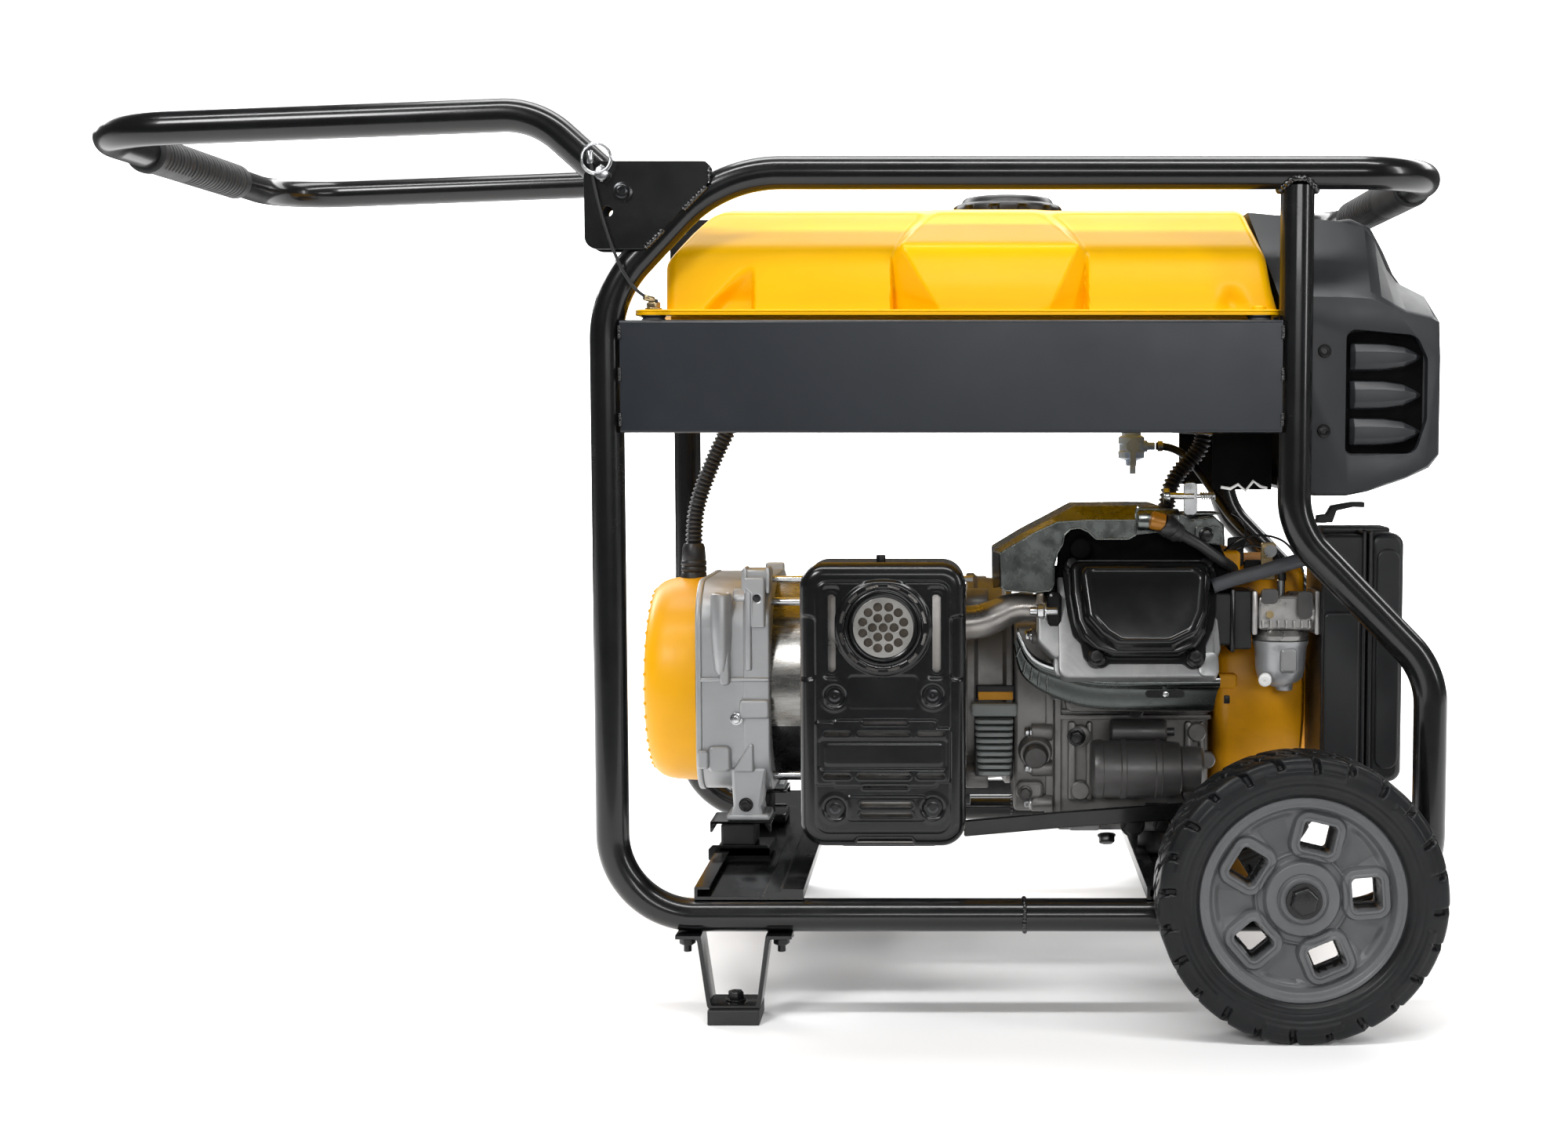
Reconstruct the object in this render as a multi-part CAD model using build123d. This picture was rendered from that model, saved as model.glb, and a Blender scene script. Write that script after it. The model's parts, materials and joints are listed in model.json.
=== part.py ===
# Portable open-frame generator, millimetres, +Z up, muffler side towards -Y, wheels and control end towards +X.
import math
import os
from build123d import *

os.makedirs("parts", exist_ok=True)

# ------------------------------------------------------------------ driving dimensions
TUBE_R = 15.0            # frame and handle tube, 30 mm outside
TUBE_I = 13.2            # bore of that tube
YS = 265.7               # frame side planes at Y = +-YS
Z_TOP = 763.0            # top rail centre
Z_BOT = 96.0             # bottom rail centre
X_LEFT = -320.0          # left post centre
X_UP = 294.0             # right upper post centre
X_LOW = 419.0            # right lower post centre
X_LOOP = 420.0           # cross loop centre at the right end of the top rails
BEND = 75.0              # bend radius, tube centre line
X_SEAM = 53.0            # welded joint in the bottom rails
HANDLE_X = -781.5        # cross tube of the handle
PIVOT = (-301.0, 744.0)  # handle pivot (X, Z)
PIN = (-318.4, 759.6)    # lock pin, handle out
PIN2 = (-314.7, 727.1)   # lock pin hole, handle folded
WHEEL_R = 127.0          # 10 inch wheel
WHEEL_X = 294.0
WHEEL_Z = 127.0
WHEEL_Y = 321.5          # wheel centre plane
WHEEL_W = 64.0
AXLE_R = 8.0
RUN = 0.05               # radial running clearance
ALT_Z = 280.0            # crankshaft and alternator axis
CYL_TILT = 23.0          # cylinder lean
GRIP_R = 19.0            # rubber grips
COLLAR_R = 20.5
X_MIN = HANDLE_X - COLLAR_R
X_MAX = X_LOOP + GRIP_R
OX = -(X_MIN + X_MAX) / 2.0
N = {}


# ------------------------------------------------------------------ helpers
def box(x0, x1, y0, y1, z0, z1):
    return Pos((x0 + x1) / 2, (y0 + y1) / 2, (z0 + z1) / 2) * Box(abs(x1 - x0), abs(y1 - y0), abs(z1 - z0))


def cyl(p, d, r, h):
    # cylinder from p along d for h
    pl = Plane(origin=p, z_dir=d)
    return extrude(pl * Circle(r), amount=h)


def ring(p, d, ro, ri, h):
    pl = Plane(origin=p, z_dir=d)
    return extrude(pl * (Circle(ro) - Circle(ri)), amount=h)


def xz(pts, y0, y1, r=0):
    P = [(x, y0, z) for x, z in pts]
    w = FilletPolyline(*P, radius=r, close=True) if r else Polyline(*P, close=True)
    return extrude(make_face(w), amount=y1 - y0, dir=(0, 1, 0))


def yz(pts, x0, x1, r=0):
    P = [(x0, y, z) for y, z in pts]
    w = FilletPolyline(*P, radius=r, close=True) if r else Polyline(*P, close=True)
    return extrude(make_face(w), amount=x1 - x0, dir=(1, 0, 0))


def xy(pts, z0, z1, r=0):
    P = [(x, y, z0) for x, y in pts]
    w = FilletPolyline(*P, radius=r, close=True) if r else Polyline(*P, close=True)
    return extrude(make_face(w), amount=z1 - z0, dir=(0, 0, 1))


def rect(a0, a1, b0, b1):
    return [(a0, b0), (a1, b0), (a1, b1), (a0, b1)]


def tube(pts, radii, ro, ri=0.0):
    path = FilletPolyline(*pts, radius=radii) if len(pts) > 2 else Polyline(*pts)
    t = path % 0
    pl = Plane(origin=path @ 0, z_dir=t)
    sec = Circle(ro) - Circle(ri) if ri else Circle(ro)
    return sweep(pl * sec, path=path)


def mirror_y(s):
    return mirror(s, about=Plane.XZ)


def hexagon(p, d, af, h):
    pl = Plane(origin=p, z_dir=d)
    return extrude(pl * RegularPolygon(af / 2, 6, major_radius=False), amount=h)


def cord_radii(pts, limit):
    # each arc as large as its two runs take
    P = [Vector(*p) for p in pts]
    out = []
    for a, b, c in zip(P, P[1:], P[2:]):
        u, v = b - a, c - b
        turn = math.radians(u.get_angle(v))
        out.append(min(limit, 0.45 * min(u.length, v.length) / math.tan(turn / 2)))
    return out


def cord(name, pts, r, limit=400.0):
    rad = cord_radii(pts, limit)
    path = FilletPolyline(*pts, radius=rad)
    s = sweep(Plane(origin=path @ 0, z_dir=path % 0) * Circle(r), path=path)
    print(name, "diameter", 2 * r, "length", round(path.length, 1), "bend radii", [round(x, 1) for x in rad],
          "volume over section x length", round(s.volume / (math.pi * r * r * path.length), 4))
    add(name, s)
    return path.length


def both(base, s):
    # the same piece on both sides, in one node
    N.setdefault(base, []).extend([s, mirror_y(s)])


def pair(base, s):
    # the same piece on both sides, each in its own node
    N[base + "_near"] = s
    N[base + "_far"] = mirror_y(s)


def fast(*shapes):
    N.setdefault("fasteners", []).extend(shapes)


def add(name, *shapes):
    N.setdefault(name, []).extend(shapes)


# ------------------------------------------------------------------ frame
y = -YS
near = tube([(X_LOOP - 110, y, Z_TOP), (-218.8, y, Z_TOP), (X_LEFT, y, 656.0), (X_LEFT, y, Z_BOT), (X_SEAM, y, Z_BOT)],
            [127.0, 102.0, BEND], TUBE_R, TUBE_I)
both("frame_tubes", near)
loop = tube([(X_LOOP - 110, y, Z_TOP), (X_LOOP, y, Z_TOP), (X_LOOP, -y, Z_TOP), (X_LOOP - 110, -y, Z_TOP)],
            [BEND, BEND], TUBE_R, TUBE_I)
N["cross_loop_tube"] = loop
rail_cut = cyl((X_UP - 60, y, Z_TOP), (1, 0, 0), TUBE_R, 120)
leg = tube([(X_SEAM, y, Z_BOT), (X_LOW, y, Z_BOT), (X_LOW, y, 318.0), (X_UP, y, 446.0), (X_UP, y, Z_TOP)],
           [BEND, BEND, BEND], TUBE_R, TUBE_I) - rail_cut
both("rear_leg_tubes", leg)
N["top_grip"] = ring((X_LOOP, -150, Z_TOP), (0, 1, 0), GRIP_R, TUBE_R, 300)

# cross members resting on the bottom rails
Z_RAIL = Z_BOT + TUBE_R


def cross_member(x0, x1):
    s = box(x0, x1, -272, 272, Z_RAIL, Z_RAIL + 3)
    s += box(x0, x0 + 3, -272, 272, Z_RAIL + 3, Z_RAIL + 12)
    s += box(x1 - 3, x1, -272, 272, Z_RAIL + 3, Z_RAIL + 12)
    for px in (x0 + 22, x1 - 22):
        s += box(px - 4, px + 4, -240, 240, Z_RAIL + 3, Z_RAIL + 6)
    return s


N["cross_members"] = [cross_member(-246, -147), cross_member(164, 264)]

# handle brackets: two cheeks with a folded top, welded to the sloping tube
slope = tube([(X_LEFT, y, 560), (X_LEFT, y, 656.0), (-218.8, y, Z_TOP), (-60, y, Z_TOP)], [102.0, 127.0], TUBE_R)
cheek = [(-335.3, 759.0), (-326.6, 771.0), (-226.6, 771.0), (-226.4, 751.4), (-282.7, 694.1), (-335.3, 694.1)]


def bracket():
    s = xz(cheek, -284.2, -281.2, 6.0) + xz(cheek, -250.2, -247.2, 6.0)
    for (px, pz), r in ((PIVOT, 5.0), (PIN2, 4.5)):
        s -= cyl((px, -300, pz), (0, 1, 0), r, 60)
    s -= cyl((PIN[0], -300, PIN[1]), (0, 1, 0), 4.5, 60)
    # folded top joining the cheeks
    s += box(-286, -232, -282, -249, 768, 771)
    return s - slope


both("handle_brackets", bracket())

# handle: one bent tube, two sides and a cross tube
hy = -YS
dx, dz = PIN[0] - PIVOT[0], PIN[1] - PIVOT[1]
dl = math.hypot(dx, dz)
dx, dz = dx / dl, dz / dl
hend = (PIVOT[0] - dx * 19, PIVOT[1] - dz * 19)
slope_h = 0.038
# the corner where the diagonal meets the nearly level run
t = (817.1 + slope_h * (0) - PIVOT[1]) / (dz + 0 * slope_h)
hc = (PIVOT[0] + dx * 105.5, PIVOT[1] + dz * 105.5)
zl = hc[1] + slope_h * (HANDLE_X - hc[0])
hp = [(hend[0], hy, hend[1]), (hc[0], hy, hc[1]), (HANDLE_X, hy, zl), (HANDLE_X, -hy, zl), (hc[0], -hy, hc[1]),
      (hend[0], -hy, hend[1])]
N["handle_tube"] = tube(hp, [75.0, 75.0, 75.0, 75.0], TUBE_R, TUBE_I)
for sgn in (-1, 1):
    N["handle_tube"] -= cyl((PIVOT[0], sgn * YS - 20, PIVOT[1]), (0, 1, 0), 5.0, 40)
grip = ring((HANDLE_X, -120, zl), (0, 1, 0), GRIP_R, TUBE_R, 240) + ring((HANDLE_X, -124, zl), (0, 1, 0), COLLAR_R, TUBE_R, 8)
N["handle_grip"] = grip
pb = cyl((PIVOT[0], -292.2, PIVOT[1]), (0, 1, 0), 5.0 - RUN, 48.2) + cyl((PIVOT[0], -290.2, PIVOT[1]), (0, 1, 0), 8.5, 6)
pb += hexagon((PIVOT[0], -247.2, PIVOT[1]), (0, 1, 0), 14, 6)
fast(pb, mirror_y(pb))
# lock pin: head, shank in the cheek's hole, ring
lp = cyl((PIN[0], -285.0, PIN[1]), (0, 1, 0), 4.5 - RUN, 4.1) + cyl((PIN[0], -293.0, PIN[1]), (0, 1, 0), 6.5, 8)
lp += Pos(PIN[0] - 4, -294.6, PIN[1] + 13) * (Rot(90, 0, 0) * Torus(13.0, 1.5))
N["lock_pin"] = lp

# lanyard of the lock pin: free cord in front of the bracket
LY = -289.0
lan = [(-328.6, LY, 784.0), (-327.9, LY, 763.0), (-321.5, LY, 732.0), (-311.5, LY, 698.0), (-298.5, -290.5, 669.0),
       (-283.5, -288.5, 651.5), (-272.0, -281.0, 649.0)]
lan_len = cord("lock_pin_lanyard", lan, 1.5)

# ------------------------------------------------------------------ side panels carrying the tank
panel = box(-307, 281, -279.5, -278, 533, 632.7)
panel += box(-303, 277, -278, -246, 631.2, 632.7) + box(-303, 277, -278, -264, 533, 534.5)
postcut = cyl((X_LEFT, -YS, 500), (0, 0, 1), TUBE_R + 0.01, 200) + cyl((X_UP, -YS, 500), (0, 0, 1), TUBE_R + 0.01, 200)
panel -= postcut
for px in (-279, 262):
    panel -= cyl((px, -258, 600), (0, 0, 1), 4.2, 60)
both("side_panels", panel)
mnt = ring((-279, -258, 632.7), (0, 0, 1), 11.0, 4.2, 4.8) + ring((262, -258, 632.7), (0, 0, 1), 11.0, 4.2, 4.8)
both("rubber_mounts", mnt)
bolts = None
for px in (-279, 262):
    b = cyl((px, -258, 622), (0, 0, 1), 4.0, 26) + cyl((px, -258, 642.5), (0, 0, 1), 7.9, 1.6)
    b += hexagon((px, -258, 644.1), (0, 0, 1), 13, 6) + hexagon((px, -258, 625.2), (0, 0, 1), 13, 6)
    bolts = b if bolts is None else bolts + b
fast(bolts, mirror_y(bolts))

# ------------------------------------------------------------------ fuel tank
TP = [(-270, 642.5), (-270, 688.5), (-237, 731.5), (-215, 738), (256, 738), (270, 697), (280, 642.5)]
TQ = [(-250, 642.5), (-246, 697), (-196, 738), (196, 738), (246, 697), (250, 642.5)]
BQ = [(-257, 642.5), (-256, 700), (-206, 739.5), (206, 739.5), (256, 700), (257, 642.5)]
BP = [(-43.6, 642.5), (-64, 697), (-40, 739.5), (66, 739.5), (104, 697), (90, 642.5)]
TPi = [(-267.5, 630), (-267.5, 687.5), (-235.5, 729.2), (-214.5, 735.5), (254, 735.5), (267.5, 697), (277.5, 630)]
TQi = [(-247.5, 630), (-243.5, 696), (-195, 735.5), (195, 735.5), (243.5, 696), (247.5, 630)]
top = xz(TP, -250, 250) & yz(TQ, -270, 281)
top += xz(BP, -257, 257) & yz(BQ, -64, 104)
top -= xz(TPi, -250, 250) & yz(TQi, -268, 279)
FL = rect(-296, 281.5, -267, 267)
top += xy(FL, 640.0, 642.5, 14) - box(-267.5, 278.5, -247.5, 247.5, 630, 650)
top += ring((42, 0, 735.0), (0, 0, 1), 40, 33, 11.0)
top -= cyl((42, 0, 700), (0, 0, 1), 33, 60)
low = xy(FL, 637.5, 640.0, 14)
low += xz([(-266, 638), (-262, 585), (-236, 562), (250, 562), (274, 585), (277, 638)], -243, 243) & \
    yz([(-243, 638), (-239, 585), (-215, 562), (215, 562), (239, 585), (243, 638)], -266, 277)
low -= xz([(-263.5, 650), (-259.6, 586.5), (-235, 564.5), (249, 564.5), (271.6, 586.5), (274.5, 650)], -241.5, 241.5) & \
    yz([(-241.5, 650), (-237.6, 586.5), (-214, 564.5), (214, 564.5), (237.6, 586.5), (241.5, 650)], -264, 275)
for sx in (-279, 262):
    for sy in (-258, 258):
        top -= cyl((sx, sy, 600), (0, 0, 1), 4.2, 60)
        low -= cyl((sx, sy, 600), (0, 0, 1), 4.2, 60)
low -= cyl((169, 0, 540), (0, 0, 1), 8.0, 40)
N["fuel_tank_upper"] = top
N["fuel_tank_lower"] = low
cap = ring((42, 0, 739.8), (0, 0, 1), 55.5, 42.0, 6.4) + cyl((42, 0, 746.2), (0, 0, 1), 55.5, 17)
cap += cyl((42, 0, 763.2), (0, 0, 1), 47, 6)
for k in range(12):
    a = 2 * math.pi * k / 12
    cap -= cyl((42 + 57 * math.cos(a), 57 * math.sin(a), 735), (0, 0, 1), 5.0, 31)
N["fuel_cap"] = cap
# fuel valve below the tank, with lever and hose
N["fuel_valve"] = cyl((169, 0, 500), (0, 0, 1), 11.5, 34) + cyl((169, 0, 534), (0, 0, 1), 7.9, 38) \
    + hexagon((169, 0, 534), (0, 0, 1), 20, 27.9) + cyl((180, 0, 518), (1, 0, 0), 4.0, 14) + cyl((169, -11, 518), (0, -1, 0), 5.0, 6)
N["fuel_valve_lever"] = cyl((169, -17.4, 518), (0, -1, 0), 7.0, 5) + box(166, 172, -22.4, -18.4, 490, 518)

# ------------------------------------------------------------------ cowl and control panel
CP = [(260, 735.5), (314, 730.5), (343.5, 727.5), (368, 722), (377.7, 710), (388.7, 683.5), (396, 672.5), (424.2, 658.4),
      (429.2, 632.7), (431, 600), (431, 512), (420, 501), (400, 491), (366, 479.5), (346, 475.2), (316.9, 475.2), (288, 488),
      (285, 642), (275, 697)]


def inset(pts, d):
    # shrink a convex-ish closed outline towards its inside by d
    n = len(pts)
    area = sum(pts[i][0] * pts[(i + 1) % n][1] - pts[(i + 1) % n][0] * pts[i][1] for i in range(n))
    s = 1 if area > 0 else -1
    out = []
    for i in range(n):
        (ax, az), (bx, bz), (cx, cz) = pts[i - 1], pts[i], pts[(i + 1) % n]
        u = (bx - ax, bz - az)
        v = (cx - bx, cz - bz)
        lu, lv = math.hypot(*u), math.hypot(*v)
        n1 = (-u[1] / lu * s, u[0] / lu * s)
        n2 = (-v[1] / lv * s, v[0] / lv * s)
        k = 1 + n1[0] * n2[0] + n1[1] * n2[1]
        out.append((bx + d * (n1[0] + n2[0]) / k, bz + d * (n1[1] + n2[1]) / k))
    return out


CY = 238.0
cowl = xz(CP, -CY, CY) - xz(inset(CP, 3), -CY + 3, CY - 3)
RP = [(300, 728), (300, 740), (372, 737), (392, 725), (408, 700), (420, 668), (428, 655), (420, 640), (380, 690), (360, 724)]
cowl += (xz(RP, -118, 118) - xz(CP, -CY - 1, CY + 1))
cowl -= box(431 - 3.5, 440, -172, 172, 519, 626)       # window for the control panel
cowl -= box(424, 427.6, -181, 181, 512.5, 631)          # seat of the panel
cowl -= box(300, 400, -120, 120, 470, 482)             # open underside
for sgn in (-1, 1):                                    # louvres in both side faces
    for z0, z1 in ((590, 611), (554, 578), (523, 546)):
        cowl -= xz([(349, z0), (349, z1), (414, z1 - 5), (414, z0 + 5)], *((-CY - 1, -CY + 4) if sgn < 0 else (CY - 4, CY + 1)))
for sgn in (-1, 1):
    for sz in (606.6, 534.3):
        cowl -= cyl((324.5, sgn * (CY + 1), sz), (0, -sgn, 0), 3.05, 6)
N["control_cowl"] = cowl
scr = None
for sz in (606.6, 534.3):
    s = cyl((324.5, -CY, sz), (0, -1, 0), 6.0, 2.6) + cyl((324.5, -CY, sz), (0, 1, 0), 3.0, 10)
    scr = s if scr is None else scr + s
fast(scr, mirror_y(scr))
PX = 427.5
cp = box(PX - 2.5, PX, -180, 180, 514, 630)
HOLES = [(-95, 572, 24.0), (-15, 572, 24.0), (90, 596, 12.0), (90, 545, 9.0)]
for hy_, hz_, hr_ in HOLES:
    cp -= cyl((PX - 10, hy_, hz_), (1, 0, 0), hr_ + 0.05, 20)


def outlet(yc, zc, r, pins):
    s = cyl((PX - 26, yc, zc), (1, 0, 0), r, 26.8) + (ring((PX, yc, zc), (1, 0, 0), r + 4, r - 1, 1.2))
    for py, pz in pins:
        s -= box(PX - 18, PX + 2, yc + py - 1.2, yc + py + 1.2, zc + pz - 4, zc + pz + 4)
    return s


PINS = [(-9, 0), (9, 0), (0, -10), (0, 10)]
hinges = None
for yc in (-95, -15):
    h = cyl((PX + 4.2, yc - 12, 572 + 36), (0, 1, 0), 1.2, 24)
    for e in (-12, 9):
        h += box(PX, PX + 6.4, yc + e, yc + e + 3, 605.6, 610.4)
    hinges = h if hinges is None else hinges + h
N["control_panel"] = [cp, outlet(-95, 572, 23.95, PINS), outlet(-15, 572, 23.95, PINS), hinges]
for nm, yc in (("outlet_cover_left", -95), ("outlet_cover_right", -15)):
    s = cyl((PX + 1.6, yc, 572), (1, 0, 0), 30, 2.0) + box(PX + 1.6, PX + 3.6, yc - 8, yc + 8, 599, 608)
    s += cyl((PX + 4.2, yc - 8, 608), (0, 1, 0), 2.6, 16)
    N[nm] = s - cyl((PX + 4.2, yc - 20, 608), (0, 1, 0), 1.2 + RUN, 40)
N["engine_switch"] = cyl((PX - 14, 90, 596), (1, 0, 0), 11.98, 15.5) + box(PX + 1.5, PX + 6, 86.5, 93.5, 586, 606)
N["breaker_button"] = cyl((PX - 12, 90, 545), (1, 0, 0), 8.98, 18)
# dark sheet bracket left of the cowl, under the tank
add("mount_brackets", box(228, 283, -201.5, -200, 480, 532) + box(228, 283, -200, 180, 530.5, 532) + box(228, 240, -200, -150, 480, 481.5))

# ------------------------------------------------------------------ alternator
X0, X1 = -324.0, -264.5
ec = cyl((X0 + 6, 0, ALT_Z), (1, 0, 0), 104, X1 - X0 - 6) + Pos(0, 0, 0) * cyl((X0, 0, ALT_Z), (1, 0, 0), 92, 6)
ec -= cyl((X0 + 4, 0, ALT_Z), (1, 0, 0), 88, 4) + cyl((X0 + 8, 0, ALT_Z), (1, 0, 0), 101, 80)
for k in range(6):
    z = 232 + 16 * k
    ec -= box(X0 - 2, X0 + 7, -60, 60, z, z + 6)
N["alternator_end_cover"] = ec
bell = ring((-264.5, 0, ALT_Z), (1, 0, 0), 108, 96, 66.5) + ring((-258, 0, ALT_Z), (1, 0, 0), 97, 21, 8)
for a in (45, 135, 225, 315):
    ly, lz = 122 * math.cos(math.radians(a)), ALT_Z + 122 * math.sin(math.radians(a))
    lug = cyl((-229, ly, lz), (1, 0, 0), 13, 31)
    arm = Plane(origin=(-213.5, 0, ALT_Z), x_dir=(0, math.cos(math.radians(a)), math.sin(math.radians(a))), z_dir=(1, 0, 0))
    lug += extrude(arm * Pos(108, 0) * Rectangle(24, 22), amount=15.5, both=True)
    bell += lug - ring((-230, 0, ALT_Z), (1, 0, 0), 97, 0.5, 40)
    bell -= cyl((-260, ly, lz), (1, 0, 0), 4.3, 80)
for sgn in (-1, 1):
    foot_ = box(-226, -198, min(sgn * 60, sgn * 106), max(sgn * 60, sgn * 106), 151.5, 225) - cyl((-300, 0, ALT_Z), (1, 0, 0), 107, 200)
    bell += foot_ - cyl((-260, sgn * 122 * math.cos(math.radians(45)), ALT_Z - 122 * math.sin(math.radians(45))), (1, 0, 0), 4.3, 80)
bell -= cyl((-264, 0, ALT_Z), (1, 0, 0), 96, 5.9) + cyl((-249.9, 0, ALT_Z), (1, 0, 0), 96, 80)
N["alternator_end_bell"] = [bell]
add("alternator_end_bell", ring((-258, 0, ALT_Z), (1, 0, 0), 20.95, 12.0 + RUN, 8))
N["stator"] = ring((-198, 0, ALT_Z), (1, 0, 0), 105, 70, 198)
N["rotor"] = cyl((-190, 0, ALT_Z), (1, 0, 0), 68, 182) + cyl((-262, 0, ALT_Z), (1, 0, 0), 12, 78)
tb = None
for a in (45, 135, 225, 315):
    ly, lz = 122 * math.cos(math.radians(a)), ALT_Z + 122 * math.sin(math.radians(a))
    s = cyl((-236, ly, lz), (1, 0, 0), 4.0, 258) + hexagon((-236, ly, lz), (1, 0, 0), 14, 7)
    tb = s if tb is None else tb + s
fast(tb)
ad = ring((0, 0, ALT_Z), (1, 0, 0), 108, 84, 46)
for a in (45, 135, 225, 315):
    ly, lz = 122 * math.cos(math.radians(a)), ALT_Z + 122 * math.sin(math.radians(a))
    arm = Plane(origin=(11, 0, ALT_Z), x_dir=(0, math.cos(math.radians(a)), math.sin(math.radians(a))), z_dir=(1, 0, 0))
    lug = cyl((0, ly, lz), (1, 0, 0), 13, 22) + extrude(arm * Pos(108, 0) * Rectangle(24, 22), amount=11, both=True)
    ad += lug - cyl((-1, 0, ALT_Z), (1, 0, 0), 97, 40)
    ad -= cyl((-5, ly, lz), (1, 0, 0), 4.3, 40)
ad -= box(10, 40, -120, -70, 272, 284)
N["alternator_adapter"] = [ad]
vg = box(8, 44, -116, -109.0, 196, 268)
for k in range(7):
    vg += box(10 + k * 4.8, 12 + k * 4.8, -119, -116, 198, 266)
add("alternator_adapter", vg - cyl((0, 0, ALT_Z), (1, 0, 0), 108.05, 60))

# ------------------------------------------------------------------ engine
d = (0, -math.cos(math.radians(CYL_TILT)), math.sin(math.radians(CYL_TILT)))
CX = 158.0
CPl = Plane(origin=(CX, 0, ALT_Z), x_dir=(1, 0, 0), z_dir=d)


def loc(a0, a1, b0, b1, c0, c1, r=0):
    f = Rectangle(a1 - a0, b1 - b0) if not r else RectangleRounded(a1 - a0, b1 - b0, r)
    return extrude(Plane(origin=CPl.from_local_coords(Vector((a0 + a1) / 2, (b0 + b1) / 2, c0)), x_dir=(1, 0, 0), z_dir=d) * f,
                   amount=c1 - c0)


block = box(86, 236, -105, 105, 153, 350)
bore_c = cyl(CPl.from_local_coords(Vector(0, 0, 0)), d, 41.05, 400)
crank_room = box(98, 222, -82, 82, 190, 345)
cc = block - crank_room - cyl((0, 0, ALT_Z), (1, 0, 0), 20.05, 400) - bore_c
cc += box(90, 200, -108, 108, 142, 153)
N["crankcase_cover"] = yz([(-104, 160), (104, 160), (110, 200), (104, 345), (-104, 345), (-110, 200)], 46, 86) \
    - cyl((0, 0, ALT_Z), (1, 0, 0), 20.05, 400) - box(60, 90, -82, 82, 190, 338)
fast(cyl((138, -88, 131.6), (0, 0, 1), 6, 10.3) + hexagon((138, -88, 126), (0, 0, 1), 15, 8))
cr = cyl((-8, 0, ALT_Z), (1, 0, 0), 20, 232) + cyl((224, 0, ALT_Z), (1, 0, 0), 20, 60)
cr += cyl((112, 0, ALT_Z), (1, 0, 0), 62, 18) + cyl((186, 0, ALT_Z), (1, 0, 0), 62, 18)
N["crankshaft"] = cr
barrel = None
for k in range(6):
    s = loc(-66, 66, -50, 50, 104 + 11 * k, 108 + 11 * k)
    barrel = s if barrel is None else barrel + s
barrel += extrude(Plane(origin=CPl.from_local_coords(Vector(0, 0, 84)), x_dir=(1, 0, 0), z_dir=d) * Circle(47), amount=84)
cc += barrel - box(60, 240, -104.9, 150, 100, 349.9)
N["crankcase"] = cc - bore_c
N["piston"] = cyl(CPl.from_local_coords(Vector(0, 0, 96)), d, 41.0, 46)
N["cylinder_head"] = loc(-70, 70, -50, 52, 168.05, 204, 12) - cyl(CPl.from_local_coords(Vector(0, 0, 100)), d, 38, 72)
vc = loc(-66, 66, -50, 50, 204, 222, 16) + loc(-50, 50, -36, 40, 222, 236, 14)
N["valve_cover"] = vc
vb = None
for a, b in ((-56, 40), (56, 40), (-56, -40), (56, -40)):
    p = CPl.from_local_coords(Vector(a, b, 222))
    s = hexagon(p, d, 12, 6)
    vb = s if vb is None else vb + s
fast(vb)
# cooling shrouds
TS = [(26.4, 384), (26.4, 422.3), (40.3, 431.1), (100.9, 463.4), (198.8, 463.4), (212.5, 456.4), (239, 447.6), (241.2, 428)]


def strip(pts, th, y0, y1):
    out = list(pts)
    back = []
    n = len(pts)
    for i in range(n):
        a = pts[max(i - 1, 0)]
        c = pts[min(i + 1, n - 1)]
        ux, uz = c[0] - a[0], c[1] - a[1]
        l = math.hypot(ux, uz)
        back.append((pts[i][0] + uz / l * th, pts[i][1] - ux / l * th))
    return xz(out + back[::-1], y0, y1)


sh = strip(TS, 1.5, -188.5, -70)
sh += xz([(26.4, 422.3), (40.3, 431.1), (100.9, 463.4), (198.8, 463.4), (212.5, 456.4), (239, 447.6), (241.2, 428), (225, 440),
          (200, 449), (159.4, 449.5), (155, 440), (151, 436), (120.7, 436), (97, 436), (85, 424), (82, 414), (82, 388), (77, 384),
          (26.4, 384)], -190, -188.5)
N["cooling_shrouds"] = [sh]
add("cooling_shrouds", xz([(48.5, 348), (60, 330), (86, 315.6), (87, 300), (230, 300), (229.7, 271), (117, 273), (85.8, 282),
                        (64, 295.6), (50, 307.7)], -192, -190.5) + xz([(64, 295.6), (85.8, 282), (117, 273), (229.7, 271), (229.7, 272.6),
                                                                    (117.5, 274.6), (87, 283.5), (65, 297)], -190.5, -150))
# spark plug
add("spark_plug_and_lead", cyl((197, -158, 405), (0, 0, 1), 6.0, 26.9) - loc(-70, 70, -50, 52, 168.05, 204, 12))
add("spark_plug_and_lead", cyl((197, -158, 432.2), (0, 0, 1), 9.0, 14))
cord("spark_plug_and_lead", [(206.2, -158, 439), (222, -158, 437), (235, -156, 421), (247, -150, 410), (254, -140, 402)], 3.5, 30)
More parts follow.
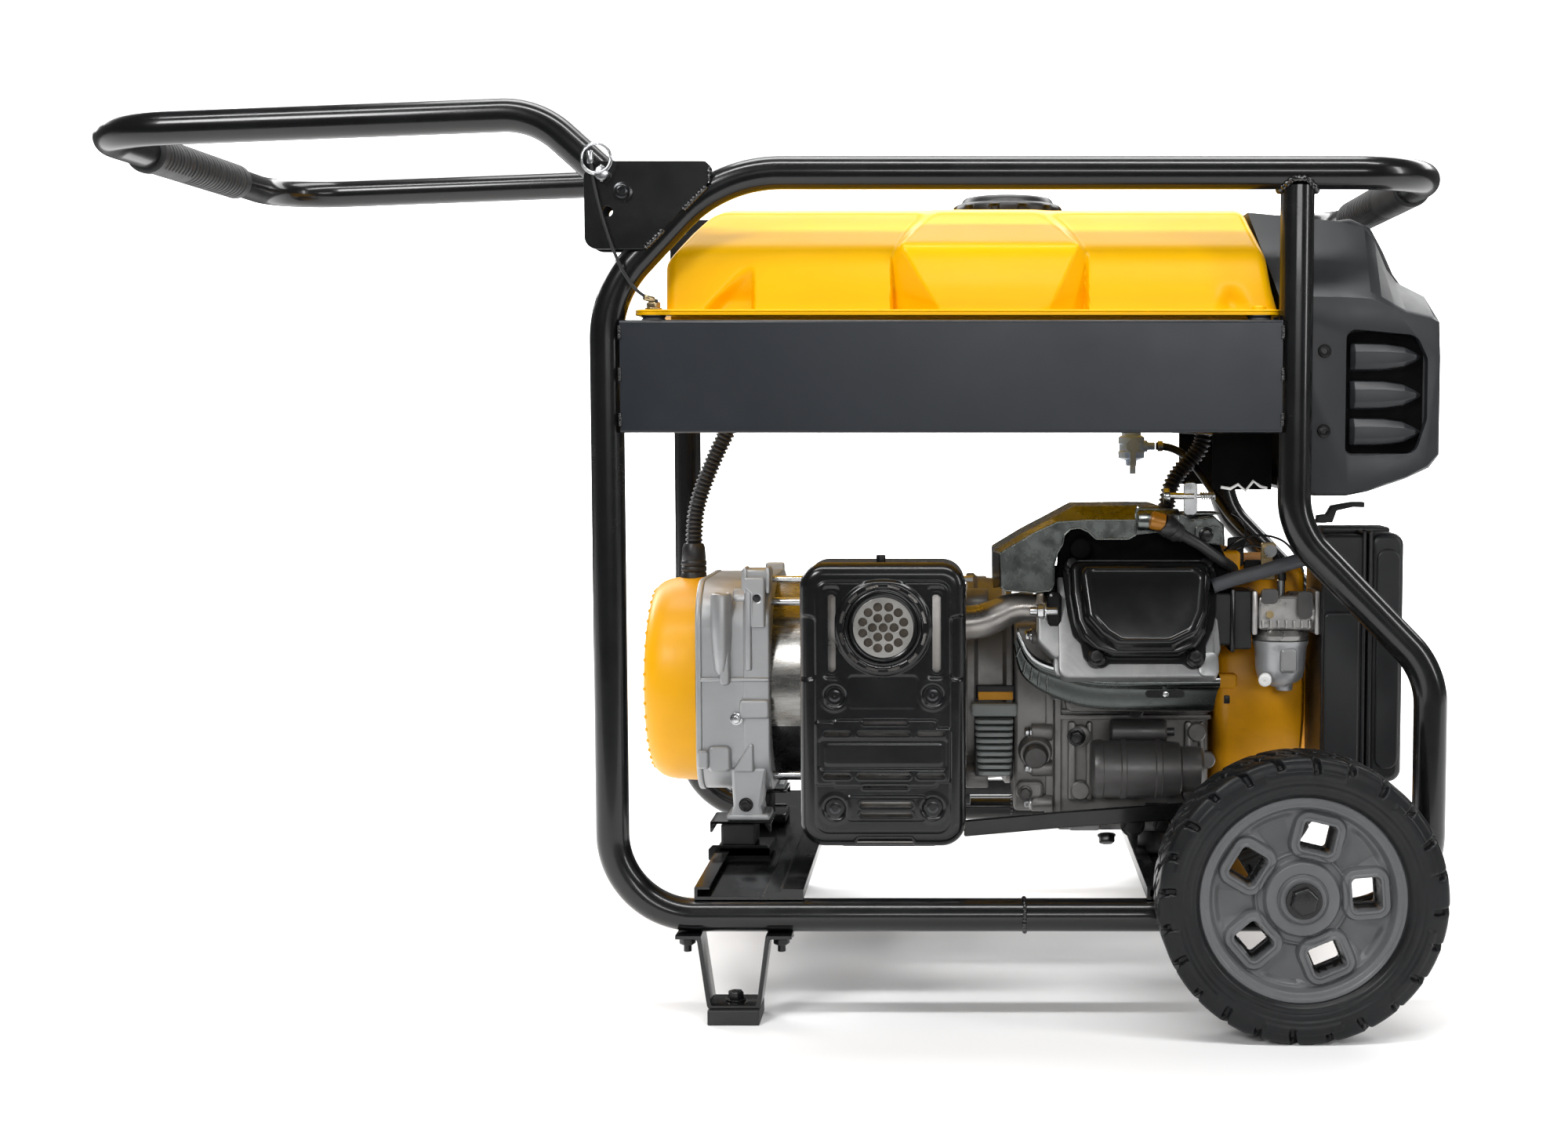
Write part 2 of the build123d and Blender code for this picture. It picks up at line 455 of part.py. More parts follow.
# fan shroud, flywheel, recoil starter
fs = ring((242.5, 0, ALT_Z), (1, 0, 0), 125, 121.5, 87.5) + ring((242.5, 0, ALT_Z), (1, 0, 0), 125, 60, 3)
fs += ring((327, 0, ALT_Z), (1, 0, 0), 125, 78, 3) + ring((236, 0, ALT_Z), (1, 0, 0), 80, 60, 6.5)
N["fan_shroud"] = fs
fly = cyl((262, 0, ALT_Z), (1, 0, 0), 110, 26) - cyl((250, 0, ALT_Z), (1, 0, 0), 20.0, 34)
for k in range(16):
    fly += Pos(0, 0, ALT_Z) * Rot(22.5 * k, 0, 0) * Pos(0, 0, -ALT_Z) * box(288, 304, -2, 2, ALT_Z + 50, ALT_Z + 108)
N["flywheel"] = fly
rs = ring((330, 0, ALT_Z), (1, 0, 0), 90, 78, 5) + ring((335, 0, ALT_Z), (1, 0, 0), 84, 78, 19) + cyl((354, 0, ALT_Z), (1, 0, 0), 84, 3)
for k in range(12):
    a = math.radians(30 * k)
    rs -= cyl((350, 62 * math.cos(a), ALT_Z + 62 * math.sin(a)), (1, 0, 0), 9, 12)
rs -= cyl((350, 40, ALT_Z + 55), (1, 0, 0), 4.0, 20)
N["recoil_starter"] = rs
N["recoil_grip"] = cyl((357.6, 40, ALT_Z + 55), (1, 0, 0), 9, 10) + box(367, 380, 18, 62, ALT_Z + 46, ALT_Z + 64) \
    + cyl((340, 40, ALT_Z + 55), (1, 0, 0), 2.5, 20)
# electric starter motor
N["starter_motor"] = cyl((121, -142, 209), (1, 0, 0), 29, 86) + cyl((207, -142, 209), (1, 0, 0), 22, 22) + box(150, 170, -130, -105, 192, 226)
# intake
ins = box(229, 270, -174, -128.5, 330, 381)
add("carburetor", ins - loc(-70.2, 71, -60, 60, 100, 240))
cb = box(270, 334, -172, -134, 346, 380) + box(284, 324, -176, -132, 336.2, 346) + cyl((300, -153, 380), (0, 0, 1), 14, 8)
add("carburetor", cb + cyl((304, -154, 296), (0, 0, 1), 26, 40.2) + cyl((304, -154, 290), (0, 0, 1), 8, 6))
fast(cyl((286, -180, 303), (0, 1, 0), 6.0, 6) - cyl((304, -154, 290), (0, 0, 1), 26.0, 40))
acb = box(334, 350, -182, -92, 205, 436)
N["air_cleaner_base"] = acb + cyl((343, -100, 436.0), (0, 0, 1), 4, 8.0)
acc = box(350, 411, -184, -90, 203, 439) - box(350, 408.5, -181.5, -92.5, 205.5, 436.5)
N["air_cleaner_cover"] = acc
N["air_filter"] = box(352, 400, -175, -100, 230, 420)
N["choke_lever"] = cyl((343, -100, 444.3), (0, 0, 1), 6, 4) + box(343, 380, -103, -97, 448.3, 451.3) + cyl((378, -100, 451.3), (0, 0, 1), 7, 8)
cord("hoses_and_conduits", [(233, -186, 389), (250, -186, 402), (274, -184, 409), (300, -172, 412), (333.8, -172, 412)], 6.5, 60)
add("carburetor", box(222, 236, -166, -164, 455, 479) + box(222, 236, -164, -120, 455, 457) + box(230, 300, -150, -147, 455, 474) + cyl((240, -148.5, 440), (1, 0, 0), 1.5, 60) + box(297, 300, -150, -147, 438, 460))

# exhaust
EX, EY = (-150.8, -1.0), -240.0
body = xz(rect(-146, -6, 156, 408), -236, -126, 18) - xz(rect(-143, -9, 159, 405), -233, -129, 15)
N["muffler_body"] = body - cyl((-50, -170, 352), (1, 0, 0), 17.5, 60)
cov = xz(rect(-150.8, -1.0, 150.4, 413.8), -240, -150, 21) - xz(rect(-148.8, -3.0, 152.4, 411.8), -238, -149, 19)
for x0, x1, z in ((-131, -106, 259.6), (-100, -50, 259.6), (-45, -18, 259.6), (-131, -106, 216), (-100, -50, 216), (-45, -18, 216)):
    cov -= box(x0, x1, -245, -230, z - 2, z + 2)
for z in (191, 182):
    cov -= box(-97, -49, -245, -230, z - 2, z + 2)
cov -= cyl((-75.4, -245, 355.5), (0, 1, 0), 33.0, 12)
for sx in (-120.3, -30.3):
    for sz in (291.9, 186.8):
        cov -= cyl((sx, -245, sz), (0, 1, 0), 10, 12)
cov -= box(-20, 5, -190, -140, 332, 372)
N["muffler_cover"] = cov
sa = ring((-75.4, -244, 355.5), (0, 1, 0), 32.9, 28.5, 8) + cyl((-75.4, -240.5, 355.5), (0, 1, 0), 28.5, 2)
for r_, n_ in ((0, 1), (9.5, 6), (19, 12)):
    for k in range(n_):
        a = 2 * math.pi * k / n_
        sa -= cyl((-75.4 + r_ * math.cos(a), -250, 355.5 + r_ * math.sin(a)), (0, 1, 0), 3.6, 20)
N["spark_arrestor"] = sa
ms = None
for sx in (-120.3, -30.3):
    for sz in (291.9, 186.8):
        s = cyl((sx, -240.0, sz), (0, 1, 0), 9.95, 2) + cyl((sx, -239.5, sz), (0, 1, 0), 6, 3.4)
        ms = s if ms is None else ms + s
fast(ms)
add("mount_brackets", box(-120, -30, -126, -120, 130, 200) + box(-120, -30, -126, -100, 124, 130) + box(-126, -120, -126, -100, 114.2, 200) + box(-146.9, -120, -126, -100, 114.2, 117))
ep = tube([(-8, -170, 352), (26, -170, 362), (66, -170, 362)], [60.0], 15.0, 13.0)
ep += ring((64, -170, 362), (1, 0, 0), 20, 14, 8) + hexagon((70, -170, 384), (1, 0, 0), 12, 12) + box(64, 72, -178, -162, 374, 388)
N["exhaust_pipe"] = ep + ring((72, -170, 362), (1, 0, 0), 18, 13, 15.9)

# conduits held by the machine: from the tank side down to alternator and engine
cord("hoses_and_conduits", [(-224, 0, 561.8), (-224, 0, 544), (-252, 0, 505), (-274, 0, 458), (-279, 0, 424), (-279, 0, 386.5)], 8.5, 80)
add("hoses_and_conduits", ring((-279, 0, 384.5), (0, 0, 1), 13, 8.6, 32))
cord("hoses_and_conduits", [(240, -20, 530.3), (240, -20, 516), (214, -20, 492), (203, -20, 466), (203, -20, 440)], 8.5, 80)
cord("hoses_and_conduits", [(194.1, 0, 518), (212, 0, 518), (232, -10, 500), (250, -40, 470), (264, -80, 444), (284, -120, 424), (301, -153, 410),
                   (301, -153, 388.3)], 4.0, 60)

# engine feet and rubber mounts
add("mount_brackets", xz([(-2, 141.3), (-2, 157), (95, 166), (240, 176), (240, 162), (205, 158), (95, 150)], -136, -130) + box(96, 124, -130, -108.05, 151, 160) + box(176, 198, -130, -108.05, 160, 170))
rm = None
for px, py in ((-222, -86), (-222, 86)):
    s = cyl((px, py, 126.2), (0, 0, 1), 16, 22.8)
    rm = s if rm is None else rm + s
add("rubber_mounts", rm)
for sgn in (-1, 1):
    a_, b_ = sorted((sgn * 60, sgn * 112))
    add("mount_brackets", box(-251, -191, a_, b_, 149, 151.4), box(-240, -190, a_, b_, 117.05, 126.2))
rm = None
for px, py in ((184, -80), (184, 80)):
    s = cyl((px, py, 117.05), (0, 0, 1), 15.5, 24.9)
    rm = s if rm is None else rm + s
add("rubber_mounts", rm)
# battery on the far side
add("mount_brackets", box(-165, 5, 122, 245, 123.2, 125.5) + box(-165, 5, 243, 245, 125.5, 145) - box(-170, -140, 200, 250, 126, 150))
N["battery"] = box(-138, -5, 130, 232, 125.6, 270) + cyl((-115, 215, 270), (0, 0, 1), 7, 12) + cyl((-30, 215, 270), (0, 0, 1), 7, 12)

# ------------------------------------------------------------------ wheels, axle, feet
N["axle"] = cyl((WHEEL_X, -352.0, WHEEL_Z), (0, 1, 0), AXLE_R, 704)
ab = box(WHEEL_X - 18, WHEEL_X + 18, -279, -252.5, Z_BOT, 144) - cyl((200, -YS, Z_BOT), (1, 0, 0), TUBE_R + 0.005, 200) \
    - cyl((WHEEL_X, -300, WHEEL_Z), (0, 1, 0), AXLE_R + 0.02, 80)
both("mount_brackets", ab)


def wheel():
    w = WHEEL_W / 2
    yc = -WHEEL_Y
    prof = [(92, -24), (96, -27), (104, -31), (114, -w), (119.5, -w), (124, -26), (127, -16), (127, 16), (124, 26), (119.5, w), (114, w),
            (104, 31), (96, 27), (92, 24)]
    f = make_face(Polyline(*[(WHEEL_X + r, yc + h, WHEEL_Z) for r, h in prof], close=True))
    t_ = revolve(f, axis=Axis((WHEEL_X, 0, WHEEL_Z), (0, 1, 0)), revolution_arc=360)
    cuts = []
    for k in range(24):
        for s_, off in ((-1, 0.0), (1, 7.5)):
            c = Box(8, 26, 12)
            a = 15 * k + off
            c = Pos(WHEEL_X, yc, WHEEL_Z) * Rot(0, a, 0) * Pos(0, s_ * 22, 126) * Rot(0, 0, s_ * 18) * c
            cuts.append(c)
    t_ = t_ - Compound(cuts)
    rp = [(8 + RUN, -24), (17, -24), (17, -6), (34, -6), (36, -9), (78, -9), (82, -24), (92, -24), (92, 24), (86, 24), (82, 8), (78, -3),
          (36, -3), (22, 0), (22, 26), (8 + RUN, 26)]
    g = make_face(Polyline(*[(WHEEL_X + r, yc + h, WHEEL_Z) for r, h in rp], close=True))
    r_ = revolve(g, axis=Axis((WHEEL_X, 0, WHEEL_Z), (0, 1, 0)), revolution_arc=360)
    for k in range(5):
        a = math.radians(5 + 72 * k)
        p = (WHEEL_X + 56 * math.cos(a), yc - 20, WHEEL_Z + 56 * math.sin(a))
        pl = Plane(origin=p, x_dir=(math.cos(a), 0, math.sin(a)), z_dir=(0, 1, 0))
        r_ -= extrude(pl * RectangleRounded(24, 27, 5), amount=30)
    return t_, r_


ty, ri = wheel()
pair("tyre", ty)
pair("wheel_rim", ri)
nut = ring((WHEEL_X, -350.0, WHEEL_Z), (0, 1, 0), 12.0, AXLE_R, 4.2) + ring((WHEEL_X, -352.6, WHEEL_Z), (0, 1, 0), 9.6, AXLE_R, 2.7)
fast(nut, mirror_y(nut))
sp = ring((WHEEL_X, -WHEEL_Y + 26.4, WHEEL_Z), (0, 1, 0), 13.0, AXLE_R, WHEEL_Y - 26.4 - 279.2)
both("mount_brackets", sp)

foot = xz([(-261, 77.5), (-157, 77.5), (-157, 81.0), (-261, 81.0)], -288, -243) \
    + xz([(-242, 77.5), (-235, 77.5), (-227, 14), (-233, 14)], -284, -247) \
    + xz([(-177.5, 77.5), (-184.5, 77.5), (-192, 14), (-186, 14)], -284, -247) \
    + xz([(-233, 13.8), (-186, 13.8), (-186.2, 17.2), (-232.8, 17.2)], -284, -247)
foot -= cyl((-300, -YS, Z_BOT), (1, 0, 0), TUBE_R + 0.005, 200)
both("mount_brackets", foot)
fb = None
for px in (-254, -165):
    s = cyl((px, -283.2, 70.5), (0, 0, 1), 4, 12.0 + 0.5) + hexagon((px, -283.2, 71.5), (0, 0, 1), 12, 6.0)
    fb = s if fb is None else fb + s
fast(fb - foot, mirror_y(fb - foot))
pad = box(-233, -186, -289, -242, 0, 13.8)
both("foot_pads", pad)

# ------------------------------------------------------------------ export
for name, s in N.items():
    sol = []
    for k in (s if isinstance(s, list) else [s]):
        sol += list((Pos(OX, 0, 0) * k).solids())
    s = sol[0] if len(sol) == 1 else Compound(sol)
    s.label = name
    export_step(s, "parts/%s.step" % name)
    print(name, len(sol), end="; ")
print("\nnodes", len(N), "shift", OX, "handle cross tube height", round(zl, 2))
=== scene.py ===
import bpy, bmesh, math, random
import numpy as np
from mathutils import Vector, Matrix
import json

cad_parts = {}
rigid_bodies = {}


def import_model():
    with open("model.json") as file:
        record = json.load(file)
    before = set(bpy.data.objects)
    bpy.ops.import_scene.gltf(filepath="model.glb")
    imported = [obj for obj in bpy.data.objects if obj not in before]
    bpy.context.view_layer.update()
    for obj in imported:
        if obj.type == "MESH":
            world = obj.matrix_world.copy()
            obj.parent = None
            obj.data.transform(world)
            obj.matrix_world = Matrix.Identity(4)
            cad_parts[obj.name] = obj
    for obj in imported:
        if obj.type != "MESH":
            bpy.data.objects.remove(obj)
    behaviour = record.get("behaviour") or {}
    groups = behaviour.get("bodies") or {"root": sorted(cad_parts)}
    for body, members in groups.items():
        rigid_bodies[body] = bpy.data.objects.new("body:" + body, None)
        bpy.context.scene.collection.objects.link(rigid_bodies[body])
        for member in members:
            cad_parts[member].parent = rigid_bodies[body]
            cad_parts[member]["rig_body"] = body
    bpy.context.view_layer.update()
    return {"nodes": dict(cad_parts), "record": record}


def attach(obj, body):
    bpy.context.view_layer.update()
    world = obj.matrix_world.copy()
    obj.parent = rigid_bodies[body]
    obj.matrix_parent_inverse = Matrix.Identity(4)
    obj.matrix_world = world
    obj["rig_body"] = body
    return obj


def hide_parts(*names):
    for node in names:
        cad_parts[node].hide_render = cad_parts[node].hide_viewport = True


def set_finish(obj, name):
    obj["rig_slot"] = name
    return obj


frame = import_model()
OX = 181.5
NODES = frame["nodes"]
random.seed(7)
RNG = np.random.default_rng(7)
PI = math.pi


# ================================================================= materials
def _nt(name):
    m = bpy.data.materials.new(name)
    m.use_nodes = True
    nt = m.node_tree
    for n in list(nt.nodes):
        nt.nodes.remove(n)
    out = nt.nodes.new("ShaderNodeOutputMaterial")
    b = nt.nodes.new("ShaderNodeBsdfPrincipled")
    nt.links.new(b.outputs[0], out.inputs[0])
    return m, nt, b


def _noise(nt, scale, detail=4, rough=0.55, co=None, dist=0.0):
    n = nt.nodes.new("ShaderNodeTexNoise")
    n.inputs["Scale"].default_value = scale
    n.inputs["Detail"].default_value = detail
    n.inputs["Roughness"].default_value = rough
    n.inputs["Distortion"].default_value = dist
    if co is not None:
        nt.links.new(co, n.inputs["Vector"])
    return n


def _ramp(nt, src, stops):
    r = nt.nodes.new("ShaderNodeValToRGB")
    e = r.color_ramp.elements
    while len(e) < len(stops):
        e.new(0.5)
    for i, (p, c) in enumerate(stops):
        e[i].position = p
        e[i].color = (c, c, c, 1) if isinstance(c, (int, float)) else (*c, 1)
    nt.links.new(src, r.inputs[0])
    return r


def make(name, base, rough=0.4, metal=0.0, var=0.12, vscale=9.0, rvar=0.12, bump=0.02, bscale=600.0, coat=0.0, coat_rough=0.08,
         second=None, second_amt=0.35, sec_scale=14.0, spec=0.5, big_bump=0.0, big_scale=40.0, stretch=None, dust=0.0, sheen=0.0,
         specks=None, coat_ior=None):
    m, nt, b = _nt(name)
    tc = nt.nodes.new("ShaderNodeTexCoord")
    co = tc.outputs["Object"]
    if stretch:
        mp = nt.nodes.new("ShaderNodeMapping")
        mp.inputs["Scale"].default_value = stretch
        nt.links.new(co, mp.inputs["Vector"])
        sco = mp.outputs[0]
    else:
        sco = co
    n1 = _noise(nt, vscale, 5, 0.6, sco)
    lo = tuple(max(0.0, c * (1 - var)) for c in base)
    hi = tuple(min(1.0, c * (1 + var)) for c in base)
    col = _ramp(nt, n1.outputs["Fac"], [(0.3, lo), (0.7, hi)])
    src = col.outputs[0]
    if second:
        n2 = _noise(nt, sec_scale, 6, 0.65, sco, 0.6)
        r2 = _ramp(nt, n2.outputs["Fac"], [(0.52 - second_amt * 0.1, 0.0), (0.62, second_amt), (1.0, second_amt)])
        mx = nt.nodes.new("ShaderNodeMix")
        mx.data_type = "RGBA"
        nt.links.new(r2.outputs[0], mx.inputs[0])
        nt.links.new(src, mx.inputs[6])
        mx.inputs[7].default_value = (*second, 1)
        src = mx.outputs[2]
    if specks:
        vo = nt.nodes.new("ShaderNodeTexVoronoi")
        vo.inputs["Scale"].default_value = 900
        nt.links.new(co, vo.inputs["Vector"])
        rs = _ramp(nt, vo.outputs["Distance"], [(0.06, specks[1]), (0.12, 0.0)])
        mx = nt.nodes.new("ShaderNodeMix")
        mx.data_type = "RGBA"
        nt.links.new(rs.outputs[0], mx.inputs[0])
        nt.links.new(src, mx.inputs[6])
        mx.inputs[7].default_value = (*specks[0], 1)
        src = mx.outputs[2]
    if dust > 0:
        ge = nt.nodes.new("ShaderNodeNewGeometry")
        sx = nt.nodes.new("ShaderNodeSeparateXYZ")
        nt.links.new(ge.outputs["Normal"], sx.inputs[0])
        up = _ramp(nt, sx.outputs["Z"], [(0.5, 0.0), (1.0, dust)])
        mx = nt.nodes.new("ShaderNodeMix")
        mx.data_type = "RGBA"
        nt.links.new(up.outputs[0], mx.inputs[0])
        nt.links.new(src, mx.inputs[6])
        mx.inputs[7].default_value = (0.42, 0.4, 0.37, 1)
        src = mx.outputs[2]
    nt.links.new(src, b.inputs["Base Color"])
    n3 = _noise(nt, vscale * 3.1, 5, 0.65, sco)
    rr = _ramp(nt, n3.outputs["Fac"], [(0.3, max(0.02, rough - rvar)), (0.7, min(1.0, rough + rvar))])
    nt.links.new(rr.outputs[0], b.inputs["Roughness"])
    b.inputs["Metallic"].default_value = metal
    b.inputs["Specular IOR Level"].default_value = spec
    if coat:
        b.inputs["Coat Weight"].default_value = coat
        b.inputs["Coat Roughness"].default_value = coat_rough
    if sheen:
        b.inputs["Sheen Weight"].default_value = sheen
    n4 = _noise(nt, bscale, 3, 0.6, sco)
    bp = nt.nodes.new("ShaderNodeBump")
    bp.inputs["Strength"].default_value = 1.0
    bp.inputs["Distance"].default_value = bump * MM
    nt.links.new(n4.outputs["Fac"], bp.inputs["Height"])
    last = bp
    if big_bump:
        n5 = _noise(nt, big_scale, 4, 0.6, co)
        b2 = nt.nodes.new("ShaderNodeBump")
        b2.inputs["Strength"].default_value = 1.0
        b2.inputs["Distance"].default_value = big_bump * MM
        nt.links.new(n5.outputs["Fac"], b2.inputs["Height"])
        nt.links.new(bp.outputs[0], b2.inputs["Normal"])
        last = b2
    nt.links.new(last.outputs[0], b.inputs["Normal"])
    return m


MM = 0.001
M = {}
M["frame_black"] = make("frame_black", (0.0036, 0.0038, 0.0042), 0.24, 0, var=0.3, bump=0.004, bscale=700, coat=0.3, coat_rough=0.08,
                        rvar=0.04, spec=0.36, big_bump=0.012, big_scale=60)
M["weld_black"] = make("weld_black", (0.006, 0.006, 0.0065), 0.22, 0, var=0.3, bump=0.12, bscale=350, rvar=0.06, spec=0.55, coat=0.4, coat_rough=0.1)
M["grip_rubber"] = make("grip_rubber", (0.018, 0.0188, 0.0205), 0.46, 0, var=0.25, bump=0.06, bscale=1400, rvar=0.08, spec=0.4,
                        second=(0.05, 0.05, 0.05), second_amt=0.3)
M["zinc"] = make("zinc", (0.56, 0.57, 0.58), 0.27, 1.0, var=0.12, bump=0.03, bscale=1500, second=(0.42, 0.42, 0.40), second_amt=0.3)
M["zinc_yellow"] = make("zinc_yellow", (0.55, 0.42, 0.22), 0.3, 1.0, var=0.2, bump=0.03, bscale=1500, second=(0.3, 0.24, 0.16), second_amt=0.5)
M["bolt_black"] = make("bolt_black", (0.012, 0.012, 0.013), 0.3, 0.35, var=0.3, bump=0.04, bscale=1500, rvar=0.08)
M["lanyard"] = make("lanyard", (0.012, 0.012, 0.012), 0.4, 0, var=0.3, bump=0.08, bscale=2500, rvar=0.1)
M["panel_slate"] = make("panel_slate", (0.0078, 0.0105, 0.0150), 0.36, 0, var=0.10, vscale=5, bump=0.012, bscale=1300, rvar=0.05, spec=0.38,
                        coat=0.12, coat_rough=0.25, big_bump=0.03, big_scale=14)
M["mount_rubber"] = make("mount_rubber", (0.014, 0.014, 0.015), 0.58, 0, var=0.25, bump=0.08, bscale=900, rvar=0.08,
                         second=(0.03, 0.03, 0.03), second_amt=0.3)
M["tank_yellow"] = make("tank_yellow", (0.90, 0.475, 0.0003), 0.34, 0, var=0.04, vscale=3.5, bump=0.006, bscale=1000, rvar=0.05, coat=0.1,
                        coat_rough=0.16, spec=0.14, big_bump=0.03, big_scale=14)
M["yellow_plastic"] = make("yellow_plastic", (0.84, 0.40, 0.0002), 0.42, 0, var=0.06, vscale=6, bump=0.02, bscale=1600, rvar=0.06, coat=0.06,
                           coat_rough=0.2, spec=0.3)
M["shroud_yellow"] = make("shroud_yellow", (0.78, 0.34, 0.002), 0.4, 0, var=0.12, vscale=9, bump=0.02, bscale=1600, rvar=0.08, spec=0.35,
                          second=(0.58, 0.25, 0.004), second_amt=0.3)
M["black_plastic"] = make("black_plastic", (0.0085, 0.009, 0.010), 0.38, 0, var=0.2, bump=0.04, bscale=1800, rvar=0.07, spec=0.42)
M["valve_chrome"] = make("valve_chrome", (0.86, 0.86, 0.85), 0.25, 0.0, var=0.08, bump=0.02, bscale=1400, rvar=0.06)
M["cowl_grey"] = make("cowl_grey", (0.0155, 0.0172, 0.0195), 0.40, 0, var=0.12, vscale=8, bump=0.03, bscale=2200, rvar=0.05, spec=0.45)
M["cast_aluminium"] = make("cast_aluminium", (0.44, 0.45, 0.462), 0.42, 0.55, var=0.06, vscale=14, bump=0.05, bscale=900, rvar=0.07,
                           second=(0.40, 0.40, 0.405), second_amt=0.25, sec_scale=18, big_bump=0.06, big_scale=40)
M["cast_light"] = make("cast_light", (0.2706, 0.2731, 0.2755), 0.40, 0.6, var=0.10, vscale=16, bump=0.06, bscale=900, rvar=0.08,
                       second=(0.44, 0.43, 0.42), second_amt=0.3, sec_scale=22, big_bump=0.12, big_scale=50)
M["crank_grey"] = make("crank_grey", (0.20, 0.195, 0.188), 0.42, 0.6, var=0.16, vscale=14, bump=0.12, bscale=800, rvar=0.1,
                       second=(0.12, 0.114, 0.108), second_amt=0.4, sec_scale=18, big_bump=0.15, big_scale=40)
M["stator_steel"] = make("stator_steel", (0.26, 0.257, 0.245), 0.27, 1.0, var=0.2, vscale=14, bump=0.02, bscale=1200, rvar=0.06,
                         second=(0.16, 0.14, 0.115), second_amt=0.5, sec_scale=20, stretch=(1, 6, 6))
M["engine_black"] = make("engine_black", (0.0046, 0.0048, 0.0053), 0.23, 0, var=0.3, bump=0.02, bscale=600, rvar=0.05, spec=0.32, coat=0.22,
                         coat_rough=0.09, big_bump=0.01, big_scale=30)
M["engine_grey"] = make("engine_grey", (0.085, 0.083, 0.082), 0.42, 0.6, var=0.2, vscale=16, bump=0.08, bscale=900, rvar=0.1,
                        second=(0.07, 0.066, 0.062), second_amt=0.5)
M["galvanised"] = make("galvanised", (0.15, 0.162, 0.155), 0.26, 1.0, var=0.1, vscale=26, bump=0.03, bscale=900, rvar=0.08,
                       second=(0.135, 0.145, 0.137), second_amt=0.12, sec_scale=24, big_bump=0.008, big_scale=30)
M["valve_body"] = make("valve_body", (0.50, 0.66, 0.92), 0.25, 0.0, var=0.08, bump=0.02, bscale=1400, rvar=0.06, spec=0.9)
M["arrestor_steel"] = make("arrestor_steel", (0.374, 0.3655, 0.3485), 0.34, 0.8, var=0.15, bump=0.03, bscale=1400, rvar=0.08)
M["shield_steel"] = make("shield_steel", (0.075, 0.083, 0.08), 0.24, 1.0, var=0.12, vscale=20, bump=0.02, bscale=900, rvar=0.06)
M["black_rubber"] = make("black_rubber", (0.0125, 0.0125, 0.0135), 0.42, 0, var=0.25, bump=0.05, bscale=1500, rvar=0.08)
M["hose_grey"] = make("hose_grey", (0.045, 0.048, 0.055), 0.5, 0, var=0.2, bump=0.05, bscale=1500, rvar=0.08)
M["cast_iron"] = make("cast_iron", (0.16, 0.16, 0.16), 0.5, 0.8, var=0.2, bump=0.1, bscale=700)
M["carb_metal"] = make("carb_metal", (0.46, 0.45, 0.44), 0.34, 0.9, var=0.14, vscale=30, bump=0.08, bscale=1200, rvar=0.1,
                       second=(0.3, 0.28, 0.25), second_amt=0.4, sec_scale=40)
M["filter_foam"] = make("filter_foam", (0.05, 0.05, 0.05), 0.9, 0, var=0.3, bump=0.5, bscale=900)
M["muffler_steel"] = make("muffler_steel", (0.276, 0.264, 0.252), 0.35, 0.9, var=0.2, vscale=18, bump=0.06, bscale=900,
                          second=(0.3, 0.26, 0.22), second_amt=0.5)
M["bright_steel"] = make("bright_steel", (0.42, 0.395, 0.36), 0.26, 1.0, var=0.16, vscale=22, bump=0.04, bscale=1000, rvar=0.08,
                         second=(0.34, 0.29, 0.23), second_amt=0.5, sec_scale=26)
M["mesh_steel"] = make("mesh_steel", (0.085, 0.072, 0.06), 0.5, 0.9, var=0.25, vscale=60, bump=0.5, bscale=1900, rvar=0.1)
M["tyre"] = make("tyre", (0.0058, 0.0064, 0.0072), 0.36, 0, var=0.25, vscale=20, bump=0.04, bscale=900, rvar=0.06, spec=0.26,
                 second=(0.012, 0.012, 0.012), second_amt=0.3, sec_scale=30)
M["rim_grey"] = make("rim_grey", (0.092, 0.095, 0.099), 0.34, 0, var=0.10, vscale=14, bump=0.06, bscale=1700, rvar=0.06, spec=0.42,
                     second=(0.07, 0.072, 0.075), second_amt=0.3)
M["guard_grey"] = make("guard_grey", (0.26, 0.285, 0.28), 0.5, 0, var=0.12, bump=0.04, bscale=1500, rvar=0.06)
M["brown_steel"] = make("brown_steel", (0.28, 0.25, 0.21), 0.3, 1.0, var=0.25, vscale=20, bump=0.04, bscale=1000,
                        second=(0.14, 0.11, 0.08), second_amt=0.5)
# painted shade: a flat near-black for sheets and fillers that stand for shaded gaps and hollows
M["painted_shade_black"] = make("painted_shade_black", (0.0012, 0.0012, 0.0013), 0.85, 0, var=0.2, bump=0.02, spec=0.1)
M["bolt_shine"] = make("bolt_shine", (0.045, 0.046, 0.048), 0.2, 0.85, var=0.2, bump=0.02, bscale=1500, rvar=0.05)
M["amber_cap"] = make("amber_cap", (0.30, 0.12, 0.008), 0.34, 0.2, var=0.25, bump=0.03, bscale=1200)
# painted dark reflection for the lower half of the stator band
M["stator_painted_reflection"] = make("stator_painted_reflection", (0.018, 0.018, 0.019), 0.3, 0.6, var=0.3, vscale=30, bump=0.02, bscale=1200)
M["copper"] = make("copper", (0.5, 0.2, 0.06), 0.4, 0.9, var=0.2, bump=0.2, bscale=700)


# ================================================================= mesh helpers
def sharpen(me, deg):
    # marks the sharp edges and keeps the flat faces flat
    fl = np.zeros(len(me.polygons), bool)
    me.polygons.foreach_get("use_smooth", fl)
    me.set_sharp_from_angle(angle=math.radians(deg))
    me.polygons.foreach_set("use_smooth", fl)


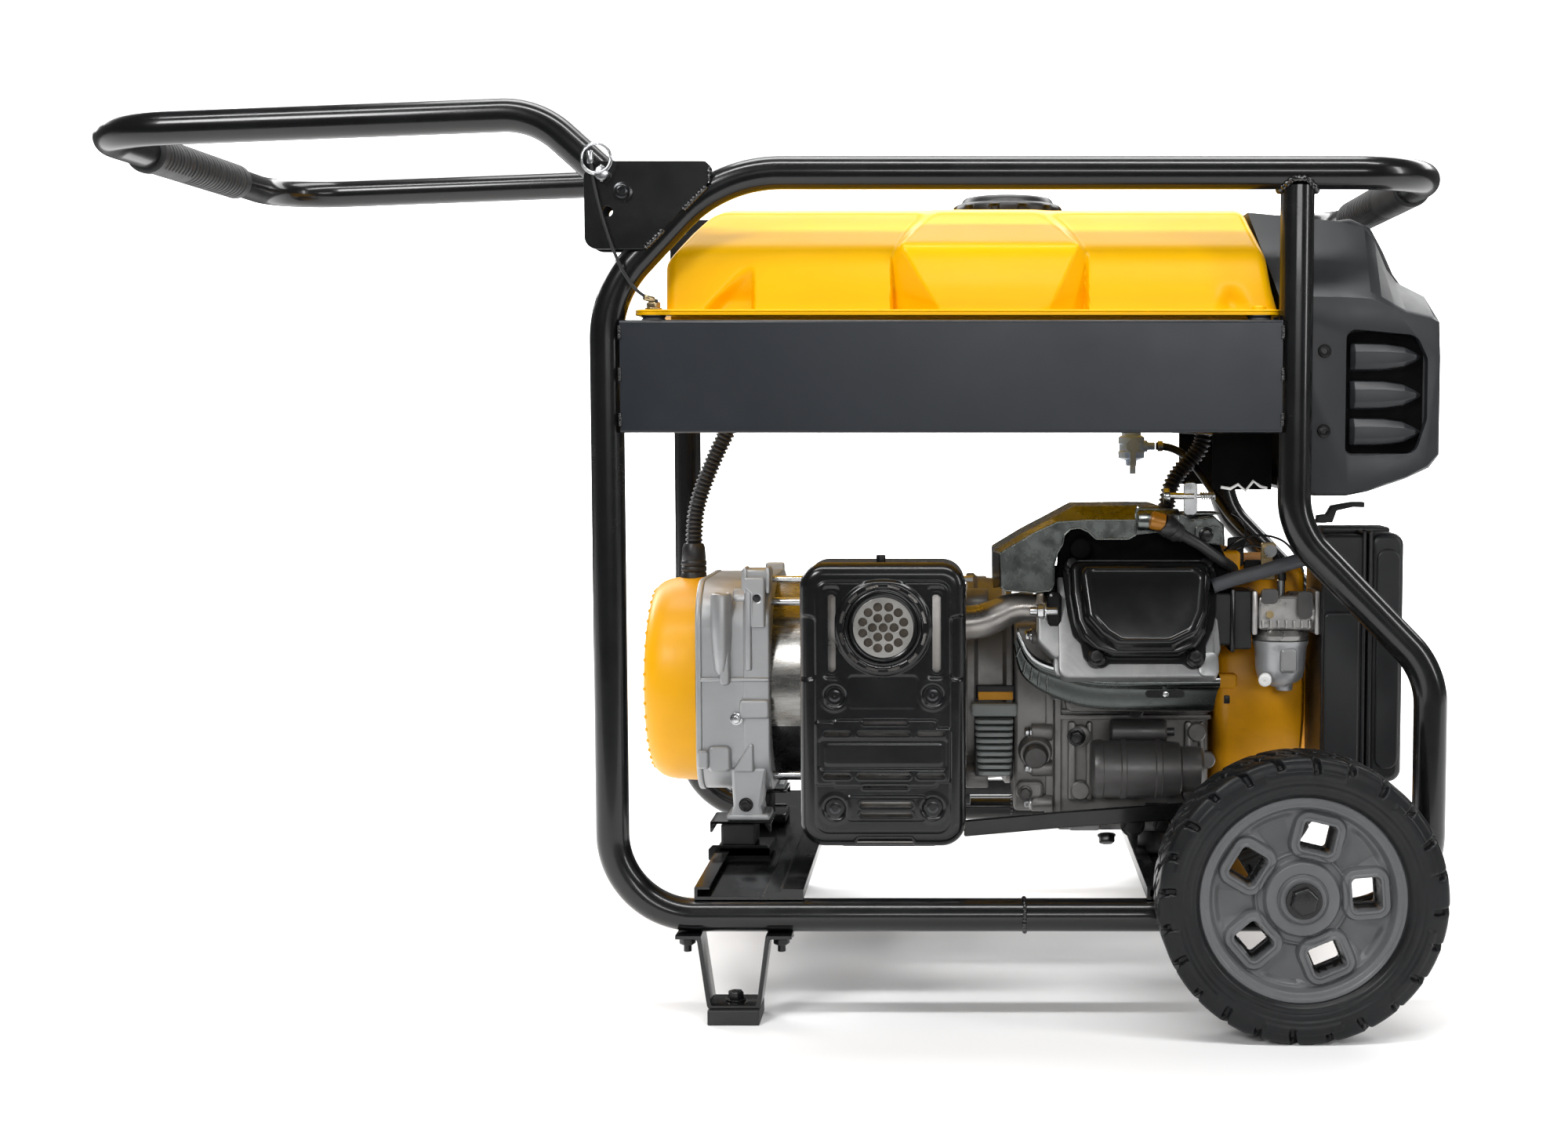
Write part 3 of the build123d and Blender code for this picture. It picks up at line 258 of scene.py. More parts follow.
def mk(name, verts, faces, mat, body="frame", slot=None, angle=32, smooth=True, sharp=True):
    me = bpy.data.meshes.new(name)
    v = [((x + OX) * MM, y * MM, z * MM) for x, y, z in verts]
    me.from_pydata(v, [], faces)
    me.validate()
    me.update()
    o = bpy.data.objects.new(name, me)
    bpy.context.scene.collection.objects.link(o)
    bm = bmesh.new()
    bm.from_mesh(me)
    bmesh.ops.recalc_face_normals(bm, faces=bm.faces)
    bm.to_mesh(me)
    bm.free()
    if smooth:
        me.polygons.foreach_set("use_smooth", [True] * len(me.polygons))
        if sharp:
            sharpen(me, angle)
    me.materials.append(M[mat])
    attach(o, body)
    if slot:
        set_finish(o, slot)
    return o


def bevel(o, w, seg=2, angle=30, flat=False):
    md = o.modifiers.new("bevel", "BEVEL")
    md.width = w * MM
    md.segments = seg
    md.limit_method = "ANGLE"
    md.angle_limit = math.radians(angle)
    md.harden_normals = False
    md.use_clamp_overlap = True
    bake(o)
    if flat:
        flatten(o, max(1.5 * w, 5.0))
    sharpen(o.data, 35)
    return o


def flatten(o, wide):
    # broad plane faces are shaded flat, narrow ones smooth
    me = o.data
    vv = me.vertices
    fl = []
    for p in me.polygons:
        ids = p.vertices
        lg = max((vv[ids[i]].co - vv[ids[i - 1]].co).length for i in range(len(ids)))
        fl.append(p.area / max(lg, 1e-9) < wide * MM)
    me.polygons.foreach_set("use_smooth", fl)


def bake(o):
    dg = bpy.context.evaluated_depsgraph_get()
    dg.update()
    me = bpy.data.meshes.new_from_object(o.evaluated_get(dg))
    o.modifiers.clear()
    o.data = me
    return o


def cut(o, tool):
    md = o.modifiers.new("cut", "BOOLEAN")
    md.operation = "DIFFERENCE"
    md.solver = "EXACT"
    md.object = tool
    bake(o)
    bpy.data.objects.remove(tool)
    return o


def join(name, objs):
    objs = [o for o in objs if o]
    base = objs[0]
    bm = bmesh.new()
    mats = []
    for o in objs:
        idx = []
        for mm_ in o.data.materials:
            if mm_ not in mats:
                mats.append(mm_)
            idx.append(mats.index(mm_))
        me = o.data.copy()
        me.transform(o.matrix_world)
        ids = np.zeros(len(me.polygons), np.int32)
        me.polygons.foreach_get("material_index", ids)
        ids = np.array([idx[min(i, len(idx) - 1)] for i in ids], np.int32) if idx else ids
        me.polygons.foreach_set("material_index", ids)
        bm.from_mesh(me)
        bpy.data.meshes.remove(me)
    me = bpy.data.meshes.new(name)
    bm.to_mesh(me)
    bm.free()
    for mm_ in mats:
        me.materials.append(mm_)
    body = base.get("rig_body")
    slot = base.get("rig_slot")
    for o in objs:
        bpy.data.objects.remove(o)
    n = bpy.data.objects.new(name, me)
    bpy.context.scene.collection.objects.link(n)
    sharpen(me, 35)
    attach(n, body)
    if slot:
        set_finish(n, slot)
    return n


def fillet(pts, radii, step=3.0):
    P = [np.array(p, float) for p in pts]
    if isinstance(radii, (int, float)):
        radii = [radii] * (len(P) - 2)
    out = [P[0]]
    for i in range(1, len(P) - 1):
        a, b, c = P[i - 1], P[i], P[i + 1]
        u = (a - b) / np.linalg.norm(a - b)
        v = (c - b) / np.linalg.norm(c - b)
        ang = math.acos(max(-1, min(1, float(u @ v))))
        turn = PI - ang
        r = radii[i - 1]
        if r < 1e-6 or turn < 1e-4:
            out.append(b)
            continue
        t = r * math.tan(turn / 2)
        p0 = b + u * t
        cen = b + (u + v) / np.linalg.norm(u + v) * (r / math.sin(ang / 2))
        n = max(2, int(math.degrees(turn) / step))
        e1 = (p0 - cen) / r
        ax = np.cross(np.cross(e1, -u), e1)
        e2 = -u
        for k in range(n + 1):
            t_ = turn * k / n
            out.append(cen + r * (e1 * math.cos(t_) + e2 * math.sin(t_)))
    out.append(P[-1])
    return np.array(out)


def frames(path):
    path = np.asarray(path, float)
    T = np.gradient(path, axis=0)
    T[0] = path[1] - path[0]
    T[-1] = path[-1] - path[-2]
    T /= np.linalg.norm(T, axis=1)[:, None]
    ref = np.array([0, 0, 1.0]) if abs(T[0][2]) < 0.9 else np.array([0, 1.0, 0])
    N0 = np.cross(T[0], ref)
    N0 /= np.linalg.norm(N0)
    Ns = [N0]
    for i in range(1, len(path)):
        n = Ns[-1] - T[i] * (Ns[-1] @ T[i])
        n /= np.linalg.norm(n)
        Ns.append(n)
    Ns = np.array(Ns)
    B = np.cross(T, Ns)
    return T, Ns, B


def sweep(name, path, r, mat, body="frame", seg=40, slot=None, caps=True, angle=40):
    path = np.asarray(path, float)
    T, Nn, B = frames(path)
    n = len(path)
    r = np.broadcast_to(np.asarray(r, float).reshape(-1, 1) if np.ndim(r) == 1 else np.asarray(r, float), (n, seg)) if np.ndim(r) else \
        np.full((n, seg), float(r))
    a = np.linspace(0, 2 * PI, seg, endpoint=False)
    V = path[:, None, :] + r[:, :, None] * (Nn[:, None, :] * np.cos(a)[None, :, None] + B[:, None, :] * np.sin(a)[None, :, None])
    verts = V.reshape(-1, 3).tolist()
    faces = []
    for i in range(n - 1):
        for k in range(seg):
            k2 = (k + 1) % seg
            faces.append((i * seg + k, i * seg + k2, (i + 1) * seg + k2, (i + 1) * seg + k))
    if caps:
        faces.append(tuple(range(seg - 1, -1, -1)))
        faces.append(tuple((n - 1) * seg + k for k in range(seg)))
    return mk(name, verts, faces, mat, body, slot, angle)


def lathe(name, prof, origin, axis, mat, body="frame", seg=96, slot=None, angle=30, close=False, rfun=None):
    # prof: list of (r, h); h along axis
    ax = np.array(axis, float)
    ax /= np.linalg.norm(ax)
    ref = np.array([0, 0, 1.0]) if abs(ax[2]) < 0.9 else np.array([1.0, 0, 0])
    e1 = np.cross(ax, ref)
    e1 /= np.linalg.norm(e1)
    e2 = np.cross(ax, e1)
    o = np.array(origin, float)
    verts, faces = [], []
    n = len(prof)
    for r, h in prof:
        for k in range(seg):
            t = 2 * PI * k / seg
            rr = r if rfun is None else rfun(r, h, t)
            verts.append(tuple(o + ax * h + rr * (e1 * math.cos(t) + e2 * math.sin(t))))
    m = n if close else n - 1
    for i in range(m):
        j = (i + 1) % n
        for k in range(seg):
            k2 = (k + 1) % seg
            faces.append((i * seg + k, i * seg + k2, j * seg + k2, j * seg + k))
    if not close:
        if prof[0][0] > 1e-6:
            faces.append(tuple(range(seg - 1, -1, -1)))
        if prof[-1][0] > 1e-6:
            faces.append(tuple((n - 1) * seg + k for k in range(seg)))
    ob = mk(name, verts, faces, mat, body, slot, angle)
    bm = bmesh.new()
    bm.from_mesh(ob.data)
    bmesh.ops.remove_doubles(bm, verts=bm.verts, dist=1e-6)
    bmesh.ops.recalc_face_normals(bm, faces=bm.faces)
    bm.to_mesh(ob.data)
    bm.free()
    sharpen(ob.data, angle)
    return ob


def rp(pts, r, step=12):
    # round the corners of a closed 2D outline
    n = len(pts)
    out = []
    for i in range(n):
        a, b, c = (np.array(pts[(i + k) % n], float) for k in (-1, 0, 1))
        ri = r[i] if isinstance(r, (list, tuple)) else r
        u, v = a - b, c - b
        lu, lv = np.linalg.norm(u), np.linalg.norm(v)
        u, v = u / lu, v / lv
        ang = math.acos(max(-1, min(1, float(u @ v))))
        turn = PI - ang
        if ri <= 0 or turn < 0.03:
            out.append(tuple(b))
            continue
        t = min(ri * math.tan(turn / 2), 0.48 * lu, 0.48 * lv)
        rr = t / math.tan(turn / 2)
        p0 = b + u * t
        cen = b + (u + v) / np.linalg.norm(u + v) * (rr / math.sin(ang / 2))
        e1 = (p0 - cen) / rr
        k = max(2, int(math.degrees(turn) / step))
        for q in range(k + 1):
            tt = turn * q / k
            out.append(tuple(cen + rr * (e1 * math.cos(tt) - u * math.sin(tt))))
    return out


def plane_map(plane, d, o=(0, 0, 0)):
    if plane == "xz":
        return lambda p, h: (p[0], h, p[1])
    if plane == "yz":
        return lambda p, h: (h, p[0], p[1])
    if plane == "xy":
        return lambda p, h: (p[0], p[1], h)


def ext(name, pts, plane, h0, h1, mat, body="frame", bev=0.6, seg=2, slot=None, holes=(), fm=None, concave=False):
    # extruded outline; holes and inward corners through a 2D curve fill
    f = fm or plane_map(plane, 0)
    if not holes and not concave:
        n = len(pts)
        verts = [f(p, h0) for p in pts] + [f(p, h1) for p in pts]
        faces = [tuple(range(n)), tuple(range(2 * n - 1, n - 1, -1))] + [(i, (i + 1) % n, n + (i + 1) % n, n + i) for i in range(n)]
        o = mk(name, verts, faces, mat, body, slot)
        if bev:
            bevel(o, bev, seg, flat=fm is None)
        return o
    cu = bpy.data.curves.new(name, "CURVE")
    cu.dimensions = "2D"
    cu.fill_mode = "BOTH"
    for loop in [pts] + list(holes):
        sp = cu.splines.new("POLY")
        sp.points.add(len(loop) - 1)
        for i, p in enumerate(loop):
            sp.points[i].co = (p[0], p[1], 0, 1)
        sp.use_cyclic_u = True
    cu.extrude = abs(h1 - h0) / 2 - (bev if bev else 0)
    cu.bevel_depth = bev
    cu.bevel_resolution = 1
    cu.offset = -bev
    tmp = bpy.data.objects.new(name + "_tmp", cu)
    bpy.context.scene.collection.objects.link(tmp)
    dg = bpy.context.evaluated_depsgraph_get()
    dg.update()
    me = bpy.data.meshes.new_from_object(tmp.evaluated_get(dg))
    verts = [f((v.co.x, v.co.y), (h0 + h1) / 2 + v.co.z) for v in me.vertices]
    faces = [tuple(p.vertices) for p in me.polygons]
    bpy.data.objects.remove(tmp)
    bpy.data.meshes.remove(me)
    o = mk(name, verts, faces, mat, body, slot)
    bm = bmesh.new()
    bm.from_mesh(o.data)
    bmesh.ops.remove_doubles(bm, verts=bm.verts, dist=2e-6)
    bmesh.ops.recalc_face_normals(bm, faces=bm.faces)
    bm.to_mesh(o.data)
    bm.free()
    axd = Vector(f((0, 0), 1.0)) - Vector(f((0, 0), 0.0))
    axd.normalize()
    o.data.polygons.foreach_set("use_smooth", [abs(p.normal.dot(axd)) < 0.9995 for p in o.data.polygons])
    sharpen(o.data, 32)
    return o


def bx(name, x0, x1, y0, y1, z0, z1, mat, body="frame", bev=1.0, seg=2, slot=None, r=0):
    pts = [(x0, z0), (x1, z0), (x1, z1), (x0, z1)]
    if r:
        pts = rp(pts, r)
    return ext(name, pts, "xz", y0, y1, mat, body, bev, seg, slot)


def circ(cx, cy, r, n=32):
    return [(cx + r * math.cos(2 * PI * k / n), cy + r * math.sin(2 * PI * k / n)) for k in range(n)]


def rrect(x0, x1, y0, y1, r, step=15):
    return rp([(x0, y0), (x1, y0), (x1, y1), (x0, y1)], r, step)


def disc(name, p, d, r, h, mat, body="frame", bev=0.8, seg=48, slot=None, hole=0):
    prof = [(hole, 0), (r - bev, 0), (r - bev * 0.3, bev * 0.3), (r, bev), (r, h - bev), (r - bev * 0.3, h - bev * 0.3), (r - bev, h), (hole, h)]
    return lathe(name, prof, p, d, mat, body, seg, slot, close=hole > 0)


def hexb(name, p, d, af, h, mat, body="frame", washer=0, flange=0, dome=True):
    ax = np.array(d, float)
    ax /= np.linalg.norm(ax)
    ref = np.array([0, 0, 1.0]) if abs(ax[2]) < 0.9 else np.array([1.0, 0, 0])
    e1 = np.cross(ax, ref)
    e1 /= np.linalg.norm(e1)
    e2 = np.cross(ax, e1)
    o = np.array(p, float)
    out = []
    z0 = 0.0
    if washer:
        out.append(disc(name + "_w", tuple(o), d, washer, 1.6, mat, body, 0.4, 36))
        z0 = 1.6
    if flange:
        out.append(lathe(name + "_f", [(0, z0), (flange, z0), (flange, z0 + 1.2), (af * 0.55, z0 + 2.6), (0, z0 + 2.6)], tuple(o), d, mat, body, 36))
        z0 += 1.6
    R = af / math.sqrt(3)
    verts, faces = [], []
    rings = [(R, z0), (R, h + z0 - 1.2), (af * 0.5 * 0.98, h + z0)]
    for r_, z in rings:
        for k in range(6):
            a = PI / 3 * k + 0.3
            verts.append(tuple(o + ax * z + r_ * (e1 * math.cos(a) + e2 * math.sin(a))))
    for i in range(2):
        for k in range(6):
            faces.append((i * 6 + k, i * 6 + (k + 1) % 6, i * 6 + 6 + (k + 1) % 6, i * 6 + 6 + k))
    faces += [tuple(range(12, 18)), tuple(range(5, -1, -1))]
    hx = mk(name, verts, faces, mat, body)
    bevel(hx, 0.35, 2, 20)
    out.append(hx)
    return join(name, out) if len(out) > 1 else hx


def nurbs(points, res=24):
    # smooth line through a NURBS spline whose control points are the route's
    cu = bpy.data.curves.new("route", "CURVE")
    cu.dimensions = "3D"
    sp = cu.splines.new("NURBS")
    sp.points.add(len(points) - 1)
    for i, p in enumerate(points):
        sp.points[i].co = (*p, 1)
    sp.order_u = 3
    sp.use_endpoint_u = True
    sp.resolution_u = res
    tmp = bpy.data.objects.new("route", cu)
    bpy.context.scene.collection.objects.link(tmp)
    dg = bpy.context.evaluated_depsgraph_get()
    dg.update()
    me = bpy.data.meshes.new_from_object(tmp.evaluated_get(dg))
    P = np.array([v.co for v in me.vertices])
    bpy.data.objects.remove(tmp)
    bpy.data.meshes.remove(me)
    return P


def resample(P, step):
    P = np.asarray(P, float)
    s = np.r_[0, np.cumsum(np.linalg.norm(np.diff(P, axis=0), axis=1))]
    n = max(2, int(s[-1] / step))
    t = np.linspace(0, s[-1], n + 1)
    return np.stack([np.interp(t, s, P[:, k]) for k in range(3)], 1)


def mir(o, name, body=None):
    # mirrored copy on the far side
    me = o.data.copy()
    me.transform(o.matrix_world)
    me.transform(Matrix.Diagonal((1, -1, 1, 1)))
    me.flip_normals()
    n = bpy.data.objects.new(name, me)
    bpy.context.scene.collection.objects.link(n)
    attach(n, body or o.get("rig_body"))
    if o.get("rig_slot"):
        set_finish(n, o.get("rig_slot"))
    return n


def soften(node, mat, w=0.8, name=None, angle=25, seg=2):
    # a CAD node's own shape with its flat faces merged and its edges broken, standing for that node
    src = NODES[node]
    me = src.data.copy()
    me.materials.clear()
    o = bpy.data.objects.new((name or node) + "_skin", me)
    bpy.context.scene.collection.objects.link(o)
    bm = bmesh.new()
    bm.from_mesh(me)
    bmesh.ops.remove_doubles(bm, verts=bm.verts, dist=1e-5)
    bmesh.ops.dissolve_limit(bm, angle_limit=math.radians(1.0), verts=bm.verts, edges=bm.edges)
    bm.to_mesh(me)
    bm.free()
    me.materials.append(M[mat])
    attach(o, src["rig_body"])
    if w:
        md = o.modifiers.new("bevel", "BEVEL")
        md.width = w * MM
        md.segments = seg
        md.limit_method = "ANGLE"
        md.angle_limit = math.radians(angle)
        md.use_clamp_overlap = True
        bake(o)
    me = o.data
    me.polygons.foreach_set("use_smooth", [True] * len(me.polygons))
    sharpen(me, angle)
    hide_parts(node)
    return o


SLOT = {s["node"]: s["material_slot"] for s in frame["record"]["subparts"]}
DONE = set()


def rep(o, *nodes):
    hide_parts(*nodes)
    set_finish(o, SLOT[nodes[0]])
    DONE.update(nodes)
    return o


# ================================================================= frame
YS = 265.7
TR = 15.0
y = -YS
X_LEFT, X_UP, X_LOW, X_LOOP, X_SEAM = -320.0, 294.0, 419.0, 420.0, 53.0
Z_TOP, Z_BOT = 763.0, 96.0
path = fillet([(310, y, Z_TOP), (-218.8, y, Z_TOP), (X_LEFT, y, 656.0), (X_LEFT, y, Z_BOT), (X_SEAM, y, Z_BOT)], [127, 102, 75], 2.5)
near = sweep("frame_tube_near", path, TR, "frame_black", seg=56)
far = mir(near, "frame_tube_far")
rep(near, "frame_tubes")
loop = sweep("cross_loop", fillet([(310, y, Z_TOP), (X_LOOP, y, Z_TOP), (X_LOOP, -y, Z_TOP), (310, -y, Z_TOP)], [75, 75], 2.5), TR,
             "frame_black", seg=56)
rep(loop, "cross_loop_tube")
leg = sweep("rear_leg_near", fillet([(X_SEAM, y, Z_BOT), (X_LOW, y, Z_BOT), (X_LOW, y, 318.0), (X_UP, y, 446.0), (X_UP, y, Z_TOP - 12)],
                                    [75, 75, 75], 2.5), TR, "frame_black", seg=56)
legf = mir(leg, "rear_leg_far")
rep(leg, "rear_leg_tubes")


def bead(name, pts, r, closed=False, wob=0.18, pitch=3.2, mat="weld_black", body="frame"):
    P = resample(np.array(list(pts)), 0.7)
    s = np.arange(len(P)) * 0.7
    rr = r * (1 + wob * np.cos(2 * PI * s / pitch) ** 3 + 0.08 * RNG.standard_normal(len(P)).cumsum() / math.sqrt(len(P)))
    return sweep(name, P, rr, mat, body, seg=12)


ring_pts = [(X_SEAM + 0.4 * math.sin(3 * t), y + TR * math.cos(t), Z_BOT + TR * math.sin(t)) for t in np.linspace(0, 2 * PI, 120)]
sb = bead("seam_bead_near", ring_pts, 2.0)
mir(sb, "seam_bead_far")
sad = []
for t in np.linspace(0, 2 * PI, 120):
    dx, dy_ = 16.2 * math.cos(t), 16.2 * math.sin(t)
    dyc = max(-15.0, min(15.0, dy_))
    sad.append((X_UP + dx, y + dy_ * 0.93, Z_TOP - math.sqrt(max(0.0, 15.6 ** 2 - (dyc * 0.93) ** 2))))
sb = bead("saddle_bead_near", sad, 3.0, pitch=4.2)
mir(sb, "saddle_bead_far")


def grip(name, x, yc, z, half, body, collar=0):
    # ribbed rubber sleeve with a plain strip along it
    n = int(half * 2 / 0.8)
    ys = np.linspace(-half, half, n)
    seg = 72
    verts, faces = [], []
    R = np.zeros((n, seg))
    for i, yy in enumerate(ys):
        e = half - abs(yy)
        for k in range(seg):
            t = 2 * PI * k / seg
            r0 = 18.4
            ph = (yy % 8.4) / 8.4
            rib = -2.3 * min(1.0, 1.7 * (0.5 - 0.5 * math.cos(2 * PI * min(1, max(0, (ph - 0.28) / 0.44))))) if 0.28 < ph < 0.72 else 0.0
            strip = abs(((t - 2.3 + PI) % (2 * PI)) - PI)
            if e < 14 or (yy < -0.28 * half and strip < 1.5):
                rib = 0
            if strip < 0.30 and yy > -0.28 * half:
                rib = -1.1 * min(1, (0.30 - strip) / 0.08)
            if e < 2.2:
                r0 -= 2.2 - math.sqrt(max(0, 2.2 ** 2 - (2.2 - e) ** 2))
            if collar and yy < -half + 9:
                r0 += 1.6 * min(1, e / 1.5) * min(1, (yy + half) / 1.5 + 0.4)
            R[i, k] = r0 + rib
    P = [(x, yc + yy, z) for yy in ys]
    return sweep(name, P, R, "grip_rubber", body, seg=seg, angle=50)


g = grip("end_loop_grip", X_LOOP, 0, Z_TOP, 150, "frame")
rep(g, "top_grip")

# ---------------------------------------------------------------- handle
PIVOT, PIN, PIN2 = (-301.0, 744.0), (-318.4, 759.6), (-314.7, 727.1)
HX, ZL = -781.5, 799.15
ddx, ddz = PIN[0] - PIVOT[0], PIN[1] - PIVOT[1]
dl = math.hypot(ddx, ddz)
ddx, ddz = ddx / dl, ddz / dl
hend = (PIVOT[0] - ddx * 19, PIVOT[1] - ddz * 19)
hc = (PIVOT[0] + ddx * 105.5, PIVOT[1] + ddz * 105.5)
hpath = fillet([(hend[0], y, hend[1]), (hc[0], y, hc[1]), (HX, y, ZL), (HX, -y, ZL), (hc[0], -y, hc[1]), (hend[0], -y, hend[1])],
               [75, 75, 75, 75], 2.5)
ht = sweep("pull_handle", hpath, TR, "frame_black", "handle", seg=56)
rep(ht, "handle_tube")
g = grip("pull_handle_grip", HX, -2, ZL, 122, "handle", 1)
rep(g, "handle_grip")

cheek = rp([(-335.3, 759.0), (-326.6, 771.0), (-226.6, 771.0), (-226.4, 751.4), (-282.7, 694.1), (-335.3, 694.1)], [5, 5, 4, 4, 5, 11])
holes = [circ(PIN[0], PIN[1], 4.6, 24), circ(PIN2[0], PIN2[1], 4.6, 24)]
c1 = ext("bracket_cheek_near", cheek, "xz", -284.2, -281.2, "frame_black", bev=0.5, holes=holes)
c2 = ext("bracket_inner_cheek_near", cheek, "xz", -250.2, -247.2, "frame_black", bev=0.5, holes=holes)
c3 = bx("bracket_top_near", -289, -228, -283.2, -248.2, 768.2, 771, "frame_black", bev=0.8)
wb = []
for t0, t1 in ((0.02, 0.3), (0.62, 0.98)):
    a = np.array([-282.7, -283.6, 694.5])
    b_ = np.array([-226.8, -283.6, 750.0])
    wb.append(bead("bracket_weld%d" % len(wb), [a + (b_ - a) * t for t in np.linspace(t0, t1, 40)], 2.4))
wb.append(bead("bracket_weld_top", [(-226.2, -281.5, 752 + k * 0.4) for k in range(40)], 2.0))
hb = join("handle_bracket_near", [c1, c2, c3] + wb)
mir(hb, "handle_bracket_far")
rep(hb, "handle_brackets")
pb = [disc("pv_w", (PIVOT[0], -284.2, PIVOT[1]), (0, -1, 0), 8.8, 1.6, "bolt_shine", bev=0.5),
      lathe("pv_h", [(0, 0), (6.6, 0), (6.6, 2.5), (6.0, 4.6), (4.2, 5.6), (3.4, 5.6), (3.2, 3.2), (0, 3.2)], (PIVOT[0], -285.8, PIVOT[1]), (0, -1, 0),
            "bolt_shine", seg=48),
      hexb("pv_n", (PIVOT[0], -247.2, PIVOT[1]), (0, 1, 0), 14, 6, "bolt_black", washer=9),
      disc("pv_s", (PIVOT[0], -284, PIVOT[1]), (0, 1, 0), 4.9, 37, "zinc")]
pv = join("pivot_bolt_near_side", pb)
mir(pv, "pivot_bolt_far_side")
FAST = [pv]
# lock pin
lp = [lathe("lp_h", [(0, 0), (5.0, 0), (6.4, 1.0), (6.5, 5.5), (6.0, 7.2), (4.2, 8.0), (0, 8.0)], (PIN[0], -285.0, PIN[1]), (0, -1, 0), "zinc", "lock_pin"),
      disc("lp_s", (PIN[0], -285.2, PIN[1]), (0, 1, 0), 4.4, 4.2, "zinc", "lock_pin"),
      disc("lp_x", (PIN[0] - 0.2, -289.2, PIN[1] - 7.4), (0, 0, 1), 1.5, 14.8, "zinc", "lock_pin", bev=0.4)]
rc = (PIN[0] - 4.2, PIN[1] + 12.4)
lp.append(sweep("lp_r", [(rc[0] + 13.6 * math.cos(t), -291.0 - 1.6 * math.sin(t + 1), rc[1] + 13.6 * math.sin(t)) for t in
                         np.linspace(0, 2 * PI, 80)], 0.95, "zinc", "lock_pin", seg=14, caps=False))
lp.append(sweep("lp_r2", [(rc[0] + 12.4 * math.cos(t), -293.2 + 1.2 * math.sin(t), rc[1] + 12.4 * math.sin(t)) for t in
                          np.linspace(0.4, 2 * PI + 0.4, 80)], 0.9, "zinc", "lock_pin", seg=14, caps=False))
lpo = join("lock_pin_with_ring", lp)
rep(lpo, "lock_pin")
# lanyard: a NURBS line with the route's control points
LAN = [(-328.6, -289.0, 784.0), (-327.9, -289.0, 763.0), (-321.5, -289.0, 732.0), (-311.5, -289.0, 698.0), (-298.5, -290.5, 669.0),
       (-283.5, -288.5, 651.5), (-272.0, -281.0, 649.0)]
cu = bpy.data.curves.new("lock_pin_cord", "CURVE")
cu.dimensions = "3D"
sp = cu.splines.new("NURBS")
sp.points.add(len(LAN) - 1)
for i, p in enumerate(LAN):
    sp.points[i].co = ((p[0] + OX) * MM, p[1] * MM, p[2] * MM, 1)
sp.order_u = 3
sp.use_endpoint_u = True
sp.resolution_u = 24
cu.bevel_depth = 1.5 * MM
cu.bevel_resolution = 5
cu.use_fill_caps = True
cu.materials.append(M["lanyard"])
lan = bpy.data.objects.new("lock_pin_cord", cu)
bpy.context.scene.collection.objects.link(lan)
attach(lan, "frame")
rep(lan, "lock_pin_lanyard")
LANP = nurbs([((p[0] + OX) * MM, p[1] * MM, p[2] * MM) for p in LAN])
fer = [lathe("ferrule_a", [(0, 0), (2.6, 0), (3.0, 1), (3.0, 10), (2.6, 11), (0, 11)], (-328.4, -289.0, 768.0), (-0.033, 0, 1), "zinc", seg=32),
       lathe("ferrule_b", [(0, 0), (2.4, 0), (2.8, 1), (2.8, 9), (2.2, 10), (0, 10)], (-283.0, -287.8, 651.9), (0.80, 0.52, -0.18), "zinc_yellow", seg=32)]
fe = join("lanyard_ferrules", fer)

# ================================================================= side panels
prof = rp([(-279.5, 533), (-279.5, 632.7), (-246, 632.7), (-246, 631.2), (-278, 631.2), (-278, 534.5), (-264, 534.5), (-264, 533)],
          [2.5, 2.5, 0.4, 0.4, 1.2, 1.2, 0.4, 0.4])
pn = ext("side_panel_near", prof, "yz", -306.5, 280.5, "panel_slate", bev=0.25)
mir(pn, "side_panel_far")
rep(pn, "side_panels")
for i, (xx, zz) in enumerate(((-306.5, 622), (-306.5, 585), (-306.5, 545), (280.5, 622), (280.5, 585), (280.5, 545))):
    b1 = bead("panel_weld_%d" % i, [(xx, -279.4, zz - 6 + k * 0.6) for k in range(20)], 1.7, pitch=3)
    mir(b1, "panel_weld_far_%d" % i)


# ================================================================= fuel tank
def prof_pts(kind):
    # near half of the section, from the flange up to the middle of the top: (Y, Z)
    if kind == 0:
        k = [(-250, 642.5), (-247.5, 668), (-246, 696), (-205, 733), (-192, 737.6), (-120, 738.6), (0, 739)]
    else:
        k = [(-256.5, 642.5), (-256.8, 668), (-255.5, 700), (-212, 733), (-199, 738.4), (-120, 739.6), (0, 739.8)]
    return k


def dense(k, n):
    P = np.array(k, float)
    s = np.r_[0, np.cumsum(np.linalg.norm(np.diff(P, axis=0), axis=1))]
    return s, P


KEYS = 7
sub = [10, 10, 16, 8, 12, 10]


def section(kind, soft=1.0):
    k = prof_pts(kind)
    out = []
    for i in range(KEYS - 1):
        for q in range(sub[i]):
            t = q / sub[i]
            out.append(((1 - t) * k[i][0] + t * k[i + 1][0], (1 - t) * k[i][1] + t * k[i + 1][1]))
    out.append(k[-1])
    P = np.array(out)
    # soften the corners
    for _ in range(6):
        Q = P.copy()
        Q[1:-1] = 0.25 * P[:-2] + 0.5 * P[1:-1] + 0.25 * P[2:]
        P = Q
    return P


S0, S1 = section(0), section(1)
NS = len(S0)


def ss(t):
    t = max(0.0, min(1.0, t))
    return t * t * (3 - 2 * t)


def lin(t):
    return max(0.0, min(1.0, t))


def xl_of(z):
    return np.interp(z, [642, 690, 715, 731, 739.8], [-270, -270, -252, -238, -222])


def xr_of(z):
    return np.interp(z, [642, 697, 725, 739.8], [280.5, 270.5, 261, 257])


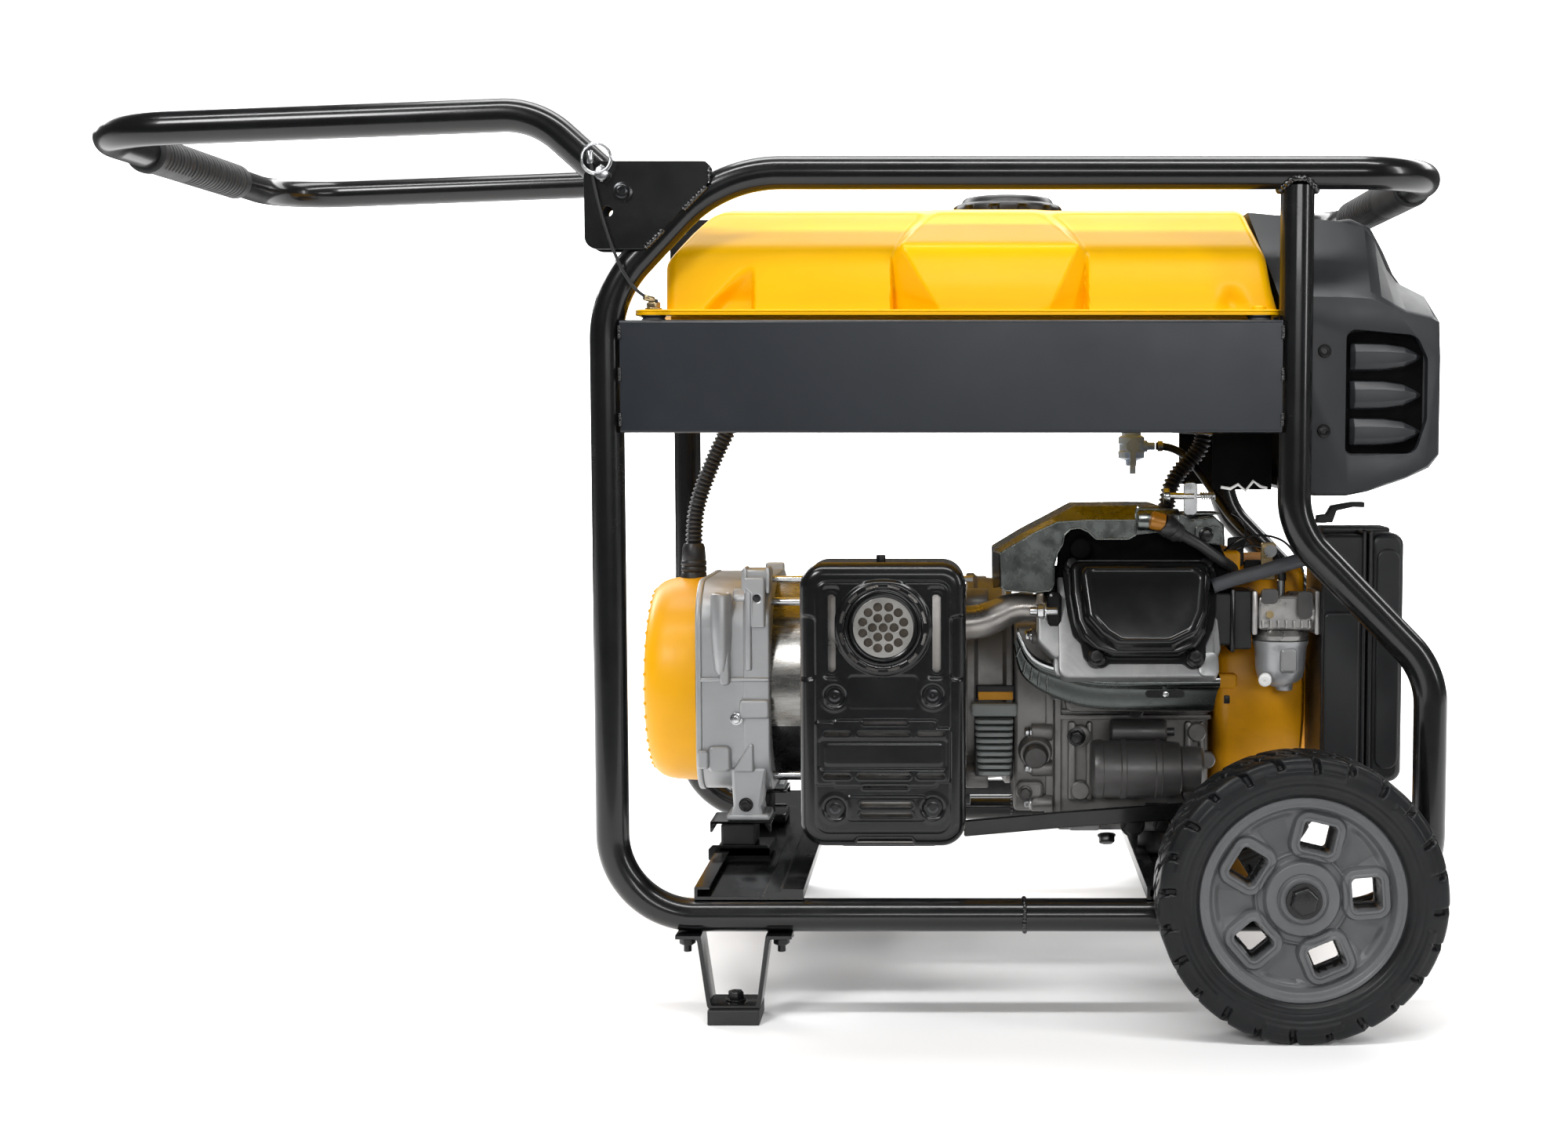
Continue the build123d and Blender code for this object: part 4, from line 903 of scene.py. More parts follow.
us = np.unique(np.round(np.r_[np.linspace(0, 1, 110), [(q_ + 270.0) / 543.0 for q_ in
                                                                 np.r_[np.arange(-78, -20, 1.4), np.arange(74, 122, 1.4), np.arange(-246, -192, 1.8)]]], 5))
rows = []
half = []
for j in range(NS):
    f = j / (NS - 1)
    row = []
    z_here = S0[j][1]
    ya, za = S0[j]
    yb, zb = S1[j]
    xl, xr = xl_of(za), xr_of(za)
    for u in us:
        X = xl + (xr - xl) * u
        # raised middle, its sides slanting with height
        hz = za
        fade = ss((abs(ya) - 150) / 60.0) if abs(ya) < 210 else 1.0
        dent = 0.0
        if hz > 697:
            bl = np.interp(hz, [697, 715, 738], [-68, -60, -44])
            br = np.interp(hz, [697, 715, 738], [112, 102, 84])
            wd = np.interp(hz, [697, 712, 738], [7, 16, 24])
            w = ss((X - bl) / wd) * ss((br - X) / wd) * fade
        else:
            # below the crease: a flat triangular facet on each side, deepest at its outer edge
            s_ = (697.0 - hz) / 54.0
            xa, xb = -68.0, -61.0 + 36.0 * s_
            xc, xd = 105.0 - 28.0 * s_, 112.0
            w = lin((X - xa) / (xb - xa)) * lin((xd - X) / (xd - xc))
            if xa - 3 < X < xb:
                dent = 15.5 * s_ * (lin((X - xa + 3) / 3) if X < xa else 1 - (X - xa) / (xb - xa))
            elif xc < X < xd + 3:
                dent = 15.5 * s_ * (lin((xd + 3 - X) / 3) if X > xd else (X - xc) / (xd - xc))
            # slanted facets pressed in near both ends
            xg = -245.0 + (za - 645.0) * 0.96
            if xg < X < -197:
                dent = max(dent, 11.0 * ss((X - xg) / 16.0) * ss((-197 - X) / 5.0) * lin((682 - za) / 30.0))
            t2 = lin(1 - abs(X - (250 - (za - 645) * 0.15)) / 18.0) * lin((668 - za) / 20.0)
            dent = max(dent, 4.5 * ss(t2))
        Y = ya + (yb - ya) * w + dent
        Z = za + (zb - za) * w
        row.append((X, Y, Z))
    half.append(row)
G = np.array(half)                       # NS x NU x 3
G2 = G[:-1][::-1].copy()
G2[:, :, 1] *= -1
G = np.concatenate([G, G2], 0)
# round the ends: pull the end rows inward
NU = G.shape[1]
verts = G.reshape(-1, 3).tolist()
faces = []
R_, C_ = G.shape[0], G.shape[1]
for i in range(R_ - 1):
    for j in range(C_ - 1):
        faces.append((i * C_ + j, i * C_ + j + 1, (i + 1) * C_ + j + 1, (i + 1) * C_ + j))


# end columns move inward by the rounding first
RN = 11.0
Gs = G.copy()
for j in range(C_):
    t = us[j]
    G[:, j, 0] = Gs[:, j, 0] + (RN * (1 - 2 * t))
verts = G.reshape(-1, 3).tolist()


def endcap2(col, sgn, R):
    base = G[:, col, :]
    prev = [i * C_ + col for i in range(R_)]
    K = 7
    for k in range(1, K + 1):
        a = PI / 2 * k / K
        ins = R * (1 - math.cos(a))
        outw = R * math.sin(a)
        ring = []
        for i in range(R_):
            p = base[i]
            yy = p[1] * (1 - ins / 250.0)
            zz = p[2] - ins * lin((p[2] - 645.0) / 25.0)
            ring.append((p[0] + sgn * outw, yy, zz))
        idx = list(range(len(verts), len(verts) + R_))
        verts.extend(ring)
        for i in range(R_ - 1):
            faces.append((prev[i], prev[i + 1], idx[i + 1], idx[i]))
        prev = idx
    h = R_ // 2
    for i in range(h):
        a, b_ = prev[i], prev[i + 1]
        c_, d_ = prev[R_ - 2 - i], prev[R_ - 1 - i]
        faces.append((a, b_, d_) if b_ == c_ else (a, b_, c_, d_))


endcap2(0, -1, RN)
endcap2(C_ - 1, 1, RN)
tank = mk("fuel_tank_shell", verts, faces, "tank_yellow", angle=60, sharp=False)
flo = rrect(-296, 281.5, -267, 267, 14, 8)
fl = ext("tank_flange", flo, "xy", 640.0, 642.6, "tank_yellow", bev=1.0, seg=3)
tk = join("fuel_tank_top", [tank, fl])
sharpen(tk.data, 55)
rep(tk, "fuel_tank_upper")
tl = soften("fuel_tank_lower", "tank_yellow", 1.5)
DONE.add("fuel_tank_lower")
# fuel cap
def capr(r, h, t):
    if r < 47.5 or h > 17:
        return r
    k = abs(((t * 12 / (2 * PI)) % 1) - 0.5) * 2
    return r - 3.6 * ss((0.42 - k) / 0.25) * (1 if h < 17 else 0)


cp_prof = [(46, 0), (54.2, 0), (55.3, 1.2), (55.4, 3)] + [(55.4, q) for q in (5, 8, 11, 14, 16)] + \
    [(54.6, 18.2), (52.6, 20.2), (49.4, 21.4), (47, 21.8), (46.5, 22.8), (45.2, 25.6), (43.0, 27.6), (38, 28.6), (20, 29.0), (0, 29.2)]
cap = lathe("fuel_cap_moulding", cp_prof, (42, 0, 740.0), (0, 0, 1), "black_plastic", "fuel_cap", seg=240, angle=40, rfun=capr)
rep(cap, "fuel_cap")

# ================================================================= cowl
Mr = [(288, 488), (316.9, 475.2), (346, 475.2), (366, 479.5), (400, 491), (420, 501), (430.6, 512), (430.6, 600), (429.2, 632.7),
      (424.2, 658.4), (398, 671.5), (388.7, 683.5), (377.7, 709), (368, 721), (343.5, 727.5), (314, 730.5), (260, 735.5), (275, 697), (285, 642)]
Nr = [(288, 488), (316.9, 477.5), (346, 477.5), (366, 481.5), (400, 493), (419, 503), (427.8, 513), (427.8, 600), (426.6, 633),
      (421, 636), (398, 641), (388, 645), (376, 650), (366, 653.5), (344, 655), (316, 655.5), (283, 656), (283.8, 650), (285, 642)]
Kr = []
rings = []
for Y, A, w in ((-238, Nr, 0), (-233, None, 0.12), (-190, Mr, 1), (190, Mr, 1), (233, None, 0.12), (238, Nr, 0)):
    if A is None:
        A = [((1 - 0.10) * a[0] + 0.10 * b_[0], (1 - 0.10) * a[1] + 0.10 * b_[1]) for a, b_ in zip(Nr, Mr)]
        A = [(a[0] + (2.2 if a[0] > 415 else 0), a[1] - (1.8 if a[1] < 510 else 0)) for a in A]
        A = [(min(a[0], 430.6), max(a[1], 475.2)) for a in A]
    rings.append([(x, Y, z) for x, z in A])
verts = [p for r_ in rings for p in r_]
n = len(Mr)
faces = []
for i in range(len(rings) - 1):
    for k in range(n):
        k2 = (k + 1) % n
        faces.append((i * n + k, i * n + k2, (i + 1) * n + k2, (i + 1) * n + k))
faces += [tuple(range(n)), tuple((len(rings) - 1) * n + k for k in range(n - 1, -1, -1))]
cowl = mk("control_cowl_shell", verts, faces, "cowl_grey")
for sgn in (-1, 1):
    rec = rp([(344, 512), (344, 627), (408, 621), (418, 600), (418, 545), (408, 514)], [7, 9, 12, 8, 12, 12])
    y0, y1 = sorted((sgn * 225, sgn * 245))
    tool = ext("tool", rec, "xz", y0, y1, "cowl_grey", bev=0)
    cut(cowl, tool)
tool = ext("tool", rrect(-176, 176, 516, 628, 8), "yz", 427.5, 440, "cowl_grey", bev=0)
cut(cowl, tool)
tool = ext("tool", [(262, 470), (262, 640), (291, 640), (291, 470)], "xz", -232, 232, "cowl_grey", bev=0)
cut(cowl, tool)
tool = ext("tool", [(280, 484), (280, 640), (420, 640), (420, 510), (380, 492), (340, 481), (300, 481)], "xz", -222, 222, "cowl_grey", bev=0)
cut(cowl, tool)
bevel(cowl, 3.0, 3, 14)
cowl_parts = [cowl]
for sgn in (-1, 1):
    for z0, z1 in ((587, 614), (552, 580), (519, 546)):
        zc = (z0 + z1) / 2 + 1
        hh = (z1 - z0) / 2
        vs = []
        # fin: blunt at the left, pointed at the right, its face almost flush with the shell
        sec = [(349, hh * 0.96, 5.0), (353, hh * 0.98, 10.2), (380, hh * 0.94, 11.0), (398, hh * 0.72, 10.8), (408, hh * 0.34, 9.0), (414, hh * 0.08, 2.0)]
        for x_, h_, d_ in sec:
            vs += [(x_, sgn * 224, zc - h_), (x_, sgn * (226 + d_ * 0.70), zc - h_ * 0.86), (x_, sgn * (226 + d_), zc - h_ * 0.45),
                   (x_, sgn * (226 + d_), zc + h_ * 0.35), (x_, sgn * (226 + d_ * 0.55), zc + h_ * 0.9), (x_, sgn * 224, zc + h_)]
        fs = []
        for i in range(len(sec) - 1):
            for k in range(5):
                fs.append((i * 6 + k, i * 6 + k + 1, i * 6 + 6 + k + 1, i * 6 + 6 + k))
        fs += [tuple(range(6)), tuple(range(30, 36))]
        fin = mk("fin", vs, fs, "cowl_grey")
        bevel(fin, 1.5, 3, 12)
        cowl_parts.append(fin)
    y0, y1 = sorted((sgn * 225.2, sgn * 226.4))
    # near-black sheet behind the fins: painted shade in the louvre gaps
    cowl_parts.append(ext("louvre_shade_back", rrect(345, 416, 514, 624, 8), "xz", y0, y1, "painted_shade_black", bev=0))
# raised centre of the cowl
RPt = [(300, 727), (368, 737), (388, 728), (400, 706), (410, 684), (428, 660), (428, 645), (300, 645)]
rc_ = ext("cowl_crown", rp(RPt, [3, 10, 10, 4, 6, 8, 3, 3]), "xz", -118, 118, "cowl_grey", bev=5, seg=4)
cowl_parts.append(rc_)
co_ = join("control_cowl_assembly", cowl_parts)
rep(co_, "control_cowl")
for sgn in (-1, 1):
    for zz in (606.6, 534.3):
        s_ = lathe("cs", [(0, 0), (6.0, 0), (6.2, 0.6), (5.6, 2.0), (3.6, 2.6), (2.6, 2.7), (2.3, 1.4), (0, 1.4)], (324.5, sgn * 237.8, zz), (0, sgn, 0), "bolt_black", seg=40)
        FAST.append(s_)

# control end face
cpn = soften("control_panel", "black_plastic", 0.6)
DONE.add("control_panel")
for nm in ("outlet_cover_left", "outlet_cover_right", "engine_switch", "breaker_button"):
    o = soften(nm, "black_plastic", 0.5)
    DONE.add(nm)

# ================================================================= alternator
AZ = 280.0
pf = [(0, -319), (80, -319), (86, -318.6), (91.5, -317.0), (96.2, -313.8), (99.8, -309), (102.2, -303), (103.6, -295), (104.3, -284), (104.7, -274), (105, -265.2),
      (103.2, -264.8), (101, -265.5)]
ec = lathe("alternator_yellow_cover", pf, (0, 0, AZ), (1, 0, 0), "yellow_plastic", seg=160, angle=45)
vents = []
for k in range(40):
    a = 2 * PI * k / 40
    c0 = (-316.2, 91.0 * math.cos(a), AZ + 91.0 * math.sin(a))
    vents.append(lathe("vn%d" % k, [(0, -1.0), (1.6, -0.8), (2.0, 0), (2.0, 1.2), (1.4, 2.2), (0, 2.4)], c0, (-0.75, 0.66 * math.cos(a), 0.66 * math.sin(a)), "yellow_plastic", seg=12))
for k in range(6):
    zc = AZ - 42 + 17 * k
    L = math.sqrt(max(0, 72 ** 2 - (zc - AZ) ** 2))
    vents.append(ext("vs%d" % k, rrect(-L, L, zc - 3, zc + 3, 2.9, 20), "yz", -319.7, -318.5, "black_plastic", bev=0.3))
ecj = join("alternator_cover_moulding", [ec] + vents)
rep(ecj, "alternator_end_cover")

bell = [ext("bell_body", rp([(-106.8, 178), (106.8, 178), (106.8, 386), (-106.8, 386)], [40, 40, 44, 44], 6), "yz", -262, -191, "cast_aluminium", bev=5, seg=4),
        ext("bell_rim", rp([(-108.2, 176), (108.2, 176), (108.2, 388), (-108.2, 388)], [41, 41, 45, 45], 6), "yz", -218, -191.5, "cast_aluminium", bev=2.2, seg=3),
        ext("bell_lip", rp([(-107.8, 177), (107.8, 177), (107.8, 387), (-107.8, 387)], [40, 40, 44, 44], 6), "yz", -264.6, -258.5, "cast_aluminium", bev=1.6, seg=3),
        bx("top_flange", -219, -190, -109, -84, 378, 400, "cast_aluminium", bev=2.5, seg=3)]
for k, xx in enumerate((-217, -195)):
    bell.append(bx("top_rib%d" % k, xx, xx + 4, -111, -86, 376, 401.5, "cast_aluminium", bev=1.6))
for sgn in (-1, 1):
    def yy_(a, b_):
        return sorted((sgn * a, sgn * b_))
    # upright tapering boss with its tongue
    bell.append(lathe("boss", [(0, 0), (4.0, 0), (7.0, 4), (9.2, 24), (10.2, 40), (10.6, 76), (9.6, 79), (7.6, 80), (6.6, 79), (6.4, 72), (0, 72)], (-238.8, sgn * 106.5, 296), (0, 0, 1),
                      "cast_aluminium", seg=48))
    bell.append(bx("tongue", -240.5, -230, *yy_(104, 113), 286, 322, "cast_aluminium", bev=2.8, seg=3, r=4))
    # ear with its hole, ribs, pads and lower bosses
    bell.append(ext("ear", rp([(-209.5, 343), (-195.5, 343), (-195.5, 392), (-216, 392), (-216, 382), (-209.5, 376)], [2, 2, 3, 3, 2, 3]), "xz", *yy_(104, 113.5), "cast_aluminium", bev=1.8,
                    holes=[circ(-203.5, 371.5, 3.6, 24)]))
    bell.append(bx("earweb", -216, -209, *yy_(104, 110.5), 300, 384, "cast_aluminium", bev=2.2, seg=3))
    bell.append(bx("crease", -260, -192, *yy_(104, 109.6), 289, 293.5, "cast_aluminium", bev=1.8, seg=3))
    bell.append(bx("pad1", -221.5, -191.5, *yy_(104, 112.5), 253, 272, "cast_aluminium", bev=2.6, seg=3, r=4))
    bell.append(bx("boss_lo1", -263, -251.5, *yy_(98, 113.5), 203.5, 222, "cast_aluminium", bev=2.4, seg=3, r=3))
    bell.append(bx("boss_lo2", -253, -230, *yy_(98, 111.5), 200, 226, "cast_aluminium", bev=3, seg=3, r=5))
    bell.append(ext("lo_rib", rp([(-230, 200), (-212, 228), (-208, 228), (-208, 200)], 2), "xz", *yy_(103, 110.5), "cast_aluminium", bev=1.8))
    bell.append(ext("leg", rp([(-231, 204), (-228.5, 166), (-232, 153), (-198, 153), (-201, 166), (-195, 204)], [3, 6, 1.5, 1.5, 6, 3]), "xz", *yy_(66, 107), "cast_aluminium", bev=3, seg=3,
                    concave=True))
    bell.append(bx("footpad", -235, -193, *yy_(64, 108), 151.5, 158, "cast_aluminium", bev=2.2, seg=3))
for a in (45, 135, 225, 315):
    ly, lz = 122 * math.cos(math.radians(a)), AZ + 122 * math.sin(math.radians(a))
    bell.append(disc("lug", (-229, ly, lz), (1, 0, 0), 12.8, 36, "cast_aluminium", bev=2.2))
bj = join("alternator_bell_casting", bell)
rep(bj, "alternator_end_bell")
FAST.append(hexb("bellscrew", (-224.5, -108.4, 252.7), (0, -1, 0), 8, 4, "zinc", washer=6.2))
FAST.append(hexb("bellfoot", (-216, -107, 167.6), (0, -1, 0), 10, 4, "bolt_black", washer=7))
FAST.append(disc("gapband", (-191.4, 0, AZ), (1, 0, 0), 104.6, 3.2, "bolt_black", bev=0.5, seg=120))

st_prof = [(92, -199), (104.2, -199), (105, -197.6), (105, -110), (105, -2), (104.2, -0.5), (92, -0.5)]
stt = lathe("stator_band", st_prof, (0, 0, AZ), (1, 0, 0), "stator_steel", seg=180, close=True)
# faces below the through-bolt line take a near-black metal: painted dark reflection on the lower half of the band
stt.data.materials.append(M["stator_painted_reflection"])
for p_ in stt.data.polygons:
    if p_.center.z < 0.243:
        p_.material_index = 1
rep(stt, "stator")
for a in (45, 135, 225, 315):
    ly, lz = 122 * math.cos(math.radians(a)), AZ + 122 * math.sin(math.radians(a))
    FAST.append(disc("tb", (-231, ly, lz), (1, 0, 0), 4.0, 250, "zinc", bev=0.3, seg=24))
    FAST.append(hexb("tbh", (-229.2, ly, lz), (-1, 0, 0), 13, 6, "zinc", washer=8))
for ly, lz in ((-92, 386),):
    FAST.append(disc("tb2", (-203, ly, lz + 3), (1, 0, 0), 3.2, 210, "zinc", bev=0.3, seg=24))

ad = [lathe("adp", [(84, 0), (106.5, 0), (108, 1.5), (108, 8), (104, 12), (102, 36), (108, 40), (108, 44.5), (106.5, 46), (84, 46)], (0, 0, AZ), (1, 0, 0),
            "crank_grey", seg=140, close=True)]
for a in (45, 135, 225, 315):
    ly, lz = 122 * math.cos(math.radians(a)), AZ + 122 * math.sin(math.radians(a))
    ad.append(disc("lug", (0, ly, lz), (1, 0, 0), 12.8, 22, "crank_grey", bev=1.5))
    ad.append(ext("lugarm", [(-14, 96), (14, 96), (9, 122), (-9, 122)], "xz", 0, 22, "crank_grey", bev=1.5,
                  fm=lambda p, h, a=a: (h, p[1] * math.cos(math.radians(a)) - p[0] * math.sin(math.radians(a)),
                                        AZ + p[1] * math.sin(math.radians(a)) + p[0] * math.cos(math.radians(a)))))
# vent guard: stacked rounded louvres in a grey moulding
ad.append(bx("vgf", 5, 50, -117.5, -104, 256, 269, "guard_grey", bev=2.5, r=3))
for k in range(9):
    z_ = 252.5 - 6.4 * k
    w0 = 8.5 + 0.45 * k
    w1 = 46.5 - 0.25 * k
    ad.append(ext("vg%d" % k, rrect(w0, w1, -119 + 0.3 * k, -100, 6), "xy", z_ - 3.4, z_ + 0.6, "guard_grey", bev=1.2))
ad.append(bx("vgback", 9, 46, -108, -100, 196, 256, "black_plastic", bev=1))
ad.append(bx("slot", 10, 48, -108.9, -100, 272, 286, "black_plastic", bev=1.5, r=2))
ad.append(bx("slotlabel", 12, 46, -109.6, -108.4, 271.5, 279.5, "shroud_yellow", bev=0.4))
adj = join("adapter_housing", ad)
rep(adj, "alternator_adapter")

# ================================================================= muffler
PX = 1.405
U0, V0 = 1020.7, 719.6


def mu2x(u):
    return (u - 1126.4) / PX - 75.6


def mv2z(v):
    return 355.5 - (v - 800.7) / PX


def sd_rr(u, v, u0, u1, v0, v1, r):
    cx, cy = (u0 + u1) / 2, (v0 + v1) / 2
    qx = np.abs(u - cx) - (u1 - u0) / 2 + r
    qy = np.abs(v - cy) - (v1 - v0) / 2 + r
    return np.minimum(np.maximum(qx, qy), 0) + np.hypot(np.maximum(qx, 0), np.maximum(qy, 0)) - r


def sstep(d, w):
    t = np.clip(0.5 - d / w, 0, 1)
    return t * t * (3 - 2 * t)


ua = np.arange(1020.7, 1230.81, 1.0)
va = np.arange(719.6, 1084.4, 1.0)
U, V = np.meshgrid(ua, va)
d_out = sd_rr(U, V, 1020.7, 1230.8, 719.6, 1084.2, 30)
H = np.zeros_like(U)                      # + is outwards, mm
Rr = 15.0
dd = np.clip(-d_out, 0, Rr)
H -= (Rr - np.sqrt(Rr ** 2 - (Rr - dd) ** 2)) / PX
# raised field with chamfered border
f1 = sd_rr(U, V, 1040, 1212, 742, 1066, 16)
H += 1.6 * sstep(f1, 5)
# side channels left and right
H -= 0.9 * sstep(sd_rr(U, V, 1049, 1071, 748, 866, 6), 6)
H -= 0.9 * sstep(sd_rr(U, V, 1183, 1206, 748, 866, 6), 6)
rad = np.hypot(U - 1126.5, V - 800.7)
H += 2.6 * sstep(rad - 60, 6)
H -= 2.2 * sstep(rad - 51, 4)
H += 1.8 * sstep(rad - 48.5, 3)
for (cu_, cv_) in ((1064, 889), (1190, 888), (1064, 1035), (1190, 1034)):
    rd = np.hypot(U - cu_, V - cv_)
    H += 0.3 * sstep(rd - 20, 6)
    H -= 2.9 * sstep(rd - 14.0, 4)
# bars between
H -= 0.4 * sstep(sd_rr(U, V, 1080, 1172, 862, 905, 8), 6)
# lower plate with stepped top and bottom edges
plate = np.minimum(sd_rr(U, V, 1040, 1213, 930, 1000, 6), np.minimum(sd_rr(U, V, 1062, 1196, 920, 1006, 6), sd_rr(U, V, 1040, 1064, 922, 1004, 5)))
H += 1.4 * sstep(plate, 4)
H -= 0.9 * sstep(sd_rr(U, V, 1044, 1208, 944, 984, 5), 4)
H += 0.6 * sstep(sd_rr(U, V, 1052, 1202, 951, 978, 4), 4)
# bottom panel
H += 1.4 * sstep(sd_rr(U, V, 1080, 1180, 1018, 1050, 5), 4)
H -= 3.0 * sstep(sd_rr(U, V, 1090, 1166, 1072, 1092, 5), 5)
H -= 2.4 * sstep(sd_rr(U, V, 1014, 1040, 786, 868, 8), 5)
H -= 2.4 * sstep(sd_rr(U, V, 1212, 1238, 786, 868, 8), 5)
hole = (rad < 46)
holes_list = [(1055, 1066, 757, 858, 5), (1189, 1201, 757, 858, 5)]
for vv in (937, 992):
    holes_list += [(1050, 1084, vv - 3, vv + 3, 3), (1093, 1161, vv - 3, vv + 3, 3), (1170, 1205, vv - 3, vv + 3, 3)]
holes_list += [(1096, 1164, 1025.5, 1033.5, 3.5), (1096, 1164, 1039, 1046.5, 3.5), (1100, 1158, 920.5, 925, 2), (1100, 1158, 1004, 1008.5, 2)]
for (a0, a1, b0, b1, r_) in holes_list:
    dh = sd_rr(U, V, a0, a1, b0, b1, r_)
    H += 0.25 * sstep(dh - 2.2, 2.5) - 0.25 * sstep(dh - 1.2, 1.2)
    hole |= dh < 0
for k in range(12):
    a = 2 * PI * (k + 0.5) / 12
    t0 = np.arctan2(V - 800.7, U - 1126.5)
    dt = np.abs((t0 - a + PI) % (2 * PI) - PI)
    hole |= (np.abs(rad - 54.5) < 2.6) & (dt < 0.16)
inside = d_out <= 0.3
idx = -np.ones(U.shape, int)
verts, faces = [], []
use = inside
ks = 0
for i in range(U.shape[0]):
    for j in range(U.shape[1]):
        if use[i, j]:
            idx[i, j] = ks
            verts.append((mu2x(U[i, j]), -239.4 - H[i, j] * 0.9, mv2z(V[i, j])))
            ks += 1
for i in range(U.shape[0] - 1):
    for j in range(U.shape[1] - 1):
        q = (idx[i, j], idx[i, j + 1], idx[i + 1, j + 1], idx[i + 1, j])
        if min(q) >= 0 and not (hole[i, j] and hole[i, j + 1] and hole[i + 1, j + 1] and hole[i + 1, j]):
            faces.append(q)
mc = mk("muffler_stamped_front", verts, faces, "engine_black", sharp=False)
md = mc.modifiers.new("sol", "SOLIDIFY")
md.thickness = 1.4 * MM
md.offset = 1.0
bake(mc)
# choose the inner side as the back: the front skin stays at the surface
walls = []
ol = rrect(1021.2, 1230.3, 720.1, 1083.7, 29.5, 4)
ro = [(mu2x(a), mv2z(b_)) for a, b_ in ol]
n = len(ro)
wv, wf = [], []
cx_, cz_ = -75.6, 283.0
prof_w = [(1.0, -229.5), (1.0, -150.5), (0.985, -150.5), (0.985, -229.5)]
for s_, yy in prof_w:
    for (a, b_) in ro:
        wv.append((cx_ + (a - cx_) * s_, yy, cz_ + (b_ - cz_) * (1 - (1 - s_) * 0.57)))
for i in range(4):
    j = (i + 1) % 4
    for k in range(n):
        wf.append((i * n + k, i * n + (k + 1) % n, j * n + (k + 1) % n, j * n + k))
wl = mk("muffler_wall", wv, wf, "engine_black")
mcj = join("muffler_cover_stamping", [mc, wl])
sharpen(mcj.data, 60)
rep(mcj, "muffler_cover")
mb = soften("muffler_body", "muffler_steel", 3.0, seg=3)
DONE.add("muffler_body")
sa_h = []
for r_, n_ in ((0, 1), (9.9, 6), (19.4, 12)):
    for k in range(n_):
        a = 2 * PI * k / n_ + (0.26 if n_ == 12 else 0)
        sa_h.append(circ(-75.4 + r_ * math.cos(a), 355.5 + r_ * math.sin(a), 4.2, 20))
sa = [ext("sa_disc", circ(-75.4, 355.5, 27.6, 96), "xz", -240.2, -239.0, "arrestor_steel", bev=0.15, holes=sa_h),
      lathe("sa_ring", [(27.4, 0), (29.2, -1.2), (31, -1.4), (32.6, -0.6), (33, 1), (33, 5), (27.4, 5)], (-75.4, -239.6, 355.5), (0, 1, 0), "engine_black", seg=120, close=True),
      lathe("sa_back", [(0, 0), (28, 0), (28, 1), (0, 1)], (-75.4, -237.6, 355.5), (0, 1, 0), "mesh_steel", seg=64)]
saj = join("spark_arrestor_screen", sa)
rep(saj, "spark_arrestor")
for (cu_, cv_) in ((1064, 889), (1190, 888), (1064, 1035), (1190, 1034)):
    p = (mu2x(cu_), -237.3, mv2z(cv_))
    FAST.append(lathe("ms", [(0, 0), (6.4, 0), (6.4, 1.6), (5.4, 2.8), (3.6, 3.2), (2.8, 3.2), (2.6, 1.6), (0, 1.6)], p, (0, -1, 0), "bolt_shine", seg=40))
    FAST.append(hexb("mh", (p[0], p[1] - 1.6, p[2]), (0, -1, 0), 2.6, 1.2, "bolt_black"))
FAST.append(disc("mtop", (-79, -200, 412), (0, 0, 1), 4.4, 7.5, "bolt_black", bev=0.8))
ep = nurbs([(-8, -172, 353), (10, -172, 353), (28, -172, 360), (46, -172, 369), (66, -171, 368), (84, -170, 365)], 12)
ep = resample(ep, 1.5)
rr_ = np.interp(np.linspace(0, 1, len(ep)), [0, 0.3, 0.6, 1.0], [16.5, 16.0, 14.0, 12.0])
e1_ = sweep("exh", ep, rr_, "muffler_steel", seg=48)
e2_ = ext("exf", rp([(46, 384), (64, 390), (82, 384), (88, 362), (78, 342), (60, 338), (48, 345)], 6), "xz", 0, 7, "brown_steel", bev=1,
          fm=lambda p, h: (66 + h, -170 + (p[0] - 67) * 0.7, p[1]))
e3_ = hexb("exn", (75, -187, 366), (-1, 0, 0), 12, 7, "zinc", flange=8)
e4_ = disc("exs", (60, -188, 366), (1, 0, 0), 4, 26, "zinc")
e5_ = hexb("exn2", (73, -150, 372), (-1, 0, 0), 13, 8, "zinc", flange=9)
exj = join("exhaust_elbow", [e1_, e2_, e3_, e4_, e5_])
rep(exj, "exhaust_pipe")

# ================================================================= engine
tilt = math.radians(23)
dvec = np.array([0, -math.cos(tilt), math.sin(tilt)])
bvec = np.array([0, math.sin(tilt), math.cos(tilt)])
CX = 158.0


def L(a, b_, c_):
    q = np.array([CX, 0, AZ]) + np.array([a, 0, 0]) + bvec * b_ + dvec * c_
    return tuple(q)


def lext(name, pts, c0, c1_, mat, bev=0.8, seg=2, holes=()):
    return ext(name, pts, "xz", c0, c1_, mat, bev=bev, seg=seg, holes=holes, fm=lambda p, h: L(p[0], p[1], h))


def lloft(name, rings_, mat, bev=0):
    n_ = len(rings_[0][0])
    vs, fs = [], []
    for pts, c_ in rings_:
        vs += [L(p[0], p[1], c_) for p in pts]
    for i in range(len(rings_) - 1):
        for k in range(n_):
            fs.append((i * n_ + k, i * n_ + (k + 1) % n_, (i + 1) * n_ + (k + 1) % n_, (i + 1) * n_ + k))
    fs += [tuple(range(n_)), tuple((len(rings_) - 1) * n_ + k for k in range(n_ - 1, -1, -1))]
    o = mk(name, vs, fs, mat, sharp=False)
    if bev:
        bevel(o, bev, 3, 20)
    return o


def scl(pts, s_, cx_=0, cy_=0):
    return [(cx_ + (p[0] - cx_) * s_, cy_ + (p[1] - cy_) * s_) for p in pts]


